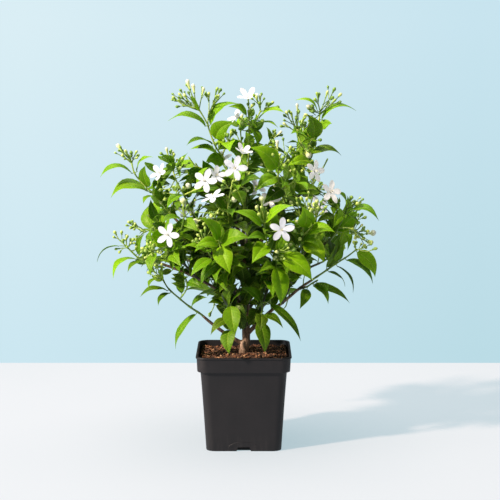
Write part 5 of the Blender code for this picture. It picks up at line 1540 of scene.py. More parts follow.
def fill_leaves(owner, twigs, crowd, view, rng, most, spacing=FILL_SPACING):
    """More opposite leaves along twigs, wherever there is room inside the crown."""
    blades = []
    for twig in twigs:
        distance = twig.start + spacing * rng.uniform(*FILL_FIRST)
        turn = rng.uniform(0, math.pi)
        while distance < twig.length + spacing * FILL_PAST and len(blades) < most:
            for half in (0, math.pi):
                length = FILL_LENGTH * rng.uniform(*FILL_LENGTHS)
                heading = turn + half + rng.uniform(*HEADINGS)
                roll = rng.uniform(*FILL_ROLLS)
                lift = rng.uniform(*FILL_LIFTS)
                for swing, shrink in FILL_TRIES:
                    spot = min(distance, twig.length)
                    blade = ruled_blade(twig, spot, heading + swing, length * shrink, roll, lift)
                    if blade is None or not in_crown(blade) or view.hidden_by(blade):
                        continue
                    if not crowd.meets(owner, blade):
                        take(blade)
                        crowd.add_piece(owner, blade)
                        blades.append(blade)
                        break
            distance += spacing * rng.uniform(*RULED_SPREAD)
            turn += math.pi / 2
    return blades


class Cover:
    """The cells of the front drawing that leaves cover."""

    def __init__(self):
        self.cells = set()

    def cells_of(self, blade):
        places = [shown(point) for point in spots_on(blade, *COVER_SPOTS)]
        return {(int(place.x // COVER_CELL), int(place.y // COVER_CELL)) for place in places}

    def add(self, blade):
        self.cells |= self.cells_of(blade)


def crown_cells(view):
    """The cells inside the crown's outline, but for those that show the wall."""
    columns = range(*(int(end / COVER_CELL) for end in CROWN_COLUMNS))
    rows = range(*(int(end / COVER_CELL) for end in CROWN_ROWS))
    for column in columns:
        for row in rows:
            place = ((column + 0.5) * COVER_CELL, (row + 0.5) * COVER_CELL)
            gap = view.depths.get((round(place[0]), round(place[1]))) == GAP_DEPTH
            if not gap and inside_outline(seen(place, 0)):
                yield (column, row), place


def front_blade(twig, distance, turn, length):
    """A ruled leaf rolled about its midrib towards the front."""
    blade = ruled_blade(twig, distance, turn, length, 0, HOLE_LIFT)
    if blade is None:
        return None
    roll = HOLE_ROLL * math.atan2(-blade.across.y, -blade.up.y)
    up = Matrix.Rotation(roll, 3, blade.axis) @ blade.up
    return Blade(blade.port, blade.root, blade.tip, up, blade.width, HOLE_LIFT)


def fill_holes(bearers, cover, crowd, view, rng):
    """Leaves over the cells that would show the wall though the front drawing doesn't.

    A bearer is the stem's name, the twig's owner in the crowd, and the twig.
    """
    grown = []
    for cell, place in crown_cells(view):
        if cell in cover.cells:
            continue
        found = sorted((*bearer[2].nearest(Vector(place)), k) for k, bearer in enumerate(bearers))
        blade = None
        for away, distance, k in found[:HOLE_TWIGS]:
            if away > HOLE_REACH:
                break
            name, owner, twig = bearers[k]
            first = rng.uniform(0, 2 * math.pi)
            for shift, length, index in product(HOLE_SHIFTS, HOLE_LENGTHS, range(HOLE_TURNS)):
                turn = first + 2 * math.pi / HOLE_TURNS * index
                spot = min(max(distance + shift, 0), twig.length)
                blade = front_blade(twig, spot, turn, length)
                fits = blade and cell in cover.cells_of(blade) and in_crown(blade)
                if fits and not view.hidden_by(blade) and not crowd.meets(owner, blade):
                    break
                blade = None
            if blade:
                take(blade)
                crowd.add_piece(owner, blade)
                cover.add(blade)
                # Leaves over holes are darkened as painted shade
                blade.painted_dimming = HOLE_PAINTED_SHADE
                grown.append((name, blade))
                break
    return grown


# Small buds on forked stalks, and sprays of them

BEAD_LENGTHS = (4.5 * MM, 8 * MM)
BEAD_FORKS = (0.25, 0.7)
BEAD_SPREADS = (0.35, 0.95)
BEADS = (1, 3)
BEAD_RADIUS = 1.5 * MM
BEAD_FOOT_RADIUS = 0.4 * MM
BEAD_TIP_RADIUS = 0.6 * MM
BEAD_WIDEST = 0.6
BEAD_WIDTHS = (0.28, 0.36)
SMALL_BUD_WIDTHS = (0.3, 0.38)
BEAD_ARMS = (0.35, 0.8)
BEAD_LEAST_ARM = 4 * MM
SPRAY_STALKS = (7 * MM, 17 * MM)
SPRAY_BUDS = (4, 9)
SPRAY_ARMS = (3.5 * MM, 9 * MM)
SPRAY_SPREADS = (0.15, 0.9)
SPRAY_OUT = 0.075
SPRAY_KNOT = 1.2 * MM
SPRAY_FROM = (0.55, 1.0)
SPRAY_PULL = 0.7
SPRAY_RISE = 0.45
SPRAY_SIDEWAYS = 0.6
SPRAY_STALK_RADIUS = 0.8 * MM
SPRAY_LOWEST = 268

# Where the front drawing shows the wall and no sprays, as (column, row, radius)
SPRAY_FREE = [
    (137, 200, 16), (336, 152, 17), (181, 134, 14), (345, 180, 16), (122, 215, 14), (204, 132, 12),
    (308, 282, 10),
]

# More small round buds that the front drawing shows, and how far before their twigs they may hang in mm
SMALL_BUDS = [
    (248, 173), (236, 180), (220, 180), (269, 171), (273, 155), (178, 201), (176, 206), (184, 209),
    (195, 200), (194, 206), (184, 199), (187, 204), (212, 216), (223, 214), (229, 208), (240, 207),
    (256, 209), (259, 215), (268, 214), (205, 229), (201, 232), (277, 252), (282, 256), (161, 203),
    (165, 198), (160, 190), (171, 151), (174, 155), (177, 160), (182, 159), (184, 166), (186, 172),
    (180, 168), (189, 163), (216, 172), (261, 165), (259, 170), (291, 147), (294, 149), (291, 153),
    (296, 156), (301, 156), (280, 155), (283, 158), (302, 171), (295, 170), (291, 171), (317, 202),
    (322, 204), (324, 200), (323, 212), (312, 210), (314, 206), (297, 199), (301, 198), (318, 208),
    (309, 204), (320, 140), (315, 147), (344, 228), (353, 229), (356, 234), (351, 198), (357, 204),
    (276, 252), (274, 259), (281, 259), (284, 259), (292, 251), (286, 245), (288, 248), (291, 245),
    (297, 246), (267, 244), (300, 239), (302, 234), (295, 231), (292, 226), (297, 222), (289, 221),
    (355, 247), (228, 135), (224, 141), (233, 139), (243, 124), (247, 131), (240, 129), (252, 118),
    (262, 121), (299, 112), (305, 118), (301, 124), (296, 119), (309, 121), (150, 247), (146, 251),
    (152, 255), (156, 258), (149, 262), (143, 256), (158, 252), (162, 256), (148, 241), (131, 243),
    (127, 247), (136, 247), (141, 252), (154, 262), (207, 222), (191, 215), (197, 226), (218, 213),
    (225, 188), (229, 184), (244, 190), (250, 197), (170, 190), (172, 199), (192, 209), (200, 206),
    (165, 208), (254, 176), (264, 186), (275, 186), (284, 166), (288, 161),
]
SMALL_PUSHES = (10, 15, 6, 20, 3, 25)

Bead = namedtuple("Bead", "start foot tip radius")
Spray = namedtuple("Spray", "start knot beads")


class Loose:
    """A small piece that is tested on its own, from its foot to its tip."""

    port = None

    def __init__(self, foot, tip, radius):
        self.foot = foot
        self.tip = tip
        self.radius = radius

    def shape(self, margin=0.0, whole=True):
        points = [self.foot, self.foot.lerp(self.tip, BEAD_WIDEST), self.tip]
        radii = [BEAD_FOOT_RADIUS + margin, self.radius + margin, BEAD_TIP_RADIUS + margin]
        return tube(points, radii, 5)


def bead_on(fork, aim, arm, crowd, rng):
    """A small bud at the end of an arm from a fork, or None if it would meet something."""
    length = rng.uniform(*BEAD_LENGTHS)
    foot = fork + aim * arm
    tip = foot + aim * length
    loose = Loose(foot, tip, BEAD_RADIUS)
    if not inside_box(tip) or crowd.meets("bead", loose):
        return None
    crowd.add_piece("bead", loose)
    return Bead(fork, foot, tip, length * rng.uniform(*BEAD_WIDTHS))


def grow_beads(grown, crowd, rng):
    """Small buds on stalks that fork from the stalks of the others."""
    beads = []
    for place in grown.buds:
        start = place.port.middle
        reach = (place.foot - start).length
        way = (place.tip - start).normalized()
        turn = rng.uniform(0, 2 * math.pi)
        for _ in range(rng.randint(*BEADS)):
            turn += GOLDEN_TURN
            fork = start.lerp(place.foot, rng.uniform(*BEAD_FORKS))
            radial = turned_side(way, turn)
            aim = (way + radial * rng.uniform(*BEAD_SPREADS)).normalized()
            arm = max(reach * rng.uniform(*BEAD_ARMS), BEAD_LEAST_ARM)
            beads.append(bead_on(fork, aim, arm, crowd, rng))
    return [bead for bead in beads if bead]


def grow_small_buds(twigs, crowd, rng):
    """The small buds of the front drawing, by the stem whose twig shows nearest to each."""
    owners = [(name, twig) for name, group in twigs.items() if STEMS[name].leaves for twig in group]
    grown = {name: [] for name in twigs}
    for place in SMALL_BUDS:
        found = [(*twig.nearest(Vector(place)), k) for k, (_, twig) in enumerate(owners)]
        _, distance, k = min(found)
        name, twig = owners[k]
        spot = twig.at(distance)[0]
        length = rng.uniform(*BEAD_LENGTHS)
        for push in SMALL_PUSHES:
            middle = seen(place, depth_of(spot) + push)
            way = ((middle - spot).normalized() + Vector((0, 0, BUD_RISE))).normalized()
            foot = middle - way * length / 2
            tip = middle + way * length / 2
            loose = Loose(foot, tip, BEAD_RADIUS)
            if inside_box(tip) and not crowd.meets("bead", loose):
                crowd.add_piece("bead", loose)
                grown[name].append(Bead(spot, foot, tip, length * rng.uniform(*SMALL_BUD_WIDTHS)))
                break
    return grown


def near_wall(place):
    """True for a place of the front drawing where the wall shows beside the crown."""
    return any((place - Vector((column, row))).length < reach for column, row, reach in SPRAY_FREE)


def grow_sprays(twigs, crowd, rng, tries):
    """Sprays of small buds that stand out of the crown's surface, near the ends of twigs."""
    sprays = []
    for twig in twigs:
        for _ in range(tries):
            distance = twig.length * rng.uniform(*SPRAY_FROM)
            spot, along = twig.at(distance)
            if (spot - CROWN_MIDDLE).length < SPRAY_OUT:
                continue
            sideways = Vector((rng.uniform(-1, 1), rng.uniform(-1, 1), rng.uniform(-0.4, 1)))
            way = along * SPRAY_PULL + outward(spot) * SPRAY_PULL + Vector((0, 0, SPRAY_RISE))
            way = (way + sideways * SPRAY_SIDEWAYS).normalized()
            port = twig.find_port(distance, way)
            if port is None:
                continue
            knot = port.middle + way * rng.uniform(*SPRAY_STALKS)
            if shown(knot).y > SPRAY_LOWEST or near_wall(shown(knot)):
                continue
            stalk = Loose(port.middle + way * 3 * MM, knot, SPRAY_STALK_RADIUS)
            if not inside_box(knot) or crowd.meets("bead", stalk):
                continue
            crowd.add_piece("bead", stalk)
            beads = []
            turn = rng.uniform(0, 2 * math.pi)
            for k in range(rng.randint(*SPRAY_BUDS)):
                turn += GOLDEN_TURN
                radial = turned_side(way, turn)
                aim = (way + radial * (0 if k == 0 else rng.uniform(*SPRAY_SPREADS))).normalized()
                fork = knot + way * SPRAY_KNOT
                beads.append(bead_on(fork, aim, rng.uniform(*SPRAY_ARMS), crowd, rng))
            sprays.append(Spray(port, knot, [bead for bead in beads if bead]))
    return sprays


# Fine forms

LEAF_ROWS = (0, 0.03, 0.08, 0.15, 0.24, 0.34, 0.45, 0.56, 0.67, 0.77, 0.86, 0.93, 0.97, 1)
LEAF_COLUMNS = (-1, -0.72, -0.4, -0.1, 0, 0.1, 0.4, 0.72, 1)
LEAF_THICKNESS = 0.34 * MM
RIDGE = 0.22 * MM
PROFILE_PEAK = 0.2682
PETIOLE_RADIUS = 0.55 * MM
PETIOLE_SIDES = 5
TWIG_SIDES = 7
NODE_SWELLING = 0.3
NODE_LENGTH = 2.2 * MM
BARE_LEAST = 5 * MM
BARE_END = 0.5 * MM
BASE_NEAR = 2.6 * MM
LINE_STEP = 2.5 * MM
STALK_STEP = 2 * MM
PETIOLE_STEP = 1.6 * MM
PEDICEL_SAG = 0.3 * MM
UPPER = 1
UNDER = -1
LEAF, UNDERSIDE, TWIG, BUD = range(4)


class Pile:
    """The points and faces of one piece, and what its materials read at each point.

    A place is (across, along, side) on a leaf, petal or bud, and a tint is (shade, warmth, seed).
    An edge between two creased points stays sharp.
    """

    def __init__(self):
        self.points = []
        self.places = []
        self.tints = []
        self.creased = []
        self.faces = []
        self.finishes = []

    def point(self, where, place, tint, creased=False):
        self.points.append(where)
        self.places.append(place)
        self.tints.append(tint)
        self.creased.append(creased)
        return len(self.points) - 1

    def face(self, corners, finish):
        self.faces.append(corners)
        self.finishes.append(finish)

    def grid(self, low, high, finish, closed=False):
        """Faces between two rows of points."""
        count = len(low) if closed else len(low) - 1
        for i in range(count):
            j = (i + 1) % len(low)
            corners = [low[i], low[j], high[j], high[i]]
            corners = [corner for k, corner in enumerate(corners) if corner not in corners[:k]]
            if len(corners) > 2:
                self.face(corners, finish)

    def tube(self, points, radii, sides, finish, tint, alongs=None, ends=True):
        """A round bar along points. Its places run from 0 to 1 along it unless alongs are given."""
        rings = tube_rings(points, radii, sides)
        before = None
        for k, ring in enumerate(rings):
            along = alongs[k] if alongs else k / (len(rings) - 1)
            numbers = [
                self.point(where, (i / sides * 2 - 1, along, 0), tint) for i, where in enumerate(ring)
            ]
            if before:
                self.grid(before, numbers, finish, closed=True)
            elif ends:
                self.face(list(reversed(numbers)), finish)
            before = numbers
        if ends:
            self.face(before, finish)

    def build(self, name, finishes, slot, *nodes):
        """The piece as an object that rides on the root in place of its nodes."""
        mesh = bpy.data.meshes.new(name)
        mesh.from_pydata([tuple(where) for where in self.points], [], self.faces)
        for finish in finishes:
            mesh.materials.append(finish)
        mesh.polygons.foreach_set("material_index", self.finishes)
        mesh.polygons.foreach_set("use_smooth", [True] * len(mesh.polygons))
        for title, values in (("place", self.places), ("tint", self.tints)):
            layer = mesh.attributes.new(title, "FLOAT_VECTOR", "POINT")
            layer.data.foreach_set("vector", [number for value in values for number in value])
        ends = [0] * (2 * len(mesh.edges))
        mesh.edges.foreach_get("vertices", ends)
        creased = self.creased
        sharp = [creased[ends[2 * k]] and creased[ends[2 * k + 1]] for k in range(len(mesh.edges))]
        mesh.edges.foreach_set("use_edge_sharp", sharp)
        place_piece(new_object(name, mesh), slot, *nodes)


def new_object(name, data):
    """An object of a mesh, camera or light, linked to the scene."""
    made = bpy.data.objects.new(name, data)
    bpy.context.scene.collection.objects.link(made)
    return made


def place_piece(made, slot, *nodes):
    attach(made, "root")
    if nodes:
        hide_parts(*nodes)


def smooth_line(points, step=LINE_STEP):
    """Points along a curve that runs smoothly through the given ones, with where each lies along them."""
    padded = [points[0] * 2 - points[1]] + list(points) + [points[-1] * 2 - points[-2]]
    line = []
    wheres = []
    for k in range(1, len(padded) - 2):
        before, start, end, after = padded[k - 1 : k + 3]
        pull = (end - start).length
        leave = (end - before).normalized() * pull
        arrive = (after - start).normalized() * pull
        count = max(2, round(pull / step))
        for i in range(count):
            t = i / count
            line.append(
                start * (2 * t**3 - 3 * t**2 + 1) + leave * (t**3 - 2 * t**2 + t)
                + end * (3 * t**2 - 2 * t**3) + arrive * (t**3 - t**2)
            )
            wheres.append((k - 1 + t) / (len(points) - 1))
    line.append(points[-1])
    wheres.append(1)
    return line, wheres


def leaf_profile(t):
    """A leaf's share of its widest half, broad near its foot and drawn out to a drip tip."""
    return t**0.7 * (1 - t) ** 1.35 / PROFILE_PEAK


# How far the leaves of the front drawing roll about their midribs to face the front, by their tips: 0 to 1
ROLL_SHARES = {
    (144, 166): 0.75, (233, 122): 0.9, (190, 149): 0.0, (252, 146): 0.55, (335, 232): 0.35,
    (309, 115): 0.9, (332, 123): 0.8, (205, 161): 0.8, (110, 196): 0.4, (100, 175): 0.28,
    (168, 120): 0.05, (356, 109): 0.1, (296, 98): 0.0, (189, 97): 0.6, (150, 234): 0.8, (237, 102): 0.25,
    (325, 261): 0.5, (376, 277): 0.8, (303, 206): 0.9, (313, 280): 0.5, (229, 274): 0.4, (144, 233): 0.7,
    (285, 112): 0.2,
}
EDGE_ROLL = 0.2


def front_roll(blade):
    """The angle about its midrib by which a leaf of the front drawing turns to face the front."""
    if blade.leaf is None:
        return 0
    share = ROLL_SHARES.get(blade.leaf.tip, 0 if blade.leaf.wide else EDGE_ROLL)
    return share * math.atan2(-blade.across.y, -blade.up.y)


class LeafForm:
    """How one leaf bends, folds and waves."""

    def __init__(self, blade, rng):
        self.blade = blade
        self.fold = rng.uniform(0.26, 0.5)
        self.curl = self.fold - 2 * LEAF_FOLD + rng.uniform(-0.02, 0.12)
        self.droop = rng.uniform(0.03, 0.1)
        self.sway = rng.uniform(-0.05, 0.05)
        self.twist = rng.uniform(-0.3, 0.3)
        self.roll = front_roll(blade)
        self.wave = rng.uniform(0.02, 0.075)
        self.waves = rng.uniform(1.6, 2.8)
        self.phase = rng.uniform(0, 2 * math.pi)

    def rib(self, t):
        """The midrib, whose drip tip hangs and sways a little."""
        blade = self.blade
        late = max(t - 0.55, 0) / 0.45
        hang = blade.up * (-self.droop * late**2) + blade.across * (self.sway * t * t)
        return blade.rib(t) + hang * blade.length

    def square(self, t):
        """The leaf's across and up directions at t."""
        blade = self.blade
        ahead = (self.rib(min(t + 0.02, 1)) - self.rib(max(t - 0.02, 0))).normalized()
        turn = Matrix.Rotation(self.roll + self.twist * (t - 0.35), 3, blade.axis)
        across = turn @ blade.across
        across = (across - ahead * across.dot(ahead)).normalized()
        return across, across.cross(ahead)

    def point(self, t, u, side):
        across, up = self.square(t)
        half = self.blade.width / 2 * leaf_profile(t)
        edge = abs(u)
        height = half * (self.fold * edge - self.curl * edge**2)
        beat = 2 * math.pi * self.waves * t + self.phase + (1.9 if u > 0 else 0)
        height += self.blade.width / 2 * self.wave * math.sin(beat) * edge**2 * leaf_profile(t) ** 0.5
        thick = LEAF_THICKNESS / 2 * (1 - edge**4) * side
        if side == UNDER and u == 0:
            thick -= RIDGE * (1 - t)
        return self.rib(t) + across * (half * u) + up * (height + thick)


def add_sheet(pile, stops, columns, point, tint, finishes, turned, foot_shut=False):
    """A thin sheet of two sides that meet at its edges and its tip, and at its foot if that is shut.

    point(t, u, side) places it. The faces of the turned side run the other way.
    """
    edges = (0, len(columns) - 1)
    before = None
    for t in stops:
        row = {UPPER: [], UNDER: []}
        if t == 1:
            tip = pile.point(point(1, 0, 0), (0, 1, 0), tint, True)
            row = {side: [tip] * len(columns) for side in row}
        else:
            for k, u in enumerate(columns):
                shared = k in edges or (foot_shut and t == 0)
                upper = pile.point(point(t, u, 0 if shared else UPPER), (u, t, UPPER), tint, shared)
                row[UPPER].append(upper)
                if shared:
                    row[UNDER].append(upper)
                else:
                    row[UNDER].append(pile.point(point(t, u, UNDER), (u, t, UNDER), tint))
        if before:
            for side, finish in finishes.items():
                step = -1 if side == turned else 1
                pile.grid(before[side][::step], row[side][::step], finish)
        before = row


def add_leaf(pile, blade, tint, rng, start):
    """A leaf with its upper and under side, its drip tip and its bent stalk from start."""
    form = LeafForm(blade, rng)
    finishes = {UPPER: LEAF, UNDER: UNDERSIDE}
    add_sheet(pile, LEAF_ROWS, LEAF_COLUMNS, form.point, tint, finishes, UNDER, foot_shut=True)
    axis = blade.axis
    join = blade.root + axis * (0.04 * blade.length)
    bend = start.lerp(blade.root, 0.55) + Vector((0, 0, 0.5 * MM))
    line, _ = smooth_line([start, bend, blade.root, join], PETIOLE_STEP)
    radii = tapered(PETIOLE_RADIUS * 1.25, PETIOLE_RADIUS * 0.6, len(line))
    radii[0] *= 1.3
    # The stalk takes half the leaf's tone, painted light and shade included
    pile.tube(line, radii, PETIOLE_SIDES, TWIG, (tint[0] * 0.5 + 0.3, tint[1], tint[2]))


def bearing_reach(twig, bases):
    """How far along a twig its last leaf, bud or spray grows."""
    reach = BARE_LEAST
    steps = int(twig.length / MM)
    for distance in (step * MM for step in range(steps + 1)):
        spot = twig.at(distance)[0]
        if any((base - spot).length < BASE_NEAR for base in bases):
            reach = max(reach, distance + BARE_END)
    return reach


def points_up_to(points, reach):
    """The points of a line as far along it as reach."""
    kept = [points[0]]
    gone = 0
    for before, after in zip(points, points[1:]):
        step = (after - before).length
        if gone + step > reach:
            kept.append(before.lerp(after, (reach - gone) / step))
            return kept
        gone += step
        kept.append(after)
    return kept


def add_twig(pile, twig, rng, start, shade, reach=1):
    """A round green twig that swells where its leaves grow."""
    points = points_up_to(twig.points, reach)
    if start is not None:
        points = [start] + points
    line, wheres = smooth_line(points)
    knots = [twig.at(twig.start + (slot + 0.5) * SLOT)[0] for slot in twig.used if slot != END_SLOT]
    first = twig.radii[0]
    last = twig.radii[-1]
    radii = []
    for point, where in zip(line, wheres):
        near = min(((knot - point).length for knot in knots), default=1)
        swelling = NODE_SWELLING * math.exp(-(near / NODE_LENGTH) ** 2)
        radii.append((first + (last - first) * where) * (1 + swelling))
    tint = (shade + rng.uniform(*SHADE_VARIES), rng.random(), rng.random())
    pile.tube(line, radii, TWIG_SIDES, TWIG, tint)


# Buds: half widths along them, from the stalk's end to the tip
CLUB = (
    (0, 0.3), (0.03, 0.5), (0.09, 0.56), (0.14, 0.42), (0.3, 0.5), (0.46, 0.62), (0.6, 0.82),
    (0.72, 0.98), (0.82, 1.0), (0.9, 0.84), (0.96, 0.5),
)
PEARL = (
    (0, 0.2), (0.03, 0.4), (0.1, 0.44), (0.14, 0.25), (0.3, 0.27), (0.42, 0.42), (0.52, 0.74),
    (0.63, 0.97), (0.73, 1.0), (0.83, 0.86), (0.92, 0.55), (0.975, 0.24),
)
ROUND = (
    (0, 0.24), (0.05, 0.5), (0.16, 0.6), (0.24, 0.5), (0.36, 0.72), (0.5, 0.96), (0.66, 1.0), (0.8, 0.82),
    (0.92, 0.45),
)
SLENDER = (
    (0, 0.24), (0.04, 0.44), (0.13, 0.5), (0.2, 0.36), (0.4, 0.48), (0.6, 0.68), (0.76, 0.74),
    (0.88, 0.54), (0.96, 0.24),
)


def add_bud(pile, foot, tip, radius, profile, sides, tint):
    """A bud turned from its profile, a little bent, with its tip rounded off."""
    axis = (tip - foot).normalized()
    side = axis.orthogonal().normalized()
    other = axis.cross(side)
    length = (tip - foot).length
    bend = side * (0.06 * length * math.sin(tint[2] * 40))
    before = None
    for t, share in profile:
        middle = foot.lerp(tip, t) + bend * (t * (1 - t) * 4)
        ring = circle(middle, side, other, radius * share, sides)
        numbers = [pile.point(where, (i / sides, t, 0), tint) for i, where in enumerate(ring)]
        if before:
            pile.grid(before, numbers, BUD, closed=True)
        else:
            pile.face(list(reversed(numbers)), BUD)
        before = numbers
    end = pile.point(tip, (0, 1, 0), tint)
    for i in range(sides):
        pile.face([before[i], before[(i + 1) % sides], end], BUD)


def add_pedicel(pile, start, end, way, radius, tint):
    """A thin stalk that bends from start to run into a bud along way."""
    reach = (end - start).length
    knee = end - way * (reach * 0.4)
    sag = start.lerp(knee, 0.5) - Vector((0, 0, PEDICEL_SAG))
    line, _ = smooth_line([start, sag, knee, end], STALK_STEP)
    pile.tube(line, tapered(radius * 1.15, radius, len(line)), 5, TWIG, tint)


# Flowers

PETAL_ROWS = (0, 0.12, 0.26, 0.4, 0.54, 0.67, 0.78, 0.87, 0.94, 0.985, 1)
PETAL_COLUMNS = (-1, -0.66, -0.33, 0, 0.33, 0.66, 1)
PETAL_THIN = 0.38 * MM
PETAL_LONGER = 1.12
PETAL_WIDER = 1.3
PETAL, BLOOM_GREEN, ANTHER = range(3)
STAMENS = 10

# The flower's tube: shares of its length and of its radius
TUBE_STOPS = ((0, 0.9), (0.12, 1.0), (0.5, 0.95), (0.8, 1.15), (0.93, 1.7), (1.0, 2.3))

# The green cup round its foot, as (how far up the tube, radius), and the stamens' threads, in mm
CUP_STOPS = ((-0.8, 0.7), (0, 1.25), (1.6, 1.45), (2.6, 1.15))
THREAD_RADII = [0.16 * MM, 0.14 * MM, 0.12 * MM]
ANTHER_RADII = [0.18 * MM, 0.4 * MM, 0.16 * MM]
STIGMA_RADII = [0.3 * MM, 0.6 * MM, 0.25 * MM]
STYLE_RADII = [0.25 * MM, 0.22 * MM]


def petal_profile(t):
    """A petal's share of its widest half: narrow at the throat, oblong, and round at the end."""
    spread = 0.4 + 0.6 * math.sin(min(t / 0.62, 1) * math.pi / 2)
    end = max(t - 0.55, 0) / 0.45
    return spread * max(1 - end**2.1, 0) ** 0.6


def petal_point(place, index, t, u, side, curl, wave):
    """A point of a petal that leaves the throat, spreads flat and rolls back at its end."""
    long = PETAL_LENGTH * PETAL_LONGER * place.size
    throat = THROAT_RADIUS * 0.5 * place.size
    angle = place.turn + 2 * math.pi / PETALS * index
    reach = (long + THROAT_RADIUS * 0.5 * place.size) * t
    out = throat + reach * math.cos(place.closed)
    rise = place.cups[index] * t * t * long - curl * long * max(t - 0.5, 0) ** 2
    rise += reach * math.sin(place.closed)
    half = PETAL_WIDTH * PETAL_WIDER * place.size / 2 * petal_profile(t)
    dish = 0.16 * half * (abs(u) ** 1.6) * (1 - 0.8 * t)
    ripple = wave * half * math.sin(5 * t + 2.4 * u + index) * abs(u) * t
    drop = -1.1 * MM * max(0.14 - t, 0) / 0.14
    swing = math.atan2(half * u, out)
    wide = math.hypot(half * u, out)
    thin = PETAL_THIN / 2 * (1 - abs(u) ** 3) * (1 - t**4) * side
    return place.around(angle + swing, wide, rise + dish + ripple + drop + thin)


def add_petal(pile, place, index, rng):
    curl = rng.uniform(0.1, 0.5)
    wave = rng.uniform(0.05, 0.16)
    # The tint's second number is the flower's blush and its painted light
    tint = (rng.random(), place.blush, rng.random())

    def point(t, u, side):
        return petal_point(place, index, t, u, side, curl, wave)

    add_sheet(pile, PETAL_ROWS, PETAL_COLUMNS, point, tint, {UPPER: PETAL, UNDER: PETAL}, UPPER)


def add_bloom(pile, place, rng):
    """An open flower: five petals, a slender tube in its green cup, and a tuft of stamens."""
    size = place.size
    for index in range(PETALS):
        add_petal(pile, place, index, rng)
    tint = (rng.random(), rng.random(), rng.random())
    foot = place.foot()
    line = [foot.lerp(place.middle - place.face * 0.6 * MM, t) for t, _ in TUBE_STOPS]
    radii = [TUBE_RADIUS * share * size for _, share in TUBE_STOPS]
    pile.tube(line, radii, 10, BLOOM_GREEN, (1, 0.5, 0.5), ends=False)
    cup = [foot + place.face * up * MM for up, _ in CUP_STOPS]
    pile.tube(cup, [radius * MM for _, radius in CUP_STOPS], 8, BLOOM_GREEN, tint)
    for k in range(STAMENS):
        angle = place.turn + GOLDEN_TURN * k
        reach = (0.7 + 0.5 * (k % 2)) * MM * size
        rise = rng.uniform(2.0, 4.2) * MM * size
        low = place.around(angle, reach * 0.6, -1.0 * MM)
        high = place.around(angle, reach * 1.5, rise)
        pile.tube([low, low.lerp(high, 0.5), high], THREAD_RADII, 4, PETAL, tint)
        way = (high - low).normalized()
        anther = [high - way * 0.1 * MM, high + way * 0.35 * MM, high + way * 0.8 * MM]
        pile.tube(anther, ANTHER_RADII, 5, ANTHER, tint)
    style = [place.middle - place.face * MM, place.middle + place.face * 4.6 * MM * size]
    pile.tube(style, STYLE_RADII, 5, BLOOM_GREEN, tint)
    stigma = [style[1], style[1] + place.face * 0.6 * MM, style[1] + place.face * 1.1 * MM]
    pile.tube(stigma, STIGMA_RADII, 6, ANTHER, tint)


# Pot, soil and trunk

BAND_FOOT = POT_HEIGHT - BAND_HEIGHT
INNER_LEDGE = BAND_FOOT + WALL
RIM_INNER_WIDTH = RIM_WIDTH - 2 * (WALL + LIP)
BAND_INNER_WIDTH = BAND_FOOT_WIDTH - 2 * WALL
BODY_INNER_TOP = BODY_TOP_WIDTH - 2 * WALL
BASE_INNER = BASE_WIDTH - 2 * WALL + (BODY_TOP_WIDTH - BASE_WIDTH) * FLOOR / BAND_FOOT

POT_BOW = 0.5 * MM
POT_CREASE = math.radians(38)

# How far each point of a notch's rounded corner lies inwards of the corner and under it, in mm
NOTCH_ROUND = ((0, 1), (0.4, 0.3), (1.1, 0))

# The low ridge that arches over each notch of the foot
ARCH_STEPS = 24
ARCH_HALF = 21 * MM
ARCH_RISE = 9.5 * MM
ARCH_FOOT = 3.5 * MM
ARCH_RADIUS = 0.7 * MM
ARCH_SUNK = 0.42 * MM

# The soil's top: its noise as (scale, level, height in mm), its lift, and its heap round the trunk in mm
SOIL_ROUGH = ((60, 0, 1.6), (190, 0.3, 0.9))
SOIL_LIFT = 1.8 * MM
HEAP = 2.2
HEAP_RADIUS = 14 * MM

EARTH, CHIP = range(2)
CHIPS = 1300
CHIP_LENGTHS = (2.5 * MM, 8.5 * MM)
CRUMBS = 1500
CRUMB_SIZES = (0.5 * MM, 1.3 * MM)
CHIP_TILT = 0.38
CHIP_CLEAR = 0.5 * MM
CHIP_MARGIN = 3.5 * MM
BED_STEPS = 64
BED_SKIRT = 6 * MM


def square_ring(width, height, steps=CORNER_STEPS):
    """The points of a square with rounded corners, at a height, against the clock from above."""
    radius = width * CORNER_SHARE
    inner = width / 2 - radius
    ring = []
    for quarter in range(4):
        corner = Matrix.Rotation(math.pi / 2 * quarter, 3, "Z") @ Vector((inner, inner, height))
        for step in range(steps + 1):
            angle = math.pi / 2 * (quarter + step / steps)
            ring.append(corner + Vector((math.cos(angle), math.sin(angle), 0)) * radius)
    return ring


def plain_object(name, shape, finish):
    """An object from a shape, with its faces pointing out."""
    points, faces = shape
    mesh = bpy.data.meshes.new(name)
    mesh.from_pydata([tuple(point) for point in points], [], faces)
    work = bmesh.new()
    work.from_mesh(mesh)
    bmesh.ops.recalc_face_normals(work, faces=work.faces)
    work.to_mesh(mesh)
    work.free()
    mesh.materials.append(finish)
    return new_object(name, mesh)


def cut(target, shapes):
    """Cuts shapes from an object, and leaves one plain mesh."""
    group = bpy.data.collections.new(target.name + "_cutters")
    pieces = [plain_object("cutter", shape, target.data.materials[0]) for shape in shapes]
    for piece in pieces:
        bpy.context.scene.collection.objects.unlink(piece)
        group.objects.link(piece)
    modifier = target.modifiers.new("cut", "BOOLEAN")
    modifier.operation = "DIFFERENCE"
    modifier.operand_type = "COLLECTION"
    modifier.collection = group
    modifier.solver = "EXACT"
    graph = bpy.context.evaluated_depsgraph_get()
    mesh = bpy.data.meshes.new_from_object(target.evaluated_get(graph))
    target.modifiers.clear()
    target.data = mesh
    for piece in pieces:
        bpy.data.objects.remove(piece)
    bpy.data.collections.remove(group)


def body_width(share):
    """The pot's width at a share of its body's height. The sides are a little hollow."""
    return BASE_WIDTH + (BODY_TOP_WIDTH - BASE_WIDTH) * share - POT_BOW * math.sin(math.pi * share)


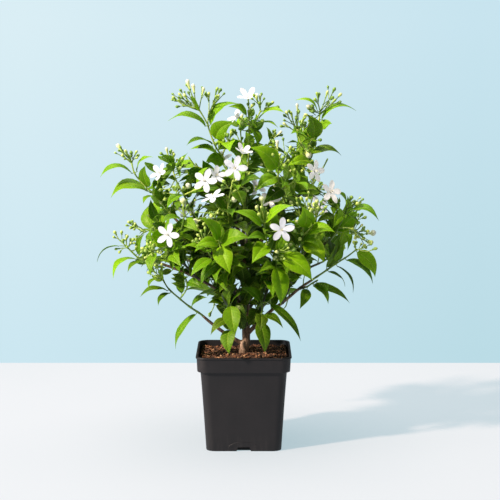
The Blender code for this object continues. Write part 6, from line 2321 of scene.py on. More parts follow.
def pot_outline():
    """The pot's section as (width, height): up the outside, over the lip and down the inside."""
    outline = [
        (BASE_WIDTH - 2 * FOOT_CHAMFER, 0),
        (BASE_WIDTH - 0.6 * FOOT_CHAMFER, 0.3 * FOOT_CHAMFER),
        (BASE_WIDTH, FOOT_CHAMFER),
    ]
    for k in range(1, 8):
        share = k / 8
        outline.append((body_width(share), FOOT_CHAMFER + (BAND_FOOT - FOOT_CHAMFER) * share))
    return outline + [
        (BODY_TOP_WIDTH, BAND_FOOT - 1.2 * MM),
        (BODY_TOP_WIDTH + 0.6 * MM, BAND_FOOT - 0.3 * MM),
        (BODY_TOP_WIDTH + 1.6 * MM, BAND_FOOT),
        (BAND_FOOT_WIDTH - 1.4 * MM, BAND_FOOT),
        (BAND_FOOT_WIDTH - 0.3 * MM, BAND_FOOT + 0.3 * MM),
        (BAND_FOOT_WIDTH, BAND_FOOT + 1.2 * MM),
        (BAND_FOOT_WIDTH + (RIM_WIDTH - 2 * LIP - BAND_FOOT_WIDTH) * 0.5, BAND_FOOT + BAND_HEIGHT * 0.45),
        (RIM_WIDTH - 2 * LIP, POT_HEIGHT - LIP_HEIGHT - LIP_SLOPE),
        (RIM_WIDTH - 0.7 * LIP, POT_HEIGHT - LIP_HEIGHT - LIP_SLOPE * 0.6),
        (RIM_WIDTH, POT_HEIGHT - LIP_HEIGHT),
        (RIM_WIDTH, POT_HEIGHT - LIP * 0.7),
        (RIM_WIDTH - 0.3 * LIP, POT_HEIGHT - LIP * 0.25),
        (RIM_WIDTH - LIP, POT_HEIGHT),
        (RIM_INNER_WIDTH + 0.5 * LIP, POT_HEIGHT),
        (RIM_INNER_WIDTH, POT_HEIGHT - 0.4 * LIP),
        (BAND_INNER_WIDTH, INNER_LEDGE),
        (BODY_INNER_TOP, INNER_LEDGE),
        (BASE_INNER, FLOOR),
    ]


def notch_shape(turn):
    """A notch in the middle of a side's foot, with rounded corners."""
    low = NOTCH_WIDTH / 2
    top = low - NOTCH_DRAFT
    right = [(top - inward * MM, NOTCH_HEIGHT - under * MM) for inward, under in NOTCH_ROUND]
    left = [(-x, z) for x, z in reversed(right)]
    corners = [(-low, -CUT_PAST), (low, -CUT_PAST)] + right + left
    depths = (-BASE_WIDTH / 2 + NOTCH_DEPTH, -BODY_TOP_WIDTH / 2)
    return rings_to_shape([[turn @ Vector((x, y, z)) for x, z in corners] for y in depths])


def drain_shape(turn):
    """A drain hole through the floor."""
    drain = turn @ Vector((DRAIN_OFFSET, DRAIN_OFFSET, 0))
    ends = [drain - Vector((0, 0, CUT_PAST)), drain + Vector((0, 0, FLOOR + CUT_PAST))]
    return tube(ends, [DRAIN_RADIUS] * 2, DRAIN_SIDES)


def make_pot(finish):
    """The thin moulded pot: a tapered square shell with a rolled lip, a band and a notched foot."""
    rings = [square_ring(width, height) for width, height in pot_outline()]
    pot = plain_object("nursery_pot", rings_to_shape(rings), finish)
    turns = [Matrix.Rotation(math.pi / 2 * quarter, 3, "Z") for quarter in range(4)]
    cut(pot, [shape for turn in turns for shape in (notch_shape(turn), drain_shape(turn))])
    pot.data.polygons.foreach_set("use_smooth", [True] * len(pot.data.polygons))
    pot.data.set_sharp_from_angle(angle=POT_CREASE)
    place_piece(pot, "pot", "pot")
    make_foot_arches(turns, finish)


def make_foot_arches(turns, finish):
    """The low ridges over the notches of the foot."""
    pile = Pile()
    for turn in turns:
        arch = []
        for step in range(ARCH_STEPS + 1):
            angle = math.pi * step / ARCH_STEPS
            height = ARCH_FOOT + ARCH_RISE * math.sin(angle)
            wide = body_width(height / BAND_FOOT)
            arch.append(turn @ Vector((-ARCH_HALF * math.cos(angle), -wide / 2 + ARCH_SUNK, height)))
        pile.tube(arch, [ARCH_RADIUS] * len(arch), 8, 0, (0.5, 0.5, 0.5))
    pile.build("foot_arches", [finish], "pot")


def soil_height(x, y):
    """The rough top of the soil: low at the wall, heaped a little round the trunk."""
    edge = max(abs(x), abs(y)) / (RIM_WIDTH / 2)
    rough = sum(noise.noise(Vector((x, y, level)) * scale) * high for scale, level, high in SOIL_ROUGH)
    heap = HEAP * math.exp(-((x * x + y * y) / HEAP_RADIUS**2))
    return SOIL_LEVEL + SOIL_LIFT - SOIL_DIP * edge**4 + (rough + heap) * MM


def chip_shape(rng, length, middle, turn):
    """A split chip: a jagged slab with slanted ends."""
    sides = rng.choice((5, 6, 7))
    wide = length * rng.uniform(0.28, 0.6)
    thick = length * rng.uniform(0.12, 0.3)
    lower = []
    upper = []
    for i in range(sides):
        angle = 2 * math.pi * i / sides + rng.uniform(-0.25, 0.25)
        reach = rng.uniform(0.75, 1.1)
        point = Vector((math.cos(angle) * length / 2 * reach, math.sin(angle) * wide / 2 * reach, 0))
        tilt = Vector((rng.uniform(-0.1, 0.1) * length, rng.uniform(-0.1, 0.1) * wide, 0))
        rise = Vector((0, 0, thick / 2 * rng.uniform(0.6, 1.2)))
        lower.append(middle + turn @ (point + Vector((0, 0, -thick / 2))))
        upper.append(middle + turn @ (point * 0.86 + tilt + rise))
    return lower, upper


def add_bed(pile, half, rng):
    """The rough soil bed, with rounded corners and a border that turns down."""
    radius = half * 2 * CORNER_SHARE
    rows = []
    for i in range(BED_STEPS + 1):
        row = []
        for k in range(BED_STEPS + 1):
            x = half * (2 * i / BED_STEPS - 1)
            y = half * (2 * k / BED_STEPS - 1)
            over = Vector((max(abs(x) - (half - radius), 0), max(abs(y) - (half - radius), 0)))
            if over.length > radius:
                over = over.normalized() * radius
                x = math.copysign(half - radius + over.x, x)
                y = math.copysign(half - radius + over.y, y)
            border = i in (0, BED_STEPS) or k in (0, BED_STEPS)
            height = soil_height(x, y) - (BED_SKIRT if border else 0)
            row.append(pile.point(Vector((x, y, height)), (x, y, 0), (rng.random(), rng.random(), 0.5)))
        rows.append(row)
    for low, high in zip(rows, rows[1:]):
        pile.grid(low[::-1], high[::-1], EARTH)


def add_chips(pile, half, rng):
    """Chips and crumbs of bark and coir that lie on the bed, each of its own tint."""
    kept = half - CHIP_MARGIN
    for k in range(CHIPS + CRUMBS):
        x = rng.uniform(-kept, kept)
        y = rng.uniform(-kept, kept)
        length = rng.uniform(*(CHIP_LENGTHS if k < CHIPS else CRUMB_SIZES))
        if k < CHIPS:
            length *= rng.uniform(0.5, 1)
        turn = (
            Matrix.Rotation(rng.uniform(0, 2 * math.pi), 3, "Z")
            @ Matrix.Rotation(rng.gauss(0, CHIP_TILT), 3, "Y")
            @ Matrix.Rotation(rng.gauss(0, CHIP_TILT), 3, "X")
        )
        middle = Vector((x, y, soil_height(x, y) + rng.uniform(-0.05, 0.25) * length))
        if math.hypot(x, y) < TRUNK_RADIUS + length / 2:
            continue
        reach = max(abs(x), abs(y)) + length / 2
        if reach > half - CHIP_CLEAR:
            continue
        lower, upper = chip_shape(rng, length, middle, turn)
        tint = (rng.random(), rng.random(), rng.random())
        low = [pile.point(point, (0, 0, 0), tint, True) for point in lower]
        high = [pile.point(point, (0, 1, 0), tint, True) for point in upper]
        pile.grid(low, high, CHIP, closed=True)
        pile.face(high, CHIP)


def make_soil(earth, chip):
    """The soil bed with its chips."""
    rng = random.Random(4)
    pile = Pile()
    level = (SOIL_LEVEL - INNER_LEDGE) / (POT_HEIGHT - INNER_LEDGE)
    half = (BAND_INNER_WIDTH + (RIM_INNER_WIDTH - BAND_INNER_WIDTH) * level * 0.8 - GAP) / 2
    add_bed(pile, half, rng)
    add_chips(pile, half, rng)
    pile.build("soil_bed", [earth, chip], "soil", "soil")


BARK, BARE_WOOD = range(2)
STUB_AGE = -1.0
BARK_STEP = 2.2 * MM
BARK_SCALE = 140
FLARE_LENGTH = 4
TRUNK_ROUND = 20
LIMB_ROUND = 10
STUB_ROUND = 12
TRUNK_WIDER = (1.1, 1.18)
CORE_SHARE = 0.22

# The limbs' first radii in mm from which bark is old, and how far under that it is young
OLD_LIMB = 3.6
LIMB_AGES = 2.4


def bark_tube(pile, points, radii, sides, age, rng, flare=0.0, rough=0.07):
    """A woody bar with ridges and knots. It is flared where it starts, and age tells brown from green."""
    line, wheres = smooth_line(points, BARK_STEP)
    spread = [(radii[-1] - radii[0]) * where + radii[0] for where in wheres]
    if len(radii) > 2:
        spread = []
        for where in wheres:
            place = where * (len(radii) - 1)
            k = min(int(place), len(radii) - 2)
            spread.append(radii[k] + (radii[k + 1] - radii[k]) * (place - k))
    gone = 0.0
    for k in range(len(line)):
        gone += (line[k] - line[k - 1]).length if k else 0
        spread[k] *= 1 + flare * math.exp(-gone / (FLARE_LENGTH * spread[k]))
    rings = tube_rings(line, spread, sides)
    seed = rng.random()
    before = None
    for k, (ring, middle) in enumerate(zip(rings, line)):
        numbers = []
        for i, where in enumerate(ring):
            away = (where - middle).normalized()
            lump = noise.noise(where * BARK_SCALE + Vector((seed * 9, 0, 0))) * rough
            ridge = math.sin(i * 2.399 + seed * 6 + wheres[k] * 3) * rough * 0.5
            place = middle + away * (spread[k] * (1 + lump + ridge))
            numbers.append(pile.point(place, (i / sides, wheres[k], 0), (age, seed, wheres[k])))
        if before:
            pile.grid(before, numbers, BARK, closed=True)
        else:
            pile.face(list(reversed(numbers)), BARK)
        before = numbers
    return before


def make_trunk(bark, wood):
    """The trunk, its limbs and the cut stub, with bark."""
    rng = random.Random(8)
    pile = Pile()
    points = trunk_points()
    points[0] = points[0].lerp(points[1], 0.5)
    radii = trunk_radii()
    radii[0] *= TRUNK_WIDER[0]
    radii[1] *= TRUNK_WIDER[1]
    pile.face(bark_tube(pile, points, radii, TRUNK_ROUND, 0.0, rng, rough=0.1), BARK)
    for name, (_, first, last) in LIMBS.items():
        age = min(max((OLD_LIMB - first) / LIMB_AGES, 0.1), 0.9)
        radii = [first * MM, last * MM]
        end = bark_tube(pile, limb_points(name), radii, LIMB_ROUND, age, rng, flare=0.5)
        pile.face(end, BARK)
    stub = bent_line(STUB_BENDS)
    radii = [STUB_RADIUS * 1.2, STUB_RADIUS * 1.05]
    end = bark_tube(pile, stub, radii, STUB_ROUND, STUB_AGE, rng, flare=0.3)
    inner = stub[-1] - (stub[-1] - stub[-2]).normalized() * 0.5 * MM
    core = []
    for number in end:
        where = pile.points[number].lerp(inner, CORE_SHARE)
        core.append(pile.point(where, (0, 1, 0), (0.5, 0.5, 0.5), True))
    pile.grid(end, core, BARK, closed=True)
    pile.face(core, BARE_WOOD)
    pile.build("woody_trunk", [bark, wood], "bark", "trunk")


# Finishes

GRAIN_RANGE = (0.3, 0.7)


class Recipe:
    """A material made of nodes, and short calls for the nodes that it needs."""

    def __init__(self, name):
        self.material = bpy.data.materials.new(name)
        self.material.use_nodes = True
        self.tree = self.material.node_tree
        self.shader = self.tree.nodes["Principled BSDF"]
        self.shader.inputs["Metallic"].default_value = 0

    def node(self, kind, **settings):
        made = self.tree.nodes.new(kind)
        for key, value in settings.items():
            setattr(made, key, value)
        return made

    def feed(self, socket, value):
        if isinstance(value, (int, float)):
            socket.default_value = value
        elif isinstance(value, tuple):
            opaque = len(value) == 3 and len(socket.default_value) == 4
            socket.default_value = (*value, 1) if opaque else value
        else:
            self.tree.links.new(value, socket)

    def to(self, title, value):
        self.feed(self.shader.inputs[title], value)

    def math(self, operation, *values, clamp=False):
        made = self.node("ShaderNodeMath", operation=operation, use_clamp=clamp)
        for socket, value in zip(made.inputs, values):
            self.feed(socket, value)
        return made.outputs[0]

    def plus(self, first, second, clamp=False):
        return self.math("ADD", first, second, clamp=clamp)

    def less(self, first, second):
        return self.math("SUBTRACT", first, second)

    def times(self, first, second):
        return self.math("MULTIPLY", first, second)

    def off_middle(self, value):
        """How far a value lies from 0.5."""
        return self.math("ABSOLUTE", self.less(value, 0.5))

    def varied(self, value, by, reach, clamp=True):
        """A value that another, from 0 to 1, moves up and down over a reach."""
        return self.plus(value, self.times(self.less(by, 0.5), reach), clamp=clamp)

    def span(self, value, low, high, first=0.0, last=1.0):
        """A value moved from low..high to first..last with soft ends."""
        made = self.node("ShaderNodeMapRange", interpolation_type="SMOOTHSTEP")
        for socket, number in zip(made.inputs, (value, low, high, first, last)):
            self.feed(socket, number)
        return made.outputs[0]

    def mix(self, share, low, high, blend="MIX"):
        made = self.node("ShaderNodeMix", data_type="RGBA", blend_type=blend)
        self.feed(made.inputs[0], share)
        self.feed(made.inputs[6], low)
        self.feed(made.inputs[7], high)
        return made.outputs[2]

    def tinted(self, colour, value, most, other):
        """A colour mixed with another by up to most, where a value is 1."""
        return self.mix(self.times(value, most), colour, other)

    def rough(self, grain, low, high):
        """A roughness from low to high, by a grain's usual range."""
        self.to("Roughness", self.span(grain, *GRAIN_RANGE, low, high))

    def ramp(self, value, *stops):
        made = self.node("ShaderNodeValToRGB")
        elements = made.color_ramp.elements
        while len(elements) < len(stops):
            elements.new(0.5)
        for element, (place, colour) in zip(elements, stops):
            element.position = place
            element.color = (*colour, 1)
        self.feed(made.inputs[0], value)
        return made.outputs[0]

    def parts(self, name):
        """The three numbers of an attribute."""
        made = self.node("ShaderNodeAttribute", attribute_name=name)
        split = self.node("ShaderNodeSeparateXYZ")
        self.tree.links.new(made.outputs["Vector"], split.inputs[0])
        return split.outputs[0], split.outputs[1], split.outputs[2]

    def where(self):
        return self.node("ShaderNodeTexCoord").outputs["Object"]

    def noise(self, scale, detail=3.0, roughness=0.55, stretch=None):
        place = self.where()
        if stretch:
            turned = self.node("ShaderNodeMapping")
            self.tree.links.new(place, turned.inputs[0])
            turned.inputs["Scale"].default_value = stretch
            place = turned.outputs[0]
        made = self.node("ShaderNodeTexNoise")
        self.tree.links.new(place, made.inputs["Vector"])
        self.feed(made.inputs["Scale"], scale)
        self.feed(made.inputs["Detail"], detail)
        self.feed(made.inputs["Roughness"], roughness)
        return made.outputs[0]

    def bump(self, height, distance, strength=1.0):
        made = self.node("ShaderNodeBump")
        made.inputs["Distance"].default_value = distance
        made.inputs["Strength"].default_value = strength
        self.feed(made.inputs["Height"], height)
        self.tree.links.new(made.outputs[0], self.shader.inputs["Normal"])


LEAF_GLOW = 0.25
LEAF_SHEEN = (0.85, 1.0, 0.5, 1.0)
LEAF_GLOW_DEPTH = 1.2 * MM
LEAF_GLOW_RADII = (0.7, 1.0, 0.2)
LEAF_GRAIN = (0.4 * MM, 0.35)


def leaf_gloss(recipe, shine):
    recipe.to("Specular IOR Level", shine)
    recipe.to("Specular Tint", LEAF_SHEEN)
    recipe.to("Subsurface Weight", LEAF_GLOW)
    recipe.to("Subsurface Scale", LEAF_GLOW_DEPTH)
    recipe.to("Subsurface Radius", LEAF_GLOW_RADII)


def leaf_veins(recipe, across, along, seed):
    """The midrib, the side veins, the thin margin and the swelling between the veins, from 0 to 1."""
    edge = recipe.math("ABSOLUTE", across)
    midrib = recipe.span(edge, 0.02, 0.085, 1, 0)
    lean = recipe.times(edge, 1.5)
    beat = recipe.less(recipe.times(along, 9.5), lean)
    beat = recipe.math("FRACT", recipe.plus(beat, seed))
    away = recipe.off_middle(beat)
    veins = recipe.span(away, 0.4, 0.5)
    veins = recipe.times(veins, recipe.span(edge, 0.75, 0.95, 1, 0))
    margin = recipe.span(edge, 0.93, 0.99)
    return midrib, veins, margin, recipe.span(away, 0.0, 0.5, 1, 0)


def leaf_top():
    recipe = Recipe("leaf_top")
    across, along, _ = recipe.parts("place")
    # The tint's tone holds painted light and shade as well as the leaf's own colour
    shade, warmth, seed = recipe.parts("tint")
    midrib, veins, margin, swelling = leaf_veins(recipe, across, along, seed)
    mottle = recipe.noise(140, 4)
    shade = recipe.varied(shade, mottle, 0.34, clamp=False)
    shade = recipe.varied(shade, along, -0.1)
    colour = recipe.ramp(
        shade,
        (0.0, (0.012, 0.040, 0.002)),
        (0.3, (0.048, 0.140, 0.002)),
        (0.6, (0.115, 0.275, 0.003)),
        (0.85, (0.155, 0.335, 0.002)),
        (1.0, (0.205, 0.385, 0.003)),
    )
    colour = recipe.tinted(colour, warmth, 0.15, (0.26, 0.33, 0.012))
    pale = recipe.mix(0.45, colour, (0.42, 0.56, 0.07))
    colour = recipe.tinted(colour, midrib, 0.55, pale)
    colour = recipe.tinted(colour, veins, 0.28, pale)
    colour = recipe.tinted(colour, margin, 0.5, pale)
    recipe.to("Base Color", colour)
    recipe.to("Roughness", recipe.span(mottle, 0.3, 0.75, 0.38, 0.54))
    leaf_gloss(recipe, 0.2)
    height = recipe.less(recipe.times(swelling, 0.5), recipe.times(midrib, 0.8))
    height = recipe.plus(height, recipe.times(recipe.noise(900, 2), 0.06))
    recipe.bump(height, *LEAF_GRAIN)
    return recipe.material


def leaf_under():
    recipe = Recipe("leaf_under")
    across, along, _ = recipe.parts("place")
    # The tint's tone holds painted light and shade as well as the leaf's own colour
    shade, _, seed = recipe.parts("tint")
    midrib, veins, _, _ = leaf_veins(recipe, across, along, seed)
    mottle = recipe.noise(120, 3)
    colour = recipe.ramp(
        recipe.plus(shade, recipe.times(mottle, 0.2)),
        (0.0, (0.022, 0.058, 0.006)),
        (0.5, (0.085, 0.19, 0.012)),
        (1.0, (0.20, 0.37, 0.018)),
    )
    pale = recipe.mix(0.4, colour, (0.36, 0.48, 0.12))
    colour = recipe.mix(midrib, colour, pale)
    colour = recipe.tinted(colour, veins, 0.6, pale)
    recipe.to("Base Color", colour)
    recipe.rough(mottle, 0.48, 0.62)
    leaf_gloss(recipe, 0.16)
    height = recipe.plus(recipe.times(midrib, 0.8), recipe.times(veins, 0.5))
    recipe.bump(height, *LEAF_GRAIN)
    return recipe.material


def twig_skin():
    recipe = Recipe("twig_skin")
    shade, _, _ = recipe.parts("tint")
    mottle = recipe.noise(260, 4, stretch=(1, 1, 0.4))
    shade = recipe.varied(shade, mottle, 0.6)
    colour = recipe.ramp(
        shade,
        (0.0, (0.022, 0.045, 0.020)),
        (0.3, (0.065, 0.13, 0.024)),
        (0.6, (0.20, 0.33, 0.035)),
        (1.0, (0.42, 0.54, 0.10)),
    )
    recipe.to("Base Color", colour)
    recipe.rough(mottle, 0.4, 0.6)
    recipe.bump(recipe.noise(1400, 3, stretch=(1, 1, 0.25)), 0.15 * MM, 0.6)
    return recipe.material


def bud_skin():
    """Green at the cup, then pale yellow green to ivory at the tip."""
    recipe = Recipe("bud_skin")
    across, along, _ = recipe.parts("place")
    shade, _, _ = recipe.parts("tint")
    mottle = recipe.noise(420, 3)
    ripe = recipe.times(along, recipe.plus(recipe.times(shade, 0.35), 0.22))
    ripe = recipe.plus(ripe, recipe.times(shade, 0.6))
    ripe = recipe.varied(ripe, mottle, 0.25)
    colour = recipe.ramp(
        ripe,
        (0.0, (0.06, 0.15, 0.015)),
        (0.3, (0.17, 0.32, 0.03)),
        (0.55, (0.42, 0.55, 0.10)),
        (0.8, (0.66, 0.70, 0.33)),
        (1.0, (0.66, 0.68, 0.58)),
    )
    cup = recipe.span(along, 0.1, 0.2, 1, 0)
    colour = recipe.tinted(colour, cup, 0.8, (0.12, 0.25, 0.03))
    seam = recipe.math("FRACT", recipe.plus(recipe.times(across, 5), along))
    seam = recipe.span(recipe.off_middle(seam), 0.38, 0.5)
    colour = recipe.tinted(colour, seam, 0.16, (0.35, 0.45, 0.10))
    recipe.to("Base Color", colour)
    recipe.rough(mottle, 0.38, 0.52)
    height = recipe.less(recipe.times(mottle, 0.3), recipe.times(seam, 0.6))
    recipe.bump(height, 0.3 * MM, 0.7)
    return recipe.material


# Painted light: the petals glow a little of their own, standing in for light that comes through them
PETAL_PAINTED_GLOW = 0.1
PETAL_PAINTED_GLOW_COLOUR = (1, 0.95, 0.9)
PETAL_DEPTH = 1.2 * MM


def petal_skin():
    recipe = Recipe("petal_skin")
    across, along, _ = recipe.parts("place")
    _, warmth, _ = recipe.parts("tint")
    lines = recipe.math("FRACT", recipe.times(across, 3.5))
    lines = recipe.span(recipe.off_middle(lines), 0.3, 0.5)
    mottle = recipe.noise(220, 3)
    colour = recipe.mix(recipe.times(mottle, 0.35), (0.53, 0.575, 0.665), (0.43, 0.47, 0.56))
    colour = recipe.tinted(colour, lines, 0.2, (0.34, 0.38, 0.50))
    # Paler, creamier petals: a pink blush on some flowers, painted light on flowers that sit in shade
    colour = recipe.mix(warmth, colour, (0.98, 0.94, 0.90))
    throat = recipe.span(along, 0.0, 0.12, 1, 0)
    colour = recipe.tinted(colour, throat, 0.4, (0.55, 0.62, 0.42))
    recipe.to("Base Color", colour)
    recipe.rough(mottle, 0.42, 0.58)
    recipe.to("Specular IOR Level", 0.35)
    recipe.to("Subsurface Weight", 0.4)
    recipe.to("Subsurface Scale", PETAL_DEPTH)
    recipe.to("Subsurface Radius", (1, 1, 1))
    # Painted light: the petals glow though they are no lamp
    recipe.to("Emission Color", PETAL_PAINTED_GLOW_COLOUR)
    recipe.to("Emission Strength", PETAL_PAINTED_GLOW)
    recipe.bump(recipe.plus(recipe.times(lines, 0.6), mottle), 0.12 * MM, 0.6)
    return recipe.material


def anther_skin():
    recipe = Recipe("anther_skin")
    mottle = recipe.noise(2600, 2)
    recipe.to("Base Color", recipe.mix(mottle, (0.74, 0.68, 0.40), (0.90, 0.86, 0.64)))
    recipe.rough(mottle, 0.6, 0.8)
    recipe.bump(mottle, 0.2 * MM, 0.8)
    return recipe.material


def pot_plastic():
    """Charcoal moulded plastic: a fine grain, faint flow streaks, and dust where it is handled."""
    recipe = Recipe("pot_plastic")
    grain = recipe.noise(1500, 2)
    cloud = recipe.noise(24, 5, 0.6)
    streak = recipe.noise(160, 3, stretch=(1, 1, 0.06))
    split = recipe.node("ShaderNodeSeparateXYZ")
    recipe.tree.links.new(recipe.where(), split.inputs[0])
    height = split.outputs[2]
    dust = recipe.times(recipe.span(height, 0.1, POT_HEIGHT), recipe.span(cloud, 0.48, 0.75))
    low_dust = recipe.times(recipe.span(height, 0.03, 0.0), recipe.span(streak, 0.45, 0.8))
    colour = recipe.ramp(cloud, (0.3, (0.0075, 0.0074, 0.0090)), (0.7, (0.0120, 0.0114, 0.0140)))
    colour = recipe.tinted(colour, streak, 0.25, (0.020, 0.019, 0.022))
    colour = recipe.tinted(colour, dust, 0.2, (0.10, 0.075, 0.06))
    colour = recipe.tinted(colour, low_dust, 0.2, (0.08, 0.07, 0.065))
    recipe.to("Base Color", colour)
    rough = recipe.plus(recipe.span(cloud, 0.3, 0.7, 0.4, 0.52), recipe.times(grain, 0.08))
    recipe.to("Roughness", rough)
    recipe.to("Specular IOR Level", 0.28)
    wavy = recipe.plus(recipe.times(grain, 0.3), recipe.times(streak, 0.5))
    recipe.bump(wavy, 0.25 * MM, 0.5)
    return recipe.material


def soil_skin():
    recipe = Recipe("soil_skin")
    rough = recipe.noise(300, 6, 0.7)
    fine = recipe.noise(1400, 4)
    colour = recipe.ramp(
        rough, (0.3, (0.016, 0.008, 0.004)), (0.5, (0.055, 0.024, 0.011)), (0.72, (0.13, 0.06, 0.028))
    )
    recipe.to("Base Color", recipe.tinted(colour, fine, 0.4, (0.04, 0.02, 0.012)))
    recipe.rough(fine, 0.85, 1.0)
    recipe.bump(recipe.plus(rough, recipe.times(fine, 0.4)), 1.6 * MM, 1.0)
    return recipe.material


def chip_skin():
    recipe = Recipe("chip_skin")
    shade, warmth, _ = recipe.parts("tint")
    grain = recipe.noise(700, 4)
    shade = recipe.varied(shade, grain, 0.5)
    colour = recipe.ramp(
        shade,
        (0.0, (0.030, 0.012, 0.006)),
        (0.35, (0.095, 0.034, 0.013)),
        (0.7, (0.20, 0.078, 0.030)),
        (0.9, (0.34, 0.16, 0.070)),
        (1.0, (0.52, 0.33, 0.18)),
    )
    recipe.to("Base Color", recipe.tinted(colour, warmth, 0.4, (0.12, 0.06, 0.035)))
    recipe.rough(grain, 0.75, 0.95)
    recipe.bump(grain, 0.5 * MM, 0.8)
    return recipe.material


def bark_skin():
    """Brown fissured bark on old wood, smooth dark green skin on young wood."""
    recipe = Recipe("bark_skin")
    age, _, _ = recipe.parts("tint")
    fissure = recipe.noise(320, 5, 0.65, stretch=(1, 1, 0.22))
    patch = recipe.noise(60, 3)
    old = recipe.ramp(
        fissure,
        (0.3, (0.034, 0.020, 0.012)),
        (0.48, (0.13, 0.078, 0.047)),
        (0.62, (0.24, 0.155, 0.098)),
        (0.8, (0.38, 0.28, 0.19)),
    )
    young = recipe.ramp(
        fissure, (0.3, (0.018, 0.024, 0.018)), (0.55, (0.045, 0.060, 0.032)), (0.8, (0.10, 0.10, 0.06))
    )
    share = recipe.varied(age, patch, 0.7, clamp=False)
    colour = recipe.mix(recipe.span(share, 0.25, 0.75), old, young)
    bare = recipe.mix(fissure, (0.20, 0.12, 0.08), (0.70, 0.50, 0.36))
    colour = recipe.mix(recipe.span(age, -0.2, -0.8), colour, bare)
    recipe.to("Base Color", colour)
    recipe.rough(fissure, 0.9, 0.66)
    recipe.bump(fissure, 1.0 * MM, 0.9)
    return recipe.material


def cut_wood():
    recipe = Recipe("cut_wood")
    rings = recipe.noise(900, 4)
    recipe.to("Base Color", recipe.ramp(rings, (0.3, (0.30, 0.19, 0.12)), (0.7, (0.66, 0.48, 0.34))))
    recipe.rough(rings, 0.7, 0.9)
    recipe.bump(rings, 0.4 * MM, 0.7)
    return recipe.material


# Making the plant

# How leaves are toned where no tone is listed: darker inside the crown and low down, lighter at its surface
# and high up. This is painted shade and painted light, and partly the leaves' age.
LIGHT_DEPTH = 0.13
OLD_AND_SHADED_ROW = 300
OLD_AND_SHADED_ROWS = 60
YOUNG_AND_SUNLIT_ROW = 180
YOUNG_AND_SUNLIT_ROWS = 70
FRESH_ROW = 240
FRESH_SHADE = 0.85
TWIG_SHADE = 0.5
SHOOT_SHADE = 0.55
SHADE_VARIES = (-0.1, 0.1)
STALK_RADII = (0.75 * MM, 0.7 * MM)
STALK_TINT = (0.6, 0.5, 0.5)
SHADE_SPREAD = 0.09
DRAWN_SHADE_SPREAD = 0.3
INSIDE_PAINTED_SHADE = 0.03
SURFACE_PAINTED_LIGHT = 0.47
OLD_AND_SHADED_DARKER = 0.3
YOUNG_AND_SUNLIT_LIGHTER = 0.36
LIGHTEST = 0.95

# How light some leaves of the front drawing are, by their tips: own tone, painted light and painted shade
LEAF_TONES_AND_PAINTED_LIGHT = {
    (229, 274): 0.75, (251, 262): 0.8, (313, 280): 0.82, (335, 232): 0.8, (325, 261): 0.95,
    (262, 178): 0.15, (264, 204): 0.12, (247, 318): 0.05, (244, 330): 0.06, (250, 326): 0.05,
    (260, 331): 0.08, (330, 258): 0.15, (243, 205): 0.1, (281, 305): 0.62, (252, 146): 0.8,
    (288, 166): 0.95, (150, 234): 1.0, (152, 156): 0.6, (127, 271): 0.3, (249, 235): 0.5,
    (247, 238): 0.45, (292, 205): 0.7, (234, 211): 0.65, (195, 245): 0.75, (202, 216): 0.6,
    (200, 285): 0.35, (303, 206): 0.7, (235, 336): 0.4, (228, 354): 0.3, (265, 353): 0.22,
    (303, 340): 0.2, (284, 326): 0.15, (173, 348): 0.45, (112, 278): 0.8, (376, 277): 0.62,
    (351, 303): 0.25, (355, 292): 0.2, (374, 283): 0.4, (346, 287): 0.2, (168, 120): 0.6, (237, 102): 0.6,
    (233, 122): 0.55, (189, 97): 1.0, (187, 143): 0.35, (190, 149): 0.85, (356, 109): 0.6,
    (309, 115): 0.4, (342, 154): 0.3, (379, 218): 0.45, (241, 288): 0.3, (256, 190): 0.6, (161, 222): 0.4,
}

# How wide some leaves of the front drawing look, in millimetres, by their tips
LEAF_WIDTHS = {
    (376, 277): 20, (303, 206): 24, (303, 340): 15, (351, 303): 13, (346, 287): 11, (355, 292): 13,
    (265, 353): 22, (189, 97): 16, (144, 166): 18, (150, 234): 24, (190, 149): 17, (252, 146): 28,
    (335, 232): 20, (309, 115): 24, (144, 233): 9, (168, 120): 20, (100, 175): 22, (110, 196): 25,
    (233, 122): 25, (332, 123): 14, (205, 161): 20, (325, 261): 27, (313, 280): 28, (296, 98): 13,
    (356, 109): 19,
}


def leaf_tone_and_painted_shade(blade, rng):
    """How light a leaf is: lighter at the crown's surface than inside and low down, by age and painted
    shade.
    """
    spread = rng.gauss(0, SHADE_SPREAD)
    if blade.leaf and blade.leaf.tip in LEAF_TONES_AND_PAINTED_LIGHT:
        return min(LEAF_TONES_AND_PAINTED_LIGHT[blade.leaf.tip] + spread * DRAWN_SHADE_SPREAD, 1)
    middle = blade.rib(0.5)
    away = (middle - CROWN_MIDDLE).length
    row = shown(middle).y
    old = min(max((row - OLD_AND_SHADED_ROW) / OLD_AND_SHADED_ROWS + 0.5, 0), 1)
    young = min(max((YOUNG_AND_SUNLIT_ROW - row) / YOUNG_AND_SUNLIT_ROWS, 0), 1)
    # Painted shade inside the crown, painted light at its surface
    shade = INSIDE_PAINTED_SHADE + SURFACE_PAINTED_LIGHT * min(away / LIGHT_DEPTH, 1) ** 2 + spread
    # Low leaves are older and painted as in shade, high ones younger and painted as in sun
    shade += YOUNG_AND_SUNLIT_LIGHTER * young - OLD_AND_SHADED_DARKER * old
    return min(max(shade * blade.painted_dimming, 0), LIGHTEST)


def base_of(blade):
    """Where a leaf's stalk starts, inside its twig."""
    port = blade.port
    return port.middle - port.normal * 0.6 * MM


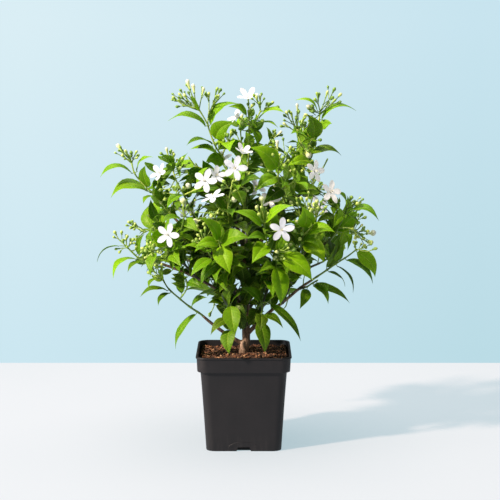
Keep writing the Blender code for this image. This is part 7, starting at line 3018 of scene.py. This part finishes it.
def make_leafy_stem(name, grown, filling, finishes):
    """A leafy stem: twigs, leaves, buds and flower stalks."""
    rng = random.Random(name + "_fine")
    pile = Pile()
    before, end = limb_points(name)[-2:]
    limb_end = end - (end - before).normalized() * 3 * MM
    bases = [one.port.middle for one in grown.blades + filling.blades + grown.buds]
    bases += [spray.start.middle for spray in filling.sprays] + [bead.start for bead in filling.beads]
    bases += [stalk.points[0] for stalk in stalks_of(grown)]
    for k, twig in enumerate(grown.twigs):
        start = limb_end if k == 0 else None
        if k:
            along = (twig.points[1] - twig.points[0]).normalized()
            start = twig.points[0] - along * 0.5 * MM
        reach = 1 if STEMS[name].leaves else bearing_reach(twig, bases)
        fresh = shown(twig.points[0]).y < FRESH_ROW and STEMS[name].leaves
        add_twig(pile, twig, rng, start, FRESH_SHADE if fresh else TWIG_SHADE, reach)
    for spot, shoot in filling.shoots:
        add_twig(pile, shoot, rng, spot, SHOOT_SHADE)
    for blade in [blade for blade in grown.blades if not left_out(blade)] + filling.blades:
        if blade.leaf and blade.leaf.tip in LEAF_WIDTHS:
            blade.width = LEAF_WIDTHS[blade.leaf.tip] * MM
        tint = (leaf_tone_and_painted_shade(blade, rng), rng.random(), rng.random())
        add_leaf(pile, blade, tint, rng, base_of(blade))
    for place in grown.buds:
        add_grown_bud(pile, place, rng)
    for bead in filling.beads:
        add_bead(pile, bead, rng)
    for spray in filling.sprays:
        add_spray(pile, spray, rng)
    for place, stalk in zip(grown.blooms, stalks_of(grown)):
        line, _ = smooth_line(stalk.points, STALK_STEP)
        pile.tube(line, tapered(*STALK_RADII, len(line)), 6, TWIG, STALK_TINT)
    pile.build("foliage_" + name, finishes, "leaf", "stem_" + name)


CLUB_ROW = 152
CLUB_BACK = 4 * MM
CLUB_SHORTER = 3.5 * MM
CLUB_RADIUS = 2.7 * MM
PEARL_RADIUS = 4.2 * MM
SMALL_CLUB_RADIUS = 2.0 * MM
SMALL_CLUB_SHARE = 0.55
ROUND_RADIUS = 2.3 * MM
ROUND_SHARE = 0.65
SLENDER_RADIUS = 2.4 * MM
SMALL_SIDES = 9
BUD_STALK_RADIUS = 0.7 * MM
BEAD_STALK_RADIUS = 0.5 * MM

# How pale buds and their stalks are: those high up in the crown, then the others
BIG_BUD_SHADES = (0.75, 1)
SMALL_BUD_SHADES = (0.05, 0.7)
BEAD_SHADES = ((0.0, 0.25), (0.1, 0.6))
PEDICEL_SHADES = ((0.3, 0.9), (0.5, 0.95))
BEAD_PEDICEL_SHADES = ((0.15, 0.8), (0.4, 0.95))
SPRAY_SHADES = (0.5, 0.9)


def random_tint(rng, shades):
    """A tint of a shade from a range, and two more numbers from 0 to 1."""
    return rng.uniform(*shades), rng.random(), rng.random()


def add_grown_bud(pile, place, rng):
    """A bud where the solid has one: a long club high up, a white pearl or a plain round bud."""
    start = place.port.middle - place.port.normal * 0.5 * MM
    way = (place.tip - place.foot).normalized()
    foot = place.foot
    tip = place.tip
    high = shown(tip).y < CLUB_ROW
    if place.radius > BUD_RADIUS:
        tint = random_tint(rng, BIG_BUD_SHADES)
        if high:
            foot = foot - way * CLUB_BACK
            tip = tip - way * CLUB_SHORTER
            add_bud(pile, foot, tip, CLUB_RADIUS, CLUB, 12, tint)
        else:
            add_bud(pile, foot, tip, PEARL_RADIUS, PEARL, 14, tint)
    else:
        tint = random_tint(rng, SMALL_BUD_SHADES)
        if high and rng.random() < SMALL_CLUB_SHARE:
            foot = foot - way * min(CLUB_BACK, (foot - start).length * 0.4)
            paler = (tint[0] + 0.2, tint[1], tint[2])
            add_bud(pile, foot, tip, SMALL_CLUB_RADIUS, CLUB, SMALL_SIDES, paler)
        elif rng.random() < ROUND_SHARE:
            add_bud(pile, foot, tip, ROUND_RADIUS, ROUND, SMALL_SIDES, tint)
        else:
            add_bud(pile, foot, tip, SLENDER_RADIUS, SLENDER, SMALL_SIDES, tint)
    skin = random_tint(rng, PEDICEL_SHADES[0 if high else 1])
    add_pedicel(pile, start, foot + way * 0.6 * MM, way, BUD_STALK_RADIUS, skin)


def add_bead(pile, bead, rng):
    """A small round bud on its own stalk."""
    way = (bead.tip - bead.foot).normalized()
    high = shown(bead.tip).y < CLUB_ROW
    tint = random_tint(rng, BEAD_SHADES[0 if high else 1])
    add_bud(pile, bead.foot, bead.tip, bead.radius, ROUND, 7, tint)
    skin = random_tint(rng, BEAD_PEDICEL_SHADES[0 if high else 1])
    add_pedicel(pile, bead.start, bead.foot + way * 0.4 * MM, way, BEAD_STALK_RADIUS, skin)


def add_spray(pile, spray, rng):
    """A stalk that forks at its knot into the stalks of small buds."""
    start = spray.start.middle - spray.start.normal * 0.5 * MM
    way = (spray.knot - spray.start.middle).normalized()
    skin = random_tint(rng, SPRAY_SHADES)
    add_pedicel(pile, start, spray.knot + way * SPRAY_KNOT, way, SPRAY_STALK_RADIUS, skin)
    for bead in spray.beads:
        add_bead(pile, bead, rng)


def stalks_of(grown):
    """The stalk of each open flower of a stem."""
    found = []
    for twig in grown.twigs:
        for sides in twig.used.values():
            found += [piece for piece in sides.values() if isinstance(piece, Stalk)]
    feet = [place.foot() for place in grown.blooms]
    return [min(found, key=lambda stalk: (stalk.points[-1] - foot).length) for foot in feet]


# How far some flowers are still closed, as the lean of their petals, and how pale and cream some are:
# a pink blush on some, and painted light on those that sit in shade
CLOSED_BLOOMS = {
    "bloom_bright_right": 0.3,
    "bloom_upper_centre_c": 0.55,
    "bloom_trunk_top": 0.45,
    "bloom_trunk_top_b": 0.35,
    "bloom_left_mid_b": 0.35,
    "bloom_left_shoot": 0.3,
}
BLUSHES_AND_SHADE_LIFTS = {
    "bloom_upper_right": 1.0,
    "bloom_right": 1.0,
    "bloom_trunk_top": 0.35,
    "bloom_trunk_top_b": 0.4,
    "bloom_upper_centre_c": 0.4,
    "bloom_bright_right": 0.8,
    "bloom_left_mid_b": 0.3,
}
LEAST_BLUSH_AND_LIFT = 0.05

Filling = namedtuple("Filling", "shoots blades beads sprays")
SPRAY_TRIES = 3


def grow_more_leaves(crowd, grown):
    """The leaves of the front drawing that the solids do without, where there is room."""
    for name, leaves in MORE_LEAVES.items():
        for leaf in leaves:
            candidates = (drawn_blade(grown[name].twigs, leaf, *fit, 0) for fit in DRAWN_TRIES)
            blade = first_that_fits(name, crowd, candidates)
            if blade:
                grown[name].blades.append(blade)


def grow_filling(crowd, grown, view):
    """What each stem has more than its solid: small buds and sprays first, then shoots and leaves."""
    twigs = {name: one.twigs for name, one in grown.items()}
    beads = grow_small_buds(twigs, crowd, random.Random("small_buds"))
    sprays = {}
    for name in STEMS:
        rng = random.Random("beads_" + name)
        beads[name] += grow_beads(grown[name], crowd, rng)
        tries = 0 if STEMS[name].leaves else SPRAY_TRIES
        sprays[name] = grow_sprays(twigs[name], crowd, rng, tries)
    for bead in [bead for group in beads.values() for bead in group]:
        view.keep_clear(shown(bead.tip), BEAD_CLEAR, depth_of(bead.tip))
    filling = {}
    for name in STEMS:
        owner = "fill_" + name
        rng = random.Random(owner)
        limb = limb_twig(name)
        shoots = grow_shoots(name, limb, crowd, rng)
        blades = fill_leaves(owner, [shoot for _, shoot in shoots], crowd, view, rng, FILL_LEAVES)
        blades += fill_leaves("trunk", [limb], crowd, view, rng, LIMB_LEAVES, LIMB_SPACING)
        blades += fill_leaves(name, twigs[name], crowd, view, rng, FILL_LEAVES)
        filling[name] = Filling(shoots, blades, beads[name], sprays[name])
    return filling


def cover_holes(crowd, grown, filling, view):
    """Leaves over the holes that are left, from any twig, shoot or limb nearby."""
    cover = Cover()
    bearers = []
    for name, one in grown.items():
        for blade in one.blades + filling[name].blades:
            cover.add(blade)
        bearers += [(name, name, twig) for twig in one.twigs]
        bearers += [(name, "fill_" + name, shoot) for _, shoot in filling[name].shoots]
        bearers.append((name, "trunk", limb_twig(name)))
    for name, blade in fill_holes(bearers, cover, crowd, view, random.Random("holes")):
        filling[name].blades.append(blade)


def make_flowers(name, grown, finishes):
    """The open flowers of a stem, a piece each."""
    rng = random.Random(name + "_flowers")
    for index, place in enumerate(grown.blooms):
        title = bloom_name(name, index)
        place.closed = CLOSED_BLOOMS.get(title, 0)
        # The petals' blush, and painted light for flowers in shade
        place.blush = BLUSHES_AND_SHADE_LIFTS.get(title, LEAST_BLUSH_AND_LIFT)
        pile = Pile()
        add_bloom(pile, place, rng)
        pile.build(title.replace("bloom", "flower"), finishes, "petal", title)


def make_plant():
    """Grows the plant and makes all its pieces, and the pot with its soil."""
    crowd, grown = grow()
    grow_more_leaves(crowd, grown)
    for one in grown.values():
        one.buds[:] = [bud for bud in one.buds if not near_wall(shown(bud.tip))]
    view = what_shows(grown)
    filling = grow_filling(crowd, grown, view)
    cover_holes(crowd, grown, filling, view)
    finishes = [leaf_top(), leaf_under(), twig_skin(), bud_skin()]
    flower_finishes = [petal_skin(), finishes[TWIG], anther_skin()]
    for name in STEMS:
        make_leafy_stem(name, grown[name], filling[name], finishes)
        make_flowers(name, grown[name], flower_finishes)
    make_pot(pot_plastic())
    make_soil(soil_skin(), chip_skin())
    make_trunk(bark_skin(), cut_wood())


# Stage

FLOOR_HALF = 4
FLOOR_FRONT = -4
FLOOR_BACK = 0.526
FLOOR_TONES = ((0.232, 0.193, 0.196), (0.242, 0.203, 0.206))
FLOOR_GLOW = 0.583
FLOOR_GLOW_COLOUR = (0.696, 0.916, 1.0)
CAMERA_FAR = 50


def make_floor():
    """A plain pale floor that ends where the photograph's table does."""
    mesh = bpy.data.meshes.new("floor")
    corners = [(-FLOOR_HALF, FLOOR_FRONT, 0), (FLOOR_HALF, FLOOR_FRONT, 0),
               (FLOOR_HALF, FLOOR_BACK, 0), (-FLOOR_HALF, FLOOR_BACK, 0)]
    mesh.from_pydata(corners, [], [(0, 1, 2, 3)])
    recipe = Recipe("floor_paint")
    tone = recipe.noise(2.5, 2)
    recipe.to("Base Color", recipe.mix(tone, *FLOOR_TONES))
    recipe.rough(tone, 0.55, 0.65)
    recipe.to("Specular IOR Level", 0.1)
    recipe.to("Emission Color", FLOOR_GLOW_COLOUR)
    recipe.to("Emission Strength", FLOOR_GLOW)
    mesh.materials.append(recipe.material)
    new_object("floor", mesh)


def make_camera():
    data = bpy.data.cameras.new("camera")
    data.sensor_width = SENSOR
    data.lens = EYE_FOCAL * SENSOR / DRAWING_SIZE
    data.clip_end = CAMERA_FAR
    camera = new_object("camera", data)
    camera.location = EYE
    camera.rotation_euler = (math.pi / 2 - EYE_DROP, 0, 0)
    bpy.context.scene.camera = camera


def aim(light, target):
    light.rotation_euler = (Vector(target) - light.location).to_track_quat("-Z", "Y").to_euler()


def make_area(name, place, target, wide, high, power, colour):
    data = bpy.data.lights.new(name, "AREA")
    data.shape = "RECTANGLE"
    data.size = wide
    data.size_y = high
    data.energy = power
    data.color = colour
    light = new_object(name, data)
    light.location = place
    aim(light, target)


SUN_FROM = (-0.857, -0.515, 0.6225)
SUN_POWER = 6.5
SUN_ANGLE = math.radians(4)
SUN_COLOUR = (1.0, 0.82, 0.68)


def make_lights():
    data = bpy.data.lights.new("sun", "SUN")
    data.energy = SUN_POWER
    data.angle = SUN_ANGLE
    data.color = SUN_COLOUR
    sun = new_object("sun", data)
    sun.location = SUN_FROM
    aim(sun, (0, 0, 0))
    make_area("left_window", (-1.7, -0.3, 0.8), (0, 0, 0.3), 1.0, 1.4, 10, (0.92, 0.97, 1.0))
    make_area("top_window", (-0.1, 0.1, 1.9), (0, 0, 0.35), 1.6, 1.6, 30, (1.0, 0.98, 0.94))


# The wall's colours at the frame's corners, and the frame's edges as directions
WALL_TOP = ((0.701, 0.855, 0.913), (0.578, 0.776, 0.863))
WALL_LOW = ((0.604, 0.799, 0.879), (0.497, 0.716, 0.791))
WALL_SIDES = (-0.15, 0.15)
WALL_ENDS = (-0.2, 0.02)
ROOM_COLOUR = (0.80, 0.89, 0.92, 1)
ROOM_LIGHT = 0.26


def make_world():
    """A dim even light on the plant, and a pale blue wall behind it for the eye."""
    world = bpy.data.worlds.new("world")
    bpy.context.scene.world = world
    world.use_nodes = True
    tree = world.node_tree
    tree.nodes.clear()
    out = tree.nodes.new("ShaderNodeOutputWorld")
    wall = tree.nodes.new("ShaderNodeBackground")
    glow = tree.nodes.new("ShaderNodeBackground")
    glow.inputs[0].default_value = ROOM_COLOUR
    glow.inputs[1].default_value = ROOM_LIGHT
    place = tree.nodes.new("ShaderNodeTexCoord")
    split = tree.nodes.new("ShaderNodeSeparateXYZ")
    tree.links.new(place.outputs["Generated"], split.inputs[0])

    def share(value, ends):
        made = tree.nodes.new("ShaderNodeMapRange")
        made.inputs[1].default_value = ends[0]
        made.inputs[2].default_value = ends[1]
        tree.links.new(value, made.inputs[0])
        return made.outputs[0]

    def blend(factor, first, last):
        made = tree.nodes.new("ShaderNodeMix")
        made.data_type = "RGBA"
        tree.links.new(factor, made.inputs[0])
        for socket, value in ((made.inputs[6], first), (made.inputs[7], last)):
            if isinstance(value, tuple):
                socket.default_value = (*value, 1)
            else:
                tree.links.new(value, socket)
        return made.outputs[2]

    across = share(split.outputs[0], WALL_SIDES)
    rise = share(split.outputs[2], WALL_ENDS)
    colour = blend(rise, blend(across, *WALL_LOW), blend(across, *WALL_TOP))
    tree.links.new(colour, wall.inputs[0])
    path = tree.nodes.new("ShaderNodeLightPath")
    mix = tree.nodes.new("ShaderNodeMixShader")
    tree.links.new(path.outputs["Is Camera Ray"], mix.inputs[0])
    tree.links.new(glow.outputs[0], mix.inputs[1])
    tree.links.new(wall.outputs[0], mix.inputs[2])
    tree.links.new(mix.outputs[0], out.inputs[0])
    bpy.context.scene.view_settings.view_transform = "Standard"


make_plant()
make_floor()
make_camera()
make_lights()
make_world()
